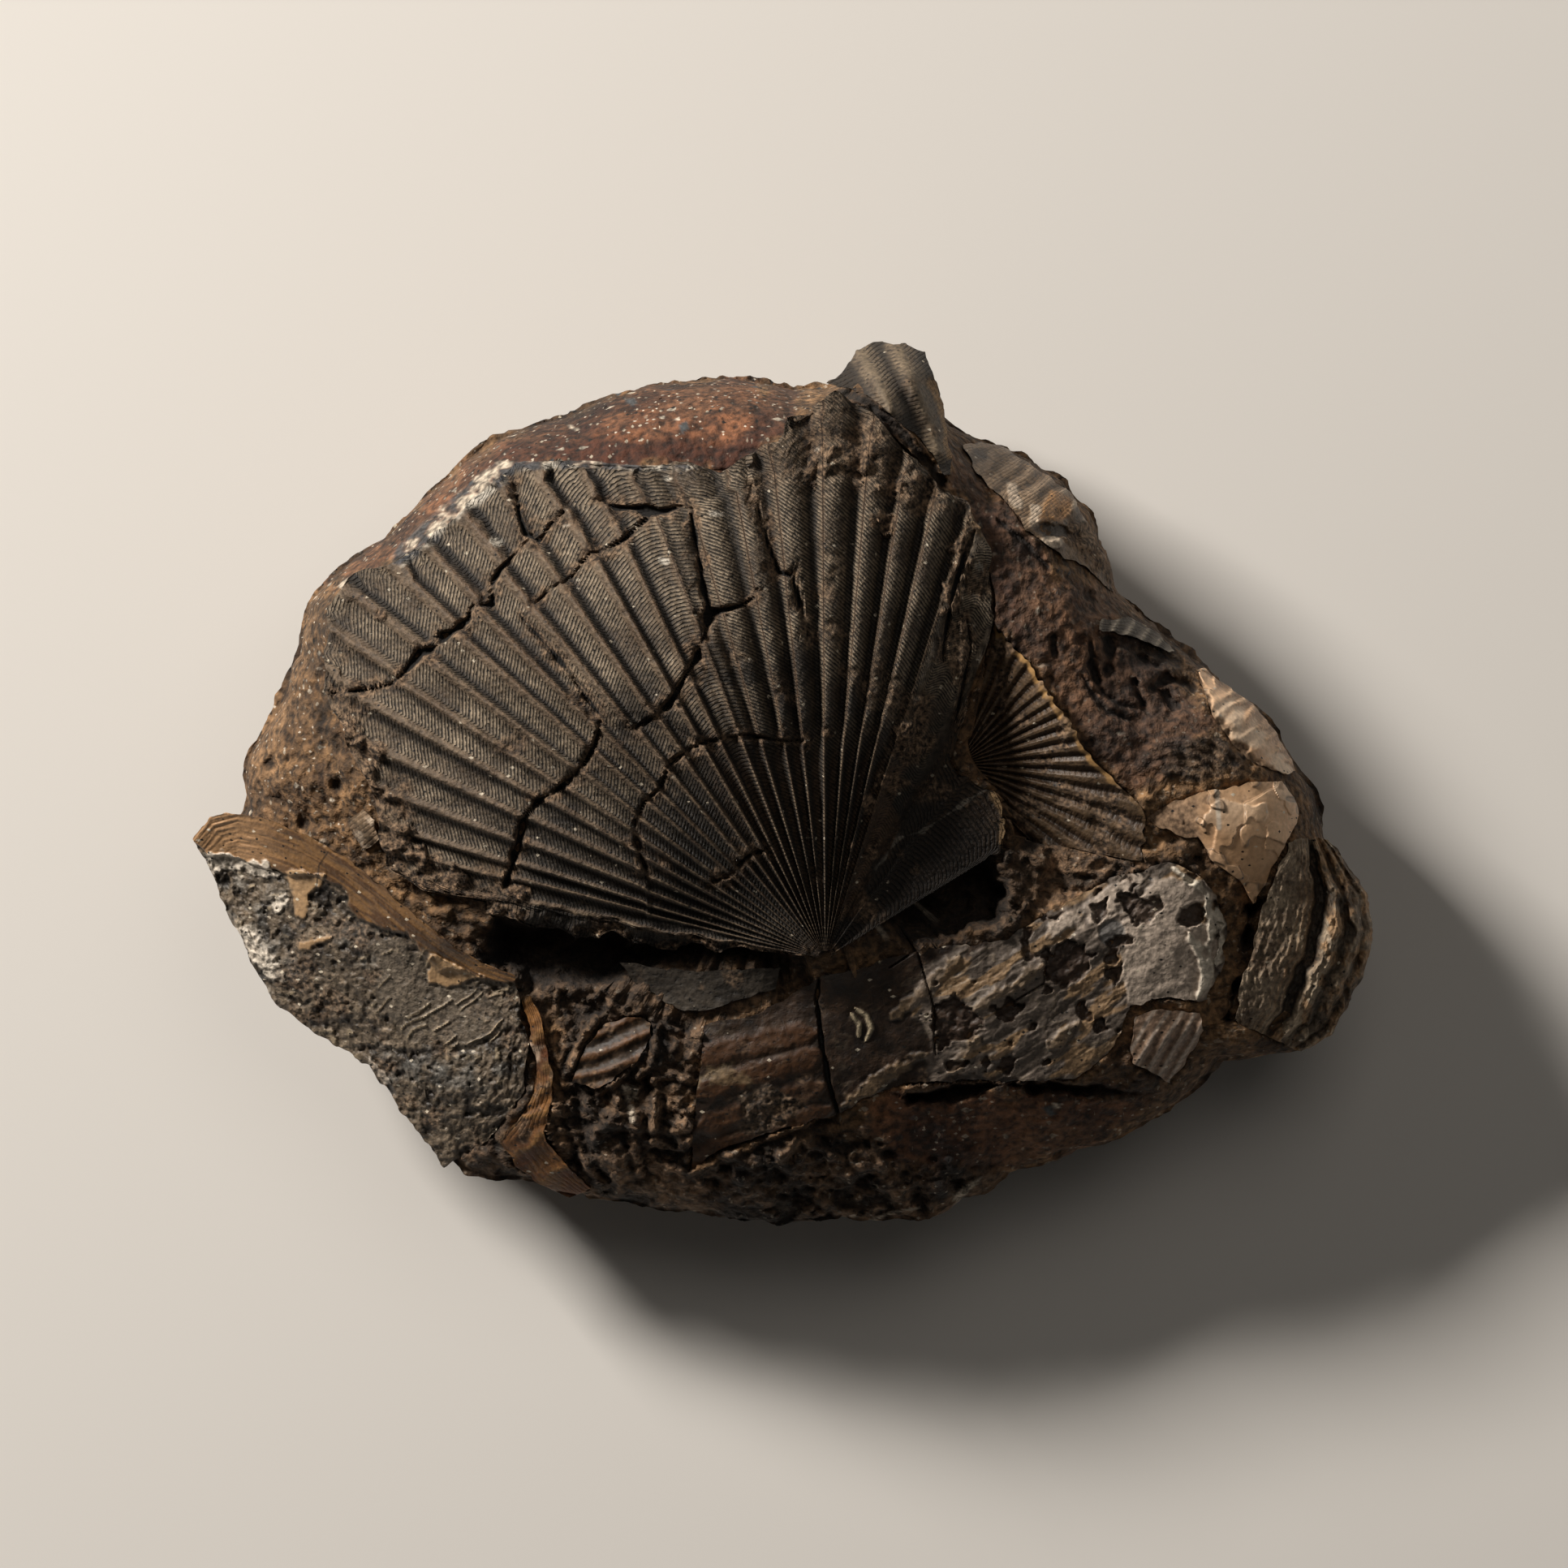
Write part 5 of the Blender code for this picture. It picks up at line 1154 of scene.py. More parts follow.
# %% The lower valve's relief and marks
def dress_lower(x, y, u, v):
    brown = ease(11.0, 6.0, x + 0.8 * lumps(x, y, 3.0, 1))
    fibre = slanted(x, y, 14.0) * brown + slanted(x, y, 33.0) * (1 - brown)
    length = slanted(x, y, -57.0)
    ribs = streaks(AMBER_RIBS, 2.6, x, y, 0.3, 3)
    stumps = streaks(STUMPS, 1.3, x, y, 0.7, 4)
    arcs = streaks(CRESCENTS, 0.5, x, y, 0.1, 5)
    nacre = patch(NACRE_SHEET, x, y, 1.5, 2.0, 6)
    sheet = patches(SMOOTH_SHEET, x, y, 1.0, 1.6, 7)
    scatter = ease(0.6, 0.85, grain(x, y, 3.0, 3, 90)) * nacre * (1 - sheet)
    hole = np.maximum(flakes(HOLES, x, y, 0.35, 0.8, 1.8, 60), scatter * 0.9)
    # Flaked layers: whole steps of a slow relief that is drawn out along the ribs.
    level = 1.7 * grain(length * 0.4, fibre, 4.6, 4, 70) + 4.0
    flaked = (0.3 + 0.7 * nacre) * (1 - 0.8 * sheet)
    step = level - np.floor(level)
    lip = ease(0.0, 0.06, step) * ease(0.3, 0.1, step) * flaked
    cream = streaks(CREAM_EDGE, 0.9, x, y, 0.5, 9)
    gap = line_distance(PLATE_CRACK, x, y)[0] - 0.3 * (1.0 + 0.7 * lumps(x, y, 1.4, 12))
    for line in HAIR_CRACKS:
        gap = np.minimum(gap, line_distance(line, x, y)[0] - 0.08)
    erode = patch(ERODED_AREA, x, y, 1.0, 1.6, 13)
    white = patch(PALE_STREAK, x, y, 0.8, 1.8, 14)
    disc = ease(2.3, 2.0, from_spot(GREY_DISC, x, y))
    rise = 0.4 * ribs * (1 - 0.7 * erode) + 0.5 * stumps + 0.4 * arcs
    rise = rise + 0.12 * (np.floor(level) + ease(0.0, 0.12, step) - 4.0) * flaked
    rise = rise - 1.1 * hole + 0.7 * cream + 0.3 * sheet - 1.2 * ease(0.2, -0.2, gap)
    rise = rise + 0.16 * grain(x, y, 2.4, 3, 15) + 0.3 * (hole + erode) * grain(x, y, 1.1, 3, 16)
    rise = rise + 0.16 * nacre * (1 - sheet) * grain(length * 0.3, fibre, 1.0, 2, 74)
    rise = rise - 0.25 * disc
    clinging = ease(0.4, 0.9, grain(x, y, 6.0, 3, 18)) * (1 - nacre)
    return rise, {
        "growth": fibre + 0.3 * lumps(x, y, 5.0, 17), "crack": gap, "hole": 0.9 * hole,
        "smooth": np.clip(nacre * 0.9 + 0.3 * ribs, 0, 1),
        "soil": np.clip(0.5 * erode + 0.5 * clinging, 0, 1),
        "ribs": ribs * 0.85 * brown, "stumps": stumps * (0.4 + 0.3 * lumps(x, y, 2.0, 19)),
        "arcs": arcs, "nacre": nacre * 0.9, "sheet": sheet, "white": white * 0.35,
        "lip": lip * 0.35 * ease(-0.3, 0.5, grain(x, y, 5.0, 3, 71)), "waxy": 0.2 * nacre,
        "worn_tan": nacre * (1 - sheet) * ease(0.3, 0.5, grain(length * 0.28, fibre, 2.2, 3, 73)),
        "layer": 0.6 * nacre * ease(-0.1, 0.5, grain(length * 0.5, fibre, 5.0, 3, 72)),
        "cream": cream, "erode": erode * 0.8, "disc": disc * 0.6}


# A valve is lined with fine flat layers, so its inside is smoother and paler than its face.
lower_look = shell_look(
    "pearly_calcite", "#3c2815", "#1d120a", worn="#5d4f41", gap="#140d08",
    under=(("ribs", "#523318"), ("nacre", "#85786c"), ("layer", "#494038")),
    over=(("worn_tan", "#94795a"), ("sheet", "#bbab9b"), ("lip", "#a8977f"),
          ("erode", "#4a443b"), ("stumps", "#9b8263"), ("disc", "#6c6f70"), ("hole", "#39271a"),
          ("arcs", "#c4b495"), ("white", "#a8926f"), ("cream", "#d5cbb9")),
    lamella=0.7, depth=0.22, rough=0.5, mottle=300.0, lines=0.5)
broken_plate("lower_pearly_valve", "lower_scallop_valve", LOWER_NEAR, LOWER_FAR, 430, 150,
             lifted(1.0), 2.2, lower_look, dress_lower)

# %% [markdown]
# ## The shell end at the top
#
# Two rounded ribs and a valley of a third scallop stand out over the block's upper edge.
# Fine lamellae cross them, and the right rim is amber.

# %% The shell end at the top
TOP_NEAR = [
    (8.8, 63.7), (13, 62.3), (15.2, 60.8), (17.4, 58.6), (20.4, 56), (24.2, 52.4), (25.7, 49.4),
]
TOP_FAR = [
    (6.9, 64.1), (10.3, 66.8), (11.6, 69.7), (14.8, 70.7), (19.4, 71), (22.4, 69.7), (23.3, 66.4),
    (25.2, 61.9), (26.1, 57.3), (26.8, 52.8), (26.9, 49.4),
]
TOP_SPOTS = [
    (8.8, 63.7, 56), (16.1, 60.6, 60.5), (25.2, 50.8, 59.5), (11.6, 69.4, 43), (17.4, 70.7, 41),
    (22.6, 68.9, 42), (26.1, 58, 49), (26.8, 52.8, 55), (19.4, 64.5, 55), (14.2, 66.4, 52),
]
TOP_CRESTS = [
    [(12.2, 69.4), (13.8, 66.8), (15.3, 64), (17.2, 59.8)],
    [(18.2, 70.5), (20, 66.8), (21.8, 62.4), (23.7, 57.5), (24.7, 53.3)],
]
TOP_AMBER_RIM = [(23.7, 64.5), (26, 58), (26.8, 52.8)]


def dress_top(x, y, u, v):
    away = np.minimum.reduce([line_distance(line, x, y)[0] for line in TOP_CRESTS])
    crest = np.exp(-(away / 1.75) ** 2)
    growth = slanted(x, y, 28.0) + 0.6 * crest
    rise = 2.8 * crest - 1.3 + 0.25 * grain(x, y, 3.0, 4, 3)
    away = line_distance(TOP_AMBER_RIM, x, y)[0]
    amber = ease(1.0, 0.3, away + 0.5 * grain(x, y, 1.6, 2, 4)) * 0.8
    soil = ease(0.3, 0.9, grain(x, y, 4.0, 3, 6)) * 0.5
    # Painted shade: the valley between the two ribs is drawn dark.
    return rise, {"growth": growth, "crest": ease(0.5, 1.1, crest), "amber": amber, "soil": soil,
                  "shade_and_stain": ease(0.5, 0.05, crest) * 0.92}


# Weathered rib calcite: matt and earthy, pale where the crests were rubbed bare.
top_look = shell_look(
    "dark_calcite", "#86755f", "#4c3e30", worn="#7b6c57", gap="#261c13",
    under=(("shade_and_stain", "#1f1811"),), over=(("amber", "#b58f5e"),), depth=0.2, lines=0.8)
broken_plate("top_shell_end", "top_ribbed_shell", TOP_NEAR, TOP_FAR, 180, 110,
             survey(TOP_SPOTS), 2.6, top_look, dress_top)

# %% [markdown]
# ## The layered slab at the right
#
# The right edge is a thick old oyster, dark grey and built up of layers. Broken across, the
# layers show as ridges along its length, with one deep groove.

# %% The layered slab
EDGE_NEAR = [(81.4, -9.1), (78.8, -15.1), (75.8, -23.9), (73.8, -30.4), (72.2, -38)]
EDGE_FAR = [
    (87.6, -8.8), (91.5, -14.2), (93.9, -18.1), (95, -23.9), (93.5, -30.4), (88.3, -40.2),
    (83.2, -43.2),
]
EDGE_SPOTS = [
    (81.4, -9.1, 43), (78.8, -15.1, 44), (75.8, -23.9, 43), (73.8, -30.4, 42), (72.2, -38, 39),
    (87.6, -8.8, 35), (93.9, -18.1, 32), (95, -23.9, 31), (93.5, -30.4, 31), (88.3, -40.2, 30),
    (83.2, -43.2, 30), (84.4, -23.9, 39.5), (86.3, -17.4, 39), (91.3, -18.7, 37),
    (92, -25.2, 36.5), (89.6, -33, 35.5),
]
# The layers' profile across the slab: shares of its width, and heights in mm.
LAYER_PLACES = [
    0.0, 0.05, 0.2, 0.34, 0.42, 0.47, 0.53, 0.6, 0.66, 0.71, 0.76, 0.81, 0.86, 0.9, 0.95, 1.0,
]
LAYER_RISES = [
    0.0, 0.5, 0.6, 0.5, 0.1, -2.2, -2.0, 0.5, 0.8, -1.0, -1.1, 0.5, 0.7, -0.9, 0.5, -0.1,
]


def dress_edge(x, y, u, v):
    wavy = v + 0.02 * lumps(u * 30, v * 4, 1.6, 3) + 0.02 * lumps(u * 30, v * 9, 4.0, 4)
    dip = np.interp(wavy, LAYER_PLACES, LAYER_RISES)
    dip = dip * np.interp(u, [0, 0.1, 0.92, 1], [0.3, 1, 1, 0.4])
    layers = np.sin(wavy * 2 * np.pi * 17 + 1.6 * lumps(u * 9, v * 5, 1.0, 5))
    broken = ease(0.35, 0.6, v)
    chipped = ease(0.2, 0.6, grain(x, y * 0.5, 2.4, 3, 16)) * broken
    lined = 0.3 + 0.7 * ease(0.18, 0.3, v)
    rise = dip + 0.12 * layers * lined * (1 - 0.5 * broken) - 0.8 * chipped
    rise = rise + (0.18 + 0.5 * broken) * grain(x, y * 0.7, 1.8, 4, 7)
    rise = rise + 0.3 * grain(x, y * 0.6, 0.8, 2, 8)
    worn = broken * ease(0.2, 0.8, dip) * ease(-0.1, 0.8, grain(x, y * 0.6, 1.4, 4, 9)) * 0.6
    tan = broken * ease(-0.2, 0.4, grain(x, y * 0.7, 1.4, 4, 10)) * 0.85
    tan = np.maximum(tan, 0.4 * ease(0.12, 0.0, abs(v - 0.36)) * ease(-0.3, 0.5, layers))
    # Painted shade: the deep grooves and the chipped places are drawn dark.
    deep = np.maximum(ease(-0.2, -1.4, dip) * 0.9, 0.7 * chipped)
    return rise, {"growth": wavy * 26.0, "smooth": 0.75, "worn": worn, "tan": tan,
                  "deep": deep, "soil": 0.4 * ease(0.3, 0.9, grain(x, y, 4.0, 3, 12))}


# A stack of thin calcite sheets on its edge: dull, with dark gaps that hold the dirt, and painted
# shade in its grooves.
edge_look = shell_look(
    "layered_grey_calcite", "#c6b297", "#6b5946", worn="#8d806f", gap="#231b13",
    over=(("worn", "#a8977e"), ("tan", "#b38e66"), ("deep", "#17110c")),
    lamella=0.9, depth=0.35, rough=0.6, lines=0.6)
broken_plate("right_layered_slab", "right_edge_oyster", EDGE_NEAR, EDGE_FAR, 170, 130,
             survey(EDGE_SPOTS), 4.5, edge_look, dress_edge)

# %% [markdown]
# ## Waxy tan shells
#
# Tan calcite is shell in its first smooth state: waxy, with pearly white where it flaked.

# %% Tan shells
TAN_NEAR = [(58, -5.5), (62.9, -2.5), (69.4, -0.8), (75.3, 0.4), (79.8, 0.3), (82.2, -2.3)]
TAN_FAR = [
    (62.1, -7.8), (66.8, -8.6), (68.8, -12.5), (73.3, -15.3), (75.4, -19.5), (80.1, -9.9),
    (82.7, -5.2),
]
TAN_VEIN = [(69, 4.7), (69.4, -1.8), (69.7, -7)]


def dress_tan(x, y, u, v):
    # The shell came off in leaves: each leaf's edge is a low step with a hair crack along it.
    leaf = grain(x, y, 6.0, 3, 4)
    step, upper = ease(-0.06, 0.06, leaf), ease(0.28, 0.36, grain(x, y, 5.0, 3, 5))
    rise = 0.35 * step + 0.3 * upper + 0.08 * grain(x, y, 3.0, 3, 6) + 0.4 * ease(0, 0.4, v)
    near_soil = 0.6 * ease(0.4, 0.8, grain(x, y, 2.6, 3, 7)) * ease(0.5, 0.1, v)
    left_soil = 0.85 * ease(0.40, 0.22, u + 0.08 * grain(x, y, 3.0, 3, 8))
    return rise - 0.8 * ease(0.35, 0.1, u), {
        "crest": 0.6, "smooth": 1.0, "waxy": 0.8, "pale": 0.5 * ease(0.55, 0.15, v) * upper,
        "vein": 0.7 * ease(0.55, 0.2, line_distance(TAN_VEIN, x, y)[0]),
        "step": (1 - step) * 0.4, "crack": abs(leaf) * 2.4 - 0.06,
        "soil": np.maximum(near_soil, left_soil)}


# Dense calcite without pores: light sinks in a little, so it looks waxy and shines.
tan_look = shell_look(
    "tan_calcite", "#efc9a2", "#cfa278", worn="#e6bd94", gap="#7b5f44",
    over=(("step", "#a07a55"), ("pale", "#e6cdb0"), ("vein", "#e8dfce")), depth=0.12, rough=0.4)
broken_plate("tan_broken_shell", "tan_shell", TAN_NEAR, TAN_FAR, 150, 110, lifted(1.2), 2.2,
             tan_look, dress_tan)

# %% The shoulder shell
SHOULDER_NEAR = [(66.3, 18.2), (68.4, 11.4), (72.3, 6.2), (76.2, 3), (80.6, 1.4)]
SHOULDER_FAR = [(67.6, 18.5), (71, 15.9), (75.9, 12.2), (79.8, 7.3), (82.4, 2.3)]


def dress_shoulder(x, y, u, v):
    fold = np.sin(u * 2 * np.pi * 9 + 2.0 * lumps(u * 8, v * 2, 1.0, 3))
    frill = ease(0.62, 0.9, v + 0.08 * fold)
    broken = ease(0.24, 0.02, v + 0.12 * grain(x, y, 2.0, 3, 5))
    rise = 0.2 * fold * (1 - frill) + 0.8 * fold * frill + 0.25 * grain(x, y, 2.0, 3, 4)
    return rise - 0.8 * broken, {
        "growth": u * 22.0, "smooth": 1.0, "waxy": 0.6 * (1 - frill),
        "pale": 0.8 * ease(-0.2, 0.6, grain(x, y, 4.0, 3, 7)) * (1 - broken) * (1 - frill),
        "step": 0.9 * frill * ease(0.5, -0.5, fold), "soil": 0.85 * broken}


broken_plate("tan_shoulder_shell", "right_shoulder_shell", SHOULDER_NEAR, SHOULDER_FAR, 150, 60,
             lifted(1.4), 2.4, tan_look, dress_shoulder)

# %% [markdown]
# ## Slivers and chips
#
# The small pieces are the same kinds of shell again: an amber sliver that stands on edge
# along the oyster, a fluted pinkish shard, a few ribbed chips and pearly flakes.

# %% Amber sliver
SLIVER_NEAR = [
    (-42.2, -34.6), (-41.1, -38.5), (-40.6, -42.1), (-39.5, -46), (-40.3, -49.9), (-41.7, -52.8),
    (-43.9, -55.6), (-45.6, -58), (-43.7, -60.8), (-39.8, -64.2), (-34.6, -66.6),
]
SLIVER_FAR = [
    (-40.8, -34.1), (-39, -37.7), (-38.2, -41.9), (-37.2, -46.3), (-37.2, -50.2), (-38.2, -53.8),
    (-38.7, -55.9), (-37.4, -58.2), (-35.6, -60.3), (-33.8, -62.4), (-31.2, -65),
]
SLIVER_FLAKE = [(-44.2, -42.4), (-41.6, -41.3), (-38.7, -42.1), (-39.3, -45), (-42.4, -46.3)]


def dress_sliver(x, y, u, v):
    flake = patch(SLIVER_FLAKE, x, y, 0.6, 0.6, 3)
    rust = ease(0.3, 0.8, grain(x, y, 3.5, 3, 4)) * 0.8
    step = np.sin(u * 2 * np.pi * 6 + 2.5 * lumps(x, y, 3.0, 5))
    rise = 0.25 * step + 0.15 * grain(x, y, 2.0, 3, 6) + 0.5 * ease(0.0, 0.5, v)
    return rise, {"growth": v * 4.0 + 0.4 * lumps(x, y, 3.0, 7), "smooth": 0.6,
                  "waxy": 0.3, "pale": flake, "vein": 0.3 * ease(0.2, 0.9, step), "step": rust,
                  "soil": 0.7 * ease(0.45, 0.8, grain(x, y, 2.6, 3, 8))}


# Thin clear calcite: the same wax, but darker and redder where iron got in.
sliver_look = shell_look(
    "honey_calcite", "#93632f", "#57361a", worn="#8f6a3e", gap="#36210f",
    over=(("step", "#6b3d1f"), ("vein", "#a37f4d"), ("pale", "#c2a78f")), depth=0.2, rough=0.6)
broken_plate("amber_sliver", "amber_shell_sliver", SLIVER_NEAR, SLIVER_FAR, 170, 40,
             lifted(1.0), 1.8, sliver_look, dress_sliver)

# %% Fluted shard
SHARD_NEAR = [(55.4, -43.4), (56.4, -37.2), (60.3, -36.1), (66.6, -36.7)]
SHARD_FAR = [(56.2, -45), (61.6, -47.8), (64.5, -44.5), (67.6, -39.5)]


def dress_shard(x, y, u, v):
    across = slanted(x, y, 60.0)
    fold = 0.5 + 0.5 * np.sin(across * 2 * np.pi / 2.0 + 0.8 * lumps(x, y, 4.0, 2))
    rise = 0.4 * fold * ease(0.15, 0.6, v) + 0.12 * grain(x, y, 2.0, 3, 3)
    return rise, {"growth": across, "crest": 0.55, "pale": 0.5 * ease(0.55, 1.0, fold),
                  "step": 0.35 * ease(0.4, 0.0, fold)}


# Leached calcite is chalky: the palest of them all, and it hardly shines.
shard_look = shell_look(
    "pinkish_calcite", "#b89c85", "#8a6f5a", worn="#a88d76", gap="#5d4939",
    over=(("step", "#6f5543"), ("vein", "#c9a877"), ("pale", "#d6c9bb")), depth=0.1, rough=0.4)
broken_plate("fluted_pink_shard", "fluted_shard", SHARD_NEAR, SHARD_FAR, 90, 90, lifted(1.6), 2.0,
             shard_look, dress_shard)

# %% The brown ribbed chip
FRAGMENT_NEAR = [(-34.1, -47.6), (-32, -42.6), (-29.1, -38.7), (-25.7, -37.2), (-22.4, -37.2)]
FRAGMENT_FAR = [(-30.4, -49.1), (-26.1, -46.8), (-23.4, -43.7), (-21.4, -40.8), (-21.2, -38.5)]


def dress_fragment(x, y, u, v):
    fold = 0.5 + 0.5 * np.cos((slanted(x, y, 20.0) + 0.5 * lumps(x, y, 5.0, 2)) * 2 * np.pi / 3.0)
    rise = 0.65 * fold + 0.16 * grain(x, y, 2.0, 3, 3)
    return rise, {"growth": slanted(x, y, -68.0), "crest": ease(0.6, 1.0, fold),
                  "ribs": ease(0.35, 0.9, fold) * 0.9,
                  "soil": 0.8 * ease(0.1, 0.7, grain(x, y, 2.6, 4, 5))}


# Brown rib calcite under a film of mud: rough, so it only catches light on its ridges.
chip_look = shell_look(
    "brown_ribbed_calcite", "#4f3921", "#271b11", worn="#5f4025", gap="#1b130c",
    under=(("ribs", "#65421f"),), over=(("pale", "#c9c3b8"),), depth=0.12, rough=0.5, lines=0.4)
broken_plate("brown_ribbed_chip", "small_ribbed_fragment", FRAGMENT_NEAR, FRAGMENT_FAR, 100, 80,
             lifted(1.2), 2.0, chip_look, dress_fragment)

# %% The dark ear
EAR_NEAR = [(-26, -28.6), (-21.6, -29.4), (-13.8, -30.2), (-6, -29.6), (-0.5, -29.4)]
EAR_FAR = [(-23.4, -32.5), (-20.5, -33.8), (-16.4, -36.5), (-10.7, -36), (-1.3, -32.5)]


def dress_dark_ear(x, y, u, v):
    return 0.12 * grain(x, y, 2.0, 3, 4), {
        "growth": slanted(x, y, -56.0) + 0.5 * lumps(x, y, 5.0, 3),
        "soil": 0.6 * ease(0.3, 0.8, grain(x, y, 4.0, 3, 5))}


# Calcite blackened by the mud round it: nearly no colour, only fine scratches of light.
dark_look = shell_look(
    "dark_striped_calcite", "#4a4238", "#2a241d", worn="#6b6257", gap="#1c1712",
    under=(("ribs", "#5d564c"),), over=(("pale", "#b0a592"),), lamella=0.8, depth=0.16)
broken_plate("dark_striped_ear", "striated_ear_piece", EAR_NEAR, EAR_FAR, 150, 60, lifted(1.0), 1.8,
             dark_look, dress_dark_ear)

# %% The dark ribbed chip
CHIP_NEAR = [(50.2, 24.7), (54.9, 23.7), (61.9, 21.3)]
CHIP_FAR = [(51.2, 26.5), (55.6, 26.8), (60.3, 24.2), (62.7, 21.6)]


def dress_dark_chip(x, y, u, v):
    fold = 0.5 + 0.5 * np.cos(u * 2 * np.pi * 5)
    return 0.8 * fold + 0.1 * grain(x, y, 2.0, 3, 3), {
        "growth": v * 4.0, "crest": 0.5, "pale": 0.4 * ease(0.7, 1.0, fold),
        "ribs": 0.7 * ease(0.3, 0.8, fold)}


broken_plate("dark_ribbed_edge", "dark_ribbed_chip", CHIP_NEAR, CHIP_FAR, 90, 40, lifted(1.2), 2.0,
             dark_look, dress_dark_chip)

# %% Pearly flakes
UPPER_NEAR = [
    (28.6, 54.3), (31.1, 49.9), (36, 44.7), (38.5, 40.8), (42.4, 38), (48.9, 34.1), (53, 31.2),
]
UPPER_FAR = [
    (32.2, 54.7), (36, 54.3), (38.4, 52.5), (42.4, 49.7), (45.4, 47.7), (48.6, 43.2),
    (50.1, 40.2), (52, 35.2), (53, 32),
]
TAN_FLAP = [(40.3, 41.6), (41.6, 45.2), (42.9, 47.3), (45.5, 46), (46, 43.7), (44.5, 41.9)]
FLAP_SHADOW = [(41, 41.3), (44.7, 41.9), (47.1, 40.3), (46.5, 38.5), (42.1, 39.8)]
CREAM_FLAKES = (
    [(36.1, 47.6), (37.2, 47.8), (38.5, 45.2), (38, 43.9), (36.4, 46)],
    [(39, 45.1), (40.2, 45.5), (40.7, 42.4), (39.8, 41.3)],
)
WHITE_OVAL, WHITE_TIP = (42.8, 38.7), (49.4, 40.3)


def dress_upper(x, y, u, v):
    pearly = ease(0.62, 0.5, u + 0.05 * grain(x, y, 3.0, 3, 2))
    fold = 0.5 + 0.5 * np.sin(u * 2 * np.pi * 11 + 1.5 * lumps(u * 9, v * 3, 1.0, 3))
    tan = patch(TAN_FLAP, x, y, 0.6, 0.5, 5)
    cream = patches(CREAM_FLAKES, x, y, 0.6, 0.8, 6)
    under_flap = patch(FLAP_SHADOW, x, y, 0.8, 1.0, 8)
    oval = ease(2.2, 1.8, from_spot(WHITE_OVAL, x, y, 1.9))
    tip = ease(2.0, 1.2, from_spot(WHITE_TIP, x, y, 0.6) + 0.6 * grain(x, y, 1.6, 3, 12))
    bright = ease(0.75, 1.0, v) * ease(0.55, 0.95, fold) * ease(0.35, 0.55, u)
    stony = (1 - pearly) * ease(-0.3, 0.5, grain(x, y, 4.0, 3, 9))
    folds = fold * ease(0.15, 0.8, v) * ease(0.1, 0.3, u) * (1 - 0.8 * tan)
    rise = 1.2 * folds + 0.7 * tan + 0.3 * cream + 0.5 * oval - 1.1 * under_flap
    rise = rise + (0.2 + 0.4 * (1 - pearly)) * grain(x, y, 2.6, 4, 10)
    flaked = ease(0.1, 0.7, fold + 0.3 * grain(x, y, 2.0, 3, 11)) * pearly * (1 - tan)
    # The hollow share is a painted shadow under the tan flap.
    return rise, {"growth": u * 40.0 + 0.5 * lumps(x, y, 4, 3), "flakes": 0.75 * flaked,
                  "smooth": 0.3 + 0.5 * (1 - pearly), "tan": tan, "hollow": 0.85 * under_flap,
                  "white": np.maximum.reduce([0.8 * oval, 0.8 * cream, 0.8 * bright, tip]),
                  "soil": 0.85 * stony * (1 - oval)}


# Flaked layers of pearly calcite: each flake's edge shows white on the grey.
pearl_look = shell_look(
    "pearly_flake_calcite", "#8f7354", "#4b3826", worn="#80705c", gap="#33291f",
    over=(("flakes", "#b0967a"), ("hollow", "#1b140e"), ("tan", "#b98a58"), ("white", "#dac7b0")),
    depth=0.2, rough=0.42, mottle=220.0, lines=0.5)
broken_plate("upper_right_pearl", "upper_right_shell", UPPER_NEAR, UPPER_FAR, 150, 90, lifted(0.9),
             1.8, pearl_look, dress_upper)

# %% The left chip
LEFT_NEAR = [(-69.7, -5.7), (-68.9, -8.8), (-66.8, -10.7)]
LEFT_FAR = [(-67.6, -4.2), (-65.5, -5.7), (-65, -9.1)]


def dress_left(x, y, u, v):
    return 0.8 * np.sin(np.pi * u) * np.sin(np.pi * v) + 0.15 * grain(x, y, 1.6, 3, 3), {
        "growth": u * 5.0, "crest": 0.5, "flakes": 0.7 * ease(0.6, 0.9, v),
        "white": 0.5 * ease(0.2, 0.6, grain(x, y, 2.0, 3, 4)), "soil": 0.4 * ease(0.4, 0.0, v)}


broken_plate("left_pearly_chip", "left_shell_chip", LEFT_NEAR, LEFT_FAR, 50, 40, lifted(1.6), 1.6,
             pearl_look, dress_left)

# %% [markdown]
# ## The stone
#
# The matrix is fine-grained limestone: red-brown and smooth along the top and right, ochre
# and knobbly on the left, dark and crumbly below. It is one mesh, a fan of rings from the
# middle of the block over the outline to a plainer belly. Where a shell lies, the stone is
# kept under it.

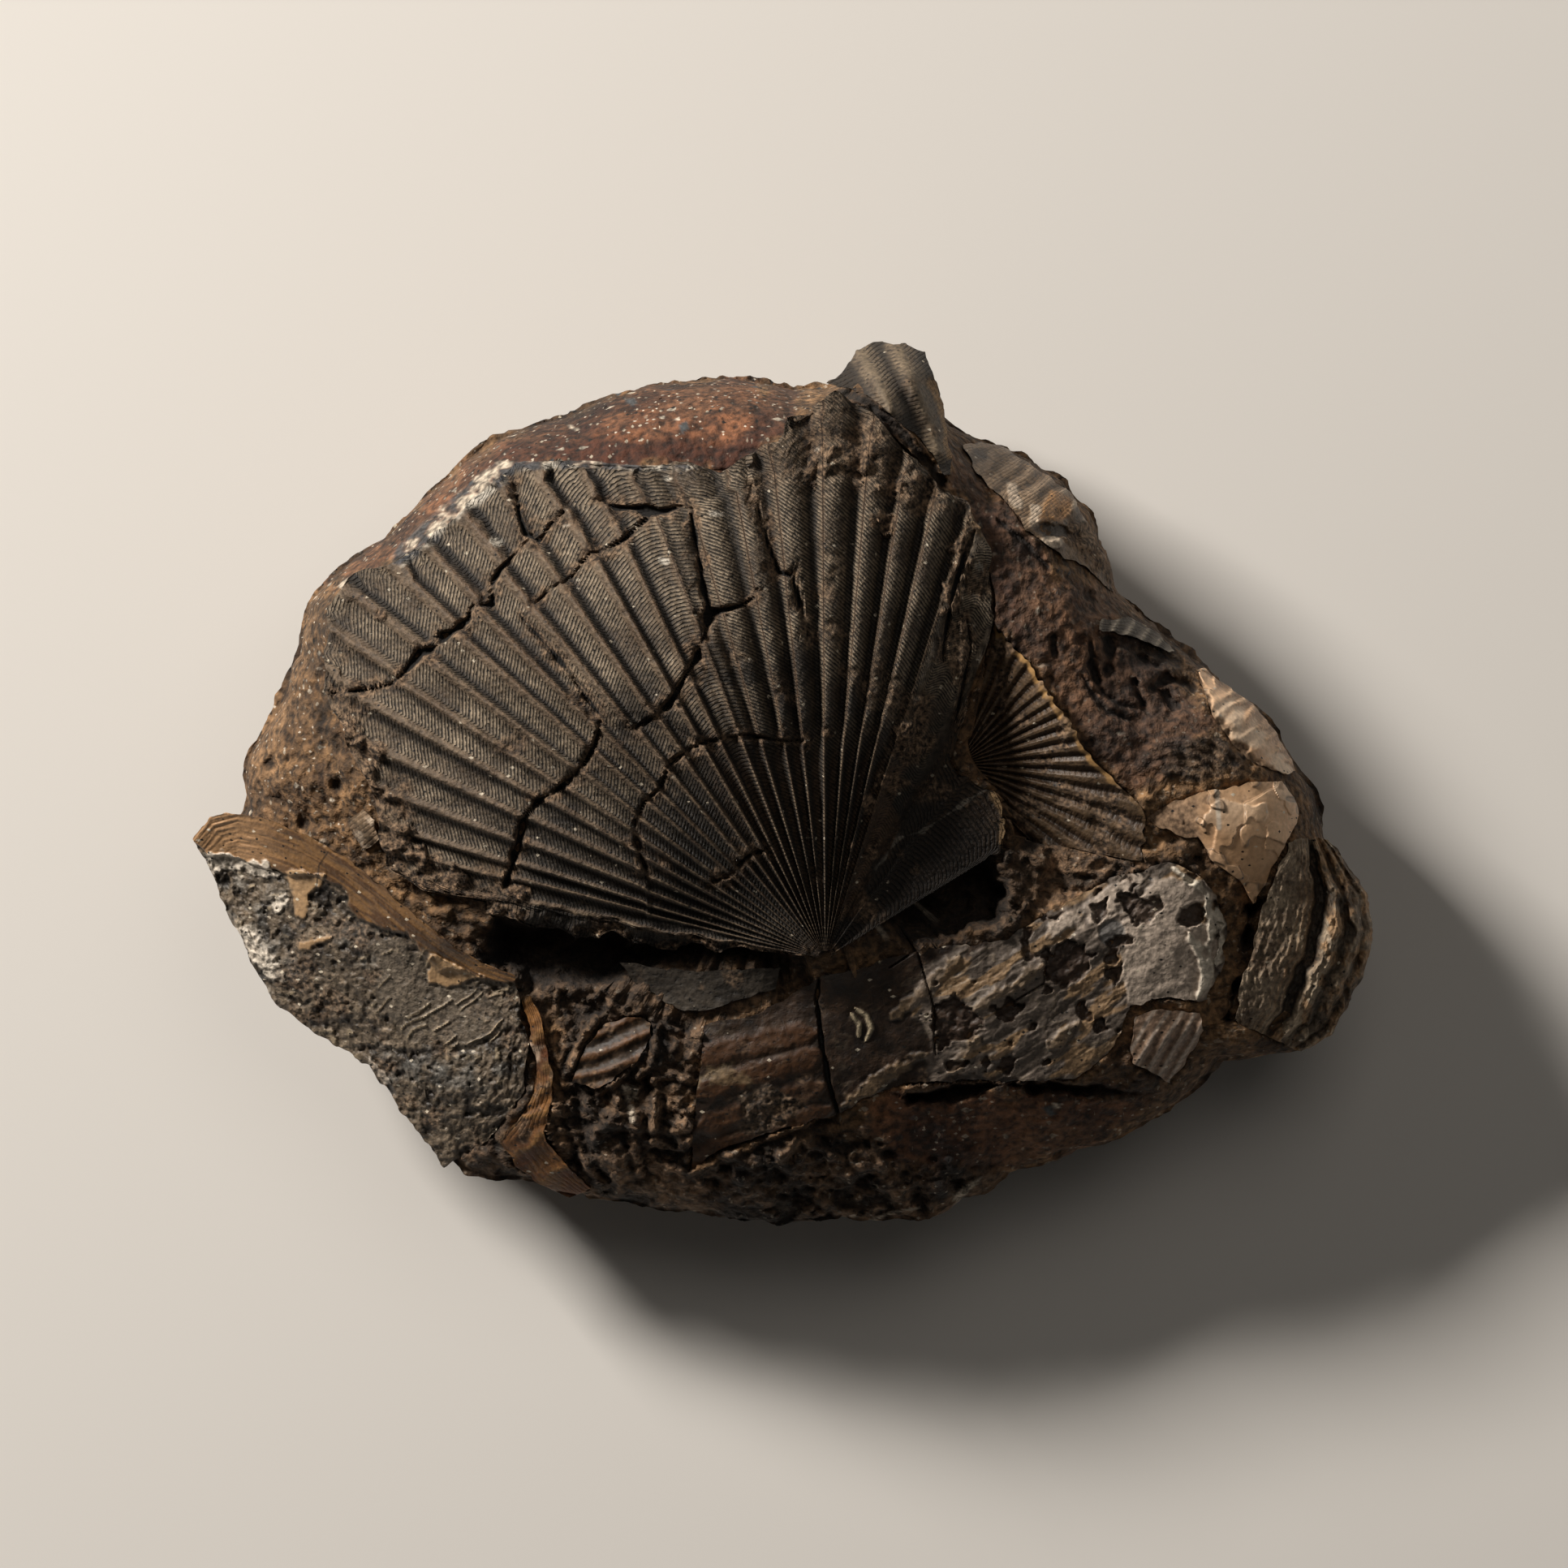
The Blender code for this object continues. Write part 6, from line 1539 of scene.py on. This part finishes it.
# %% Ochre limestone
# Limestone dust on a broken face scatters all light: no gloss, and a roughness of 0.86.
def limestone_look():
    look, tree, shader = new_material("ochre_limestone")

    def add(kind, inputs, out=0, **settings):
        return node(tree, kind, inputs, out, **settings)

    place = add("TexCoord", {}, 3)
    cloud = add("TexNoise", {0: place, "Scale": 75.0, "Detail": 8.0})
    spots = add("TexNoise", {0: place, "Scale": 240.0, "Detail": 8.0, "Distortion": 0.6})
    fine = add("TexNoise", {0: place, "Scale": 800.0, "Detail": 6.0})
    grains = add("TexVoronoi", {0: place, "Scale": 620.0})
    mixed = add("Math", {0: spots, 1: 0.6, 2: cloud}, operation="MULTIPLY_ADD")
    contrast = add("MapRange", {0: mixed, 1: 0.62, 2: 0.96})
    shares = [add("Attribute", {}, 2, attribute_name=label)
              for label in ("rust", "crumbly", "dark", "pale", "slate", "chips", "wine")]
    colour = add("Mix", {0: contrast, 6: tint("#4c3622"), 7: tint("#987550")}, 2, data_type="RGBA")
    rust = add("Mix", {0: contrast, 6: tint("#3d2115"), 7: tint("#8b5b3d")}, 2, data_type="RGBA")
    rust = add("Mix", {0: shares[6], 6: rust, 7: tint("#5c3320")}, 2, data_type="RGBA")
    dark = add("Mix", {0: contrast, 6: tint("#241910"), 7: tint("#94765a")}, 2, data_type="RGBA")
    colour = add("Mix", {0: shares[0], 6: colour, 7: rust}, 2, data_type="RGBA")
    colour = add("Mix", {0: shares[1], 6: colour, 7: dark}, 2, data_type="RGBA")
    # Chips of shell and slate, 0.3 to 1.2 mm long, sharper than round grains.
    for size, wide, least, stretch, code in (
            (230.0, 0.30, 0.58, (1.0, 2.0, 1.0), "#d9cdb9"),
            (380.0, 0.30, 0.46, (1.9, 1.0, 1.0), "#cfc2ac"),
            (640.0, 0.30, 0.48, (1.0, 1.5, 1.0), "#ddd2c0"),
            (190.0, 0.24, 0.60, (1.0, 1.4, 1.0), "#4a4f52"),
            (430.0, 0.32, 0.50, (1.3, 1.0, 1.0), "#160f0a")):
        drawn = add("VectorMath", {0: place, 1: stretch}, operation="MULTIPLY")
        away = add("TexVoronoi", {0: drawn, "Scale": size}, distance="MANHATTAN")
        pick = add("TexVoronoi", {0: drawn, "Scale": size}, 1, distance="MANHATTAN")
        dot = add("MapRange", {0: away, 1: wide, 2: wide * 0.75})
        kept = add("MapRange", {0: pick, 1: least, 2: least + 0.02})
        share = add("Math", {0: dot, 1: kept}, operation="MULTIPLY")
        share = add("Math", {0: share, 1: shares[5]}, operation="MULTIPLY")
        colour = add("Mix", {0: share, 6: colour, 7: tint(code)}, 2, data_type="RGBA")
    # The dark share is dark stone, and painted shade in the hollows, pits and cavities.
    for share, code in ((shares[2], "#120d09"), (shares[3], "#cdbfab"), (shares[4], "#4b4e50")):
        colour = add("Mix", {0: share, 6: colour, 7: tint(code)}, 2, data_type="RGBA")
    shade = add("MapRange", {0: fine, 1: 0.36, 2: 0.64, 3: 0.2, 4: 1.0})
    colour = add("Mix", {0: 1.0, 6: colour, 7: shade}, 2, data_type="RGBA",
                 blend_type="MULTIPLY")
    tree.links.new(colour, shader.inputs["Base Color"])
    shader.inputs["Roughness"].default_value = 0.86
    high = add("Math", {0: fine, 1: 0.9, 2: cloud}, operation="MULTIPLY_ADD")
    high = add("Math", {0: grains, 1: -0.35, 2: high}, operation="MULTIPLY_ADD")
    felt = add("MapRange", {0: shares[0], 3: 1.0, 4: 0.75})
    bump = add("Bump", {"Height": high, "Strength": felt, "Distance": 1.1 * MM})
    tree.links.new(bump, shader.inputs["Normal"])
    return look


stone_look = limestone_look()
print("limestone made of", len(stone_look.node_tree.nodes), "nodes")

# %% Hollows and coloured areas of the stone
VALVE_HOLLOW = [
    (-48.9, -23.9), (-46.5, -21.1), (-34.6, -19.8), (-21.6, -20.3), (-11.2, -20.4), (-3.4, -21.3),
    (3.1, -24.7), (4.4, -27.3), (-0.8, -28.2), (-13.8, -28.3), (-23.9, -31.5), (-29.4, -33.8),
    (-41.1, -32.8), (-47.8, -29.1),
]
EAR_HOLLOW = [
    (16.1, -20.5), (20.8, -17.2), (24.7, -14.3), (29.9, -11.2), (33.3, -10.7), (36.1, -16.4),
    (35.4, -22.6), (30.4, -24.2), (23.9, -25), (16.6, -24.2),
]
EDGE_GAP = [
    (74.1, -19), (73.3, -26.5), (72.4, -30.4), (70.5, -38.5), (72, -38.5), (73.5, -30.4),
    (75, -26.5), (76.7, -18.5),
]
UNDERCUT = [
    (17.9, -49.9), (25.2, -48.6), (34.5, -47.2), (43.4, -47.8), (50.6, -48.6), (57.7, -49.1),
    (62.8, -49.9), (57.7, -50.7), (50.6, -50.4), (42.1, -49.9), (34.5, -49.4), (26.5, -51.5),
    (20, -51.7),
]
# Each hollow: its outline, its floor's height, and how wide its wall slopes.
HOLLOWS = (
    (VALVE_HOLLOW, 41.5, 4.0), (EAR_HOLLOW, 43.0, 3.0), (EDGE_GAP, 31.0, 1.5),
    (UNDERCUT, 35.5, 1.2),
)
# How red each area of the stone is, and its outline.
RUST_AREAS = (
    (1.0, [
        (-73.6, 33), (-64.5, 39.5), (-54.7, 48.6), (-46.9, 55.1), (-35.2, 59), (-28.1, 62.7),
        (-17.7, 64.5), (-7.9, 65.1), (1.2, 63.3), (4.4, 60.6), (-3.4, 52.8), (-8.6, 49.5),
        (-42.4, 49.5), (-60.6, 34.6),
    ]),
    (0.6, [
        (23.9, 58), (35.6, 45), (43.4, 34.6), (53.8, 29.4), (56.4, 21.6), (69.4, 11.2),
        (56.4, -0.5), (47.3, 8.6), (33, 25.5), (30.4, 42.4),
    ]),
    (0.8, [(9.6, -53.8), (17.4, -49.9), (64.2, -49.3), (51.9, -58.1), (38.2, -62), (17.4, -61.6)]),
)
CRUMBLY_AREAS = (
    [
        (-35.9, -31.7), (-13.8, -35.6), (-12.5, -38.2), (-15.1, -61.6), (4.4, -56.4),
        (12.2, -53.8), (18.7, -61.6), (36.9, -62.9), (38.2, -72), (-47.6, -72), (-42.4, -56.4),
        (-35.9, -48.6),
    ],
    [
        (31.1, -10.3), (43.4, -9.6), (57.7, -10.9), (69.4, -9.6), (69.4, -14.8), (56.4, -16.8),
        (42.1, -21.3), (35.1, -23.9), (31.7, -17.4),
    ],
    [
        (-50.2, -25.2), (-34.6, -29.1), (-13.8, -27.8), (1.8, -27.8), (3.1, -31.7),
        (-13.8, -38.5), (-37.2, -38.2), (-45, -34.3),
    ],
    [(61.6, -46), (85, -43.4), (69.4, -47.3), (51.2, -60.3)],
)
# Where a painted shadow lies on the stone between the oyster and the sliver.
SHADED_AREA = [
    (-52.8, -56.9), (-47.6, -49.9), (-42.4, -42.1), (-40.4, -47.3), (-41.3, -52.8), (-46, -57.7),
    (-42.4, -65.5), (-51.5, -64.5),
]
SUNKEN_AREA = [
    (49.3, 24.8), (56.4, 22.9), (62.9, 21.6), (66.8, 15.1), (62.9, 9.9), (56.4, 10.5),
    (50.6, 15.1),
]
print("hollows", len(HOLLOWS))

# %% Pits, cavities and the shells that show in the stone
PITS = [
    (48.6, 30.2, 1.2), (47.3, 23.1, 0.9), (49.3, 6.6, 0.8), (5.7, -60.3, 2), (-0.8, -62.9, 1.7),
    (13.1, -64, 2.2), (21.3, -65.5, 1.5), (27.8, -64.9, 1.6), (-11.2, -64.2, 1.5),
    (16.8, -59.7, 1.2), (23.9, -60.6, 1.1), (2.5, -66.8, 1.2), (-81.4, -2.5, 1.6),
    (-77.2, -6, 1.4), (-71.6, 0.1, 1.5), (-82.7, 3.4, 1.2),
]
# Long cavities at the right, each with its half width in mm.
CAVITIES = (
    (0.7, [(43, 23.4), (43.2, 20.8)]), (0.8, [(48.9, 22.6), (49.4, 20), (49.9, 17.4)]),
    (1.5, [(52, 22.9), (52.5, 20.8), (52, 18.7)]), (0.8, [(48.9, 19), (50.2, 16.6)]),
    (0.7, [(47.6, 17.4), (49.1, 14.8), (51.9, 11.4), (55.4, 10.5)]),
    (0.5, [(49.9, 16.6), (51.5, 14.3), (53.8, 12.7), (56.4, 12.2)]),
    (0.8, [(56.9, 20.5), (59.7, 19)]), (1.0, [(56.4, 16.1), (57.5, 12.7)]),
    (1.3, [(61.1, 14.7), (62.9, 12.5)]), (1.2, [(59, 15.3), (61.6, 16.9), (65.5, 15.6)]),
    (0.7, [(34.3, 42.1), (38.5, 38.7), (42.1, 34.6)]),
    (1.3, [(9.1, 62.5), (13, 61.2), (17.4, 57.3), (22.1, 52.4), (25.2, 48.1)]),
)
# Thin shells on edge below the hollow.
BLADES = (
    [(-21.2, -37.7), (-23.1, -42.9), (-26.3, -47.3), (-29.6, -49.7)],
    [(-20, -38.5), (-20.8, -42.9), (-23.4, -47.3)], [(-34.3, -45), (-32.8, -41.9), (-29.9, -38)],
    [(-20.8, -47.8), (-20.5, -52.8), (-21.3, -57.5)],
    [(-20.8, -47.8), (-17.7, -46.5), (-14.3, -48.1)],
    [(-21.3, -57.5), (-17.7, -58.5), (-13.5, -56.9)],
    [(-14.8, -62.4), (-8.6, -59.7), (-0.8, -56.2), (7, -53)],
    [(-31.7, -51.2), (-28.9, -54.3), (-25.5, -55.4)],
    [(-23.4, -52.8), (-24.7, -56.7), (-23.1, -62.7)],
    [(-33.5, -56.2), (-32.5, -60.3), (-28.9, -64.5)],
)
# Chips and edges of shell that show in the stone: half width in mm, then the line.
PALE_MARKS = (
    (0.9, [(-71.2, 31.7), (-69.7, 33)]),
    (0.3, [(11.8, -22.8), (18.2, -20.4), (24.4, -19.1), (26.4, -19.6)]),
    (0.9, [(35.6, -56.6), (36, -56.8)]), (0.6, [(43.4, -52), (44.2, -51.5)]),
    (0.6, [(27.4, -67), (29.4, -65.3), (31.6, -63.6)]),
    (0.3, [(13.8, -70.5), (17.9, -69), (22.1, -68.4)]), (0.5, [(40.4, 27.8), (40.8, 27.6)]),
    (0.3, [(-30, -22.2), (-25.5, -21.7), (-21.6, -22.6)]), (0.4, [(30.9, 41.6), (31.5, 41.3)]),
    (0.4, [(-74.6, -9.1), (-73.3, -9.6)]), (0.5, [(-46, 57.9), (-44.2, 59)]),
    (0.4, [(-34.6, 57.5), (-33, 56.7)]), (1.3, [(-25.7, -48.6), (-23.9, -50.4)]),
    (0.5, [(-24.7, -51.5), (-24.4, -54.3)]),
)
SLATE_MARKS = (
    (1.1, [(-16.4, 57.1), (-15.5, 56.8)]), (0.6, [(43.7, 34.2), (46, 33.7)]),
    (0.5, [(43.4, 30.8), (44.2, 30.4)]), (0.5, [(55.1, 6.6), (55.6, 6.2)]),
    (0.8, [(42.1, -52), (43.4, -53.3)]), (0.7, [(-25.5, 61.6), (-23.9, 61.1)]),
)
# A leaf-like imprint: a lens of fine curved ridges round a middle.
LEAF_PRINT = [(55.8, 2.7), (59, 6.6), (64.9, 8.2), (70.7, 7), (74.6, 3.9), (69.4, 1.4), (61.6, 1)]
LEAF_MIDDLE, LEAF_PITCH = (62.9, -5.7), 1.5
print("pits", len(PITS), "cavities", len(CAVITIES), "pale marks", len(PALE_MARKS))


# %% Areas and shade of the stone
def stone_areas(x, y):
    """How red, crumbly and calm the stone is at each point, and how far in from the rim."""
    rust, crumbly, calm = np.zeros(x.shape), np.zeros(x.shape), np.zeros(x.shape)
    for red, area in RUST_AREAS:
        share = patch(area, x, y, 3.0, 2.0)
        rust, calm = np.maximum(rust, red * share), np.maximum(calm, share)
    for area in CRUMBLY_AREAS:
        crumbly = np.maximum(crumbly, patch(area, x, y, 3.0, 2.0))
    from_rim = stone_reach(np.degrees(np.arctan2(y, x))) - np.hypot(x, y)
    crumbly = np.maximum(crumbly, 0.35 * ease(9.0, 0.0, from_rim + 3.0 * grain(x, y, 5.0, 3, 83)))
    return rust, crumbly, calm, from_rim


def stone_shade(x, y, rust, calm, shaded, beside_valve):
    """The stone's dark parts, among them the painted shadow of the shaded area, and its wine-red
    parts, before anything is dug out of it.
    """
    wine = ease(-5.5, -3.0, beside_valve + 1.2 * grain(x, y, 6.0, 3, 76))
    wine = wine * ease(16.0, 24.0, y) * ease(-50.0, -40.0, x)
    dark = np.maximum(0.3 * wine * rust, 0.5 * shaded)
    dark = np.maximum(dark, 0.45 * rust * ease(0.35, 0.8, grain(x, y, 5.0, 4, 77)))
    dark = np.maximum(dark, 0.22 * calm * ease(20.0, 30.0, x))
    beside = ease(-9.0, -1.0, beside_valve + 2.0 * grain(x, y, 3.0, 3, 78)) * ease(-52.0, -60.0, x)
    return np.maximum(dark, 0.6 * beside * ease(-0.3, 0.5, grain(x, y, 2.4, 4, 79))), wine


print("red areas", len(RUST_AREAS), "crumbly areas", len(CRUMBLY_AREAS))

# %% What is dug out of the stone, and the painted shade in it
def dig_and_shade(x, y, z, dark, crumbly):
    """Height with pocks, cavities, pits, shell blades and hollows, and the painted shade drawn dark
    in them.
    """
    # Painted shade: the pocks, cavities and pits, the foot of each blade and the sunken area are
    # drawn darker.
    pocked = crumbly * ease(0.15, 0.6, grain(x, y, 3.2, 4, 63))
    z, dark = z - 1.5 * pocked, np.maximum(dark, 0.8 * pocked)
    for half, line in CAVITIES:
        away = line_distance(line, x, y)[0]
        inside = ease(1.0, 0.3, away / half + 0.35 * grain(x, y, 1.4, 3, 64))
        z, dark = z - 1.8 * min(half, 1.0) * inside, np.maximum(dark, 0.9 * inside)
    for *spot, size in PITS:
        near = from_spot(spot, x, y) / size + 0.35 * grain(x, y, 1.6, 3, 65)
        z, dark = z - 1.6 * ease(1.1, 0.3, near), np.maximum(dark, 0.7 * ease(1.0, 0.4, near))
    for line in BLADES:
        away = line_distance(line, x, y)[0] + 0.3 * grain(x, y, 1.8, 3, 68)
        z = z + 0.8 * ease(0.8, 0.2, away) - 0.8 * ease(2.2, 1.0, away) * ease(0.4, 1.0, away)
        foot = ease(2.4, 1.2, away) * ease(0.4, 0.9, away)
        dark = np.maximum(dark * ease(0.2, 0.8, away), 0.7 * foot)
    sunk = patch(SUNKEN_AREA, x, y, 3.0, 1.5, 62)
    z = z - 1.3 * sunk - 0.6 * sunk * abs(grain(x, y, 3.4, 3, 66))
    dark = np.maximum(dark, 0.45 * sunk)
    for hollow, deep_to, wall in HOLLOWS:
        inside = rim_distance(hollow, x, y) + 0.8 * grain(x, y, 2.5, 4, 71)
        down = ease(0.0, wall, inside)
        floor = np.minimum(z, deep_to + 1.2 * grain(x, y, 4.0, 4, 73))
        z = z * (1 - down) + floor * down
        # Painted shadow: each hollow is drawn dark inside, and the two deep ones, under the valve
        # and the ear, also round their rim.
        dark = np.maximum(dark, 0.9 * ease(-1.0, 1.5, inside))
        dark = np.maximum(dark, 0.5 * ease(-9.0, -1.0, inside) * (wall > 2.5))
    return z, dark


print("hollow floors at", [floor for _, floor, _ in HOLLOWS], "mm")

# %% The stone's upper face, dressed
def dressed_stone(x, y):
    """The stone's upper face with its roughness, pits and hollows."""
    rust, crumbly, calm, from_rim = stone_areas(x, y)
    rough = (0.45 + 0.6 * (1.0 - calm) + 0.8 * crumbly) * (0.35 + 0.65 * ease(0.5, 7.0, from_rim))
    z = stone_top(x, y)
    z = z + rough * (0.9 * grain(x, y, 7.0, 4, 61) + 0.8 * abs(grain(x, y, 2.6, 3, 67)))
    z = z + rough * 0.5 * grain(x, y, 1.5, 2, 69)
    # Painted shadow: the stone between the oyster and the sliver is drawn dark and crumbly.
    shaded = patch(SHADED_AREA, x, y, 2.0, 1.5, 84)
    crumbly = np.maximum(crumbly, shaded)
    beside_valve = rim_distance(covers[0][0], x, y)
    dark, wine = stone_shade(x, y, rust, calm, shaded, beside_valve)
    z, dark = dig_and_shade(x, y, z, dark, crumbly)
    near_margin = ease(-3.4, -2.2, beside_valve)
    pale, slate = (near_margin * share for share in pale_band(x, y))
    slate = np.maximum(slate, 0.16 * calm * ease(20.0, 30.0, x) * ease(-10.0, 0.0, y))
    for half, line in PALE_MARKS:
        pale = np.maximum(pale, streaks([line], half, x, y, 0.4 * half))
    for half, line in SLATE_MARKS:
        slate = np.maximum(slate, streaks([line], half, x, y, 0.4 * half))
    lens = patch(LEAF_PRINT, x, y, 0.8, 0.8, 75)
    ridge = np.sin(from_spot(LEAF_MIDDLE, x, y) * 2 * np.pi / LEAF_PITCH)
    z = z + 0.35 * np.maximum(pale, slate) + lens * (0.4 + 0.3 * ridge)
    slate = np.maximum(slate, lens * (0.15 + 0.2 * ridge))
    # The leaf imprint is dark stone, drawn darker still in its grooves as painted shade.
    dark = np.maximum(dark, lens * (0.45 - 0.35 * ridge))
    # Shell crumbs lie thickest at the top rim and at the left.
    chips = ease(-2.0, 6.0, y - 0.25 * abs(x)) * ease(12.0, 4.0, x)
    chips = 0.7 * chips * ease(13.0, 8.0, from_rim)
    chips = chips + 0.4 * ease(-50.0, -62.0, x) + 0.2 * ease(-44.0, -50.0, y) * ease(5.0, 15.0, x)
    chips = np.clip(0.3 + chips, 0, 1)
    return z, {"rust": rust, "crumbly": crumbly, "dark": dark, "pale": pale, "slate": slate,
               "chips": chips, "wine": wine}


print("the stone's face has", len(PALE_MARKS) + len(SLATE_MARKS), "streaks")

# %% The rings of the upper face
around, rings, belly_rings, skip = 760, 106, 40, 2
turn = np.linspace(0.0, 360.0, around + 1)[:-1][:, None] + np.zeros((1, rings))
# The rings crowd into the stone that shows beyond the big valve.
rim_x, rim_y = np.array(VALVE_MARGIN).T
rim_turn = np.degrees(np.arctan2(rim_y, rim_x)) % 360.0
by_turn = np.argsort(rim_turn)
hidden = np.interp(turn[:, 0], rim_turn[by_turn], np.hypot(rim_x, rim_y)[by_turn], period=360.0)
hidden = np.convolve(np.tile(hidden, 3), np.ones(15) / 15, "same")[around:2 * around] - 2.5
hidden = np.minimum(hidden, 0.9 * stone_reach(turn[:, 0]))[:, None]
first = hidden / stone_reach(turn)
share = np.linspace(0.0, 1.0, rings)[None, :]
outer = 1 - (1 - np.clip((share - 0.08) / 0.92, 0, 1)) ** 1.12
share = np.where(share < 0.08, share / 0.08 * first, first + outer * (1 - first))
print("rings start", round(float(hidden.min()), 1), "to", round(float(hidden.max()), 1), "mm out")

# %% The block's sides and its upper face
def side_lumps(turn, high):
    """Relief of the block's sides, outwards, for a direction and a height."""
    round_x, round_y = 90.0 * np.cos(np.radians(turn)), 90.0 * np.sin(np.radians(turn))
    across, up = round_x + 0.8 * high, round_y + 0.6 * high
    return 0.8 * grain(across, up, 7.0, 4, 81) + 0.2 * grain(across, up, 2.4, 3, 82)


plain_x = stone_reach(turn) * share * np.cos(np.radians(turn))
plain_y = stone_reach(turn) * share * np.sin(np.radians(turn))
edge_lumps = side_lumps(turn, stone_top(plain_x, plain_y))
reach = (stone_reach(turn) + edge_lumps * ease(0.8, 1.0, share)) * share
x = reach * np.cos(np.radians(turn))
y = reach * np.sin(np.radians(turn))
z, marks = dressed_stone(x, y)
for rim, surface, skin in covers:
    inside = rim_distance(rim, x, y) > -0.1
    z = np.where(inside, np.minimum(z, surface(x, y) - skin), z)
z = EQUATOR + (z - EQUATOR) * ease(1.0, 0.985, share)
print("the upper face rises to", round(float(z.max()), 1), "mm")

# %% The belly
low_share = np.linspace(1.0, 0.0, belly_rings)[None, :]
low_turn = turn[::skip, :1] + 0 * low_share
low_reach = stone_reach(low_turn) * (1 - (1 - low_share) ** 1.6)
low_x = low_reach * np.cos(np.radians(low_turn))
low_y = low_reach * np.sin(np.radians(low_turn))
low_z = stone_bottom(low_x, low_y)
low_out = 1 + side_lumps(low_turn, low_z) * ease(0.55, 1.0, low_share) / stone_reach(low_turn)
low_x, low_y = low_x * low_out, low_y * low_out
held = ease(0.5, 4.0, low_z) * ease(1.0, 0.93, low_share)
low_z = np.maximum(low_z + held * 1.6 * grain(low_x, low_y, 9.0, 4, 91), 0.0)
print("points above", x.size, "and below", low_x.size)

# %% The stone's mesh
upper = np.dstack([x, y, z])[:, 1:].reshape(-1, 3)
lower = np.dstack([low_x, low_y, low_z])[:, 1:-1].reshape(-1, 3)
poles = [[0.0, 0.0, float(z[0, 0])], [0.0, 0.0, float(low_z[0, -1])]]
at = np.arange(len(upper)).reshape(around, rings - 1)
low = len(upper) + np.arange(len(lower)).reshape(around // skip, belly_rings - 2)
poles_at = len(upper) + len(lower)
after, low_after = np.roll(at, -1, axis=0), np.roll(low, -1, axis=0)
faces = np.stack([at[:, :-1], at[:, 1:], after[:, 1:], after[:, :-1]], -1).reshape(-1, 4).tolist()
belly = np.stack([low[:, :-1], low[:, 1:], low_after[:, 1:], low_after[:, :-1]], -1)
faces += belly.reshape(-1, 4).tolist()
faces += [[poles_at, int(a), int(b)] for a, b in zip(at[:, 0], after[:, 0])]
faces += [[poles_at + 1, int(b), int(a)] for a, b in zip(low[:, -1], low_after[:, -1])]
for k in range(around // skip):
    rim = [int(at[(k * skip + i) % around, -1]) for i in range(skip + 1)]
    faces.append([int(low[k, 0]), int(low_after[k, 0])] + rim[::-1])
mesh = bpy.data.meshes.new("limestone_block")
mesh.from_pydata((np.vstack([upper, lower, poles]) * MM).tolist(), [], faces)
for label, values in marks.items():
    layer = mesh.attributes.new(label, "FLOAT", "POINT")
    # The belly goes on with the colours of the rim above it, and loses them downwards.
    slow = label in ("rust", "crumbly", "chips")
    ragged, *keeps = (0.25, 0.15, 0.8) if slow else (0.04, 0.93, 0.99)
    fade = ease(*keeps, low_share + ragged * grain(low_x, low_z + low_y, 9.0, 3, 95))
    below = values[::skip, -1:] * fade
    if label == "crumbly":
        earthy = ease(0.0, 0.9, grain(low_x, low_y + low_z, 16.0, 4, 96))
        below = np.maximum(below, 0.25 + 0.6 * earthy)
    below = below[:, 1:-1]
    whole = np.concatenate([values[:, 1:].ravel(), below.ravel(), np.zeros(2)])
    layer.data.foreach_set("value", whole.astype(np.float32))
mesh.materials.append(stone_look)
mesh.shade_smooth()
stone = bpy.data.objects.new("limestone_block", mesh)
bpy.context.collection.objects.link(stone)
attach(stone, "root")
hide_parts("matrix_rock")
print("stone faces", len(faces), "height", round(float(z.max()), 1), "mm")
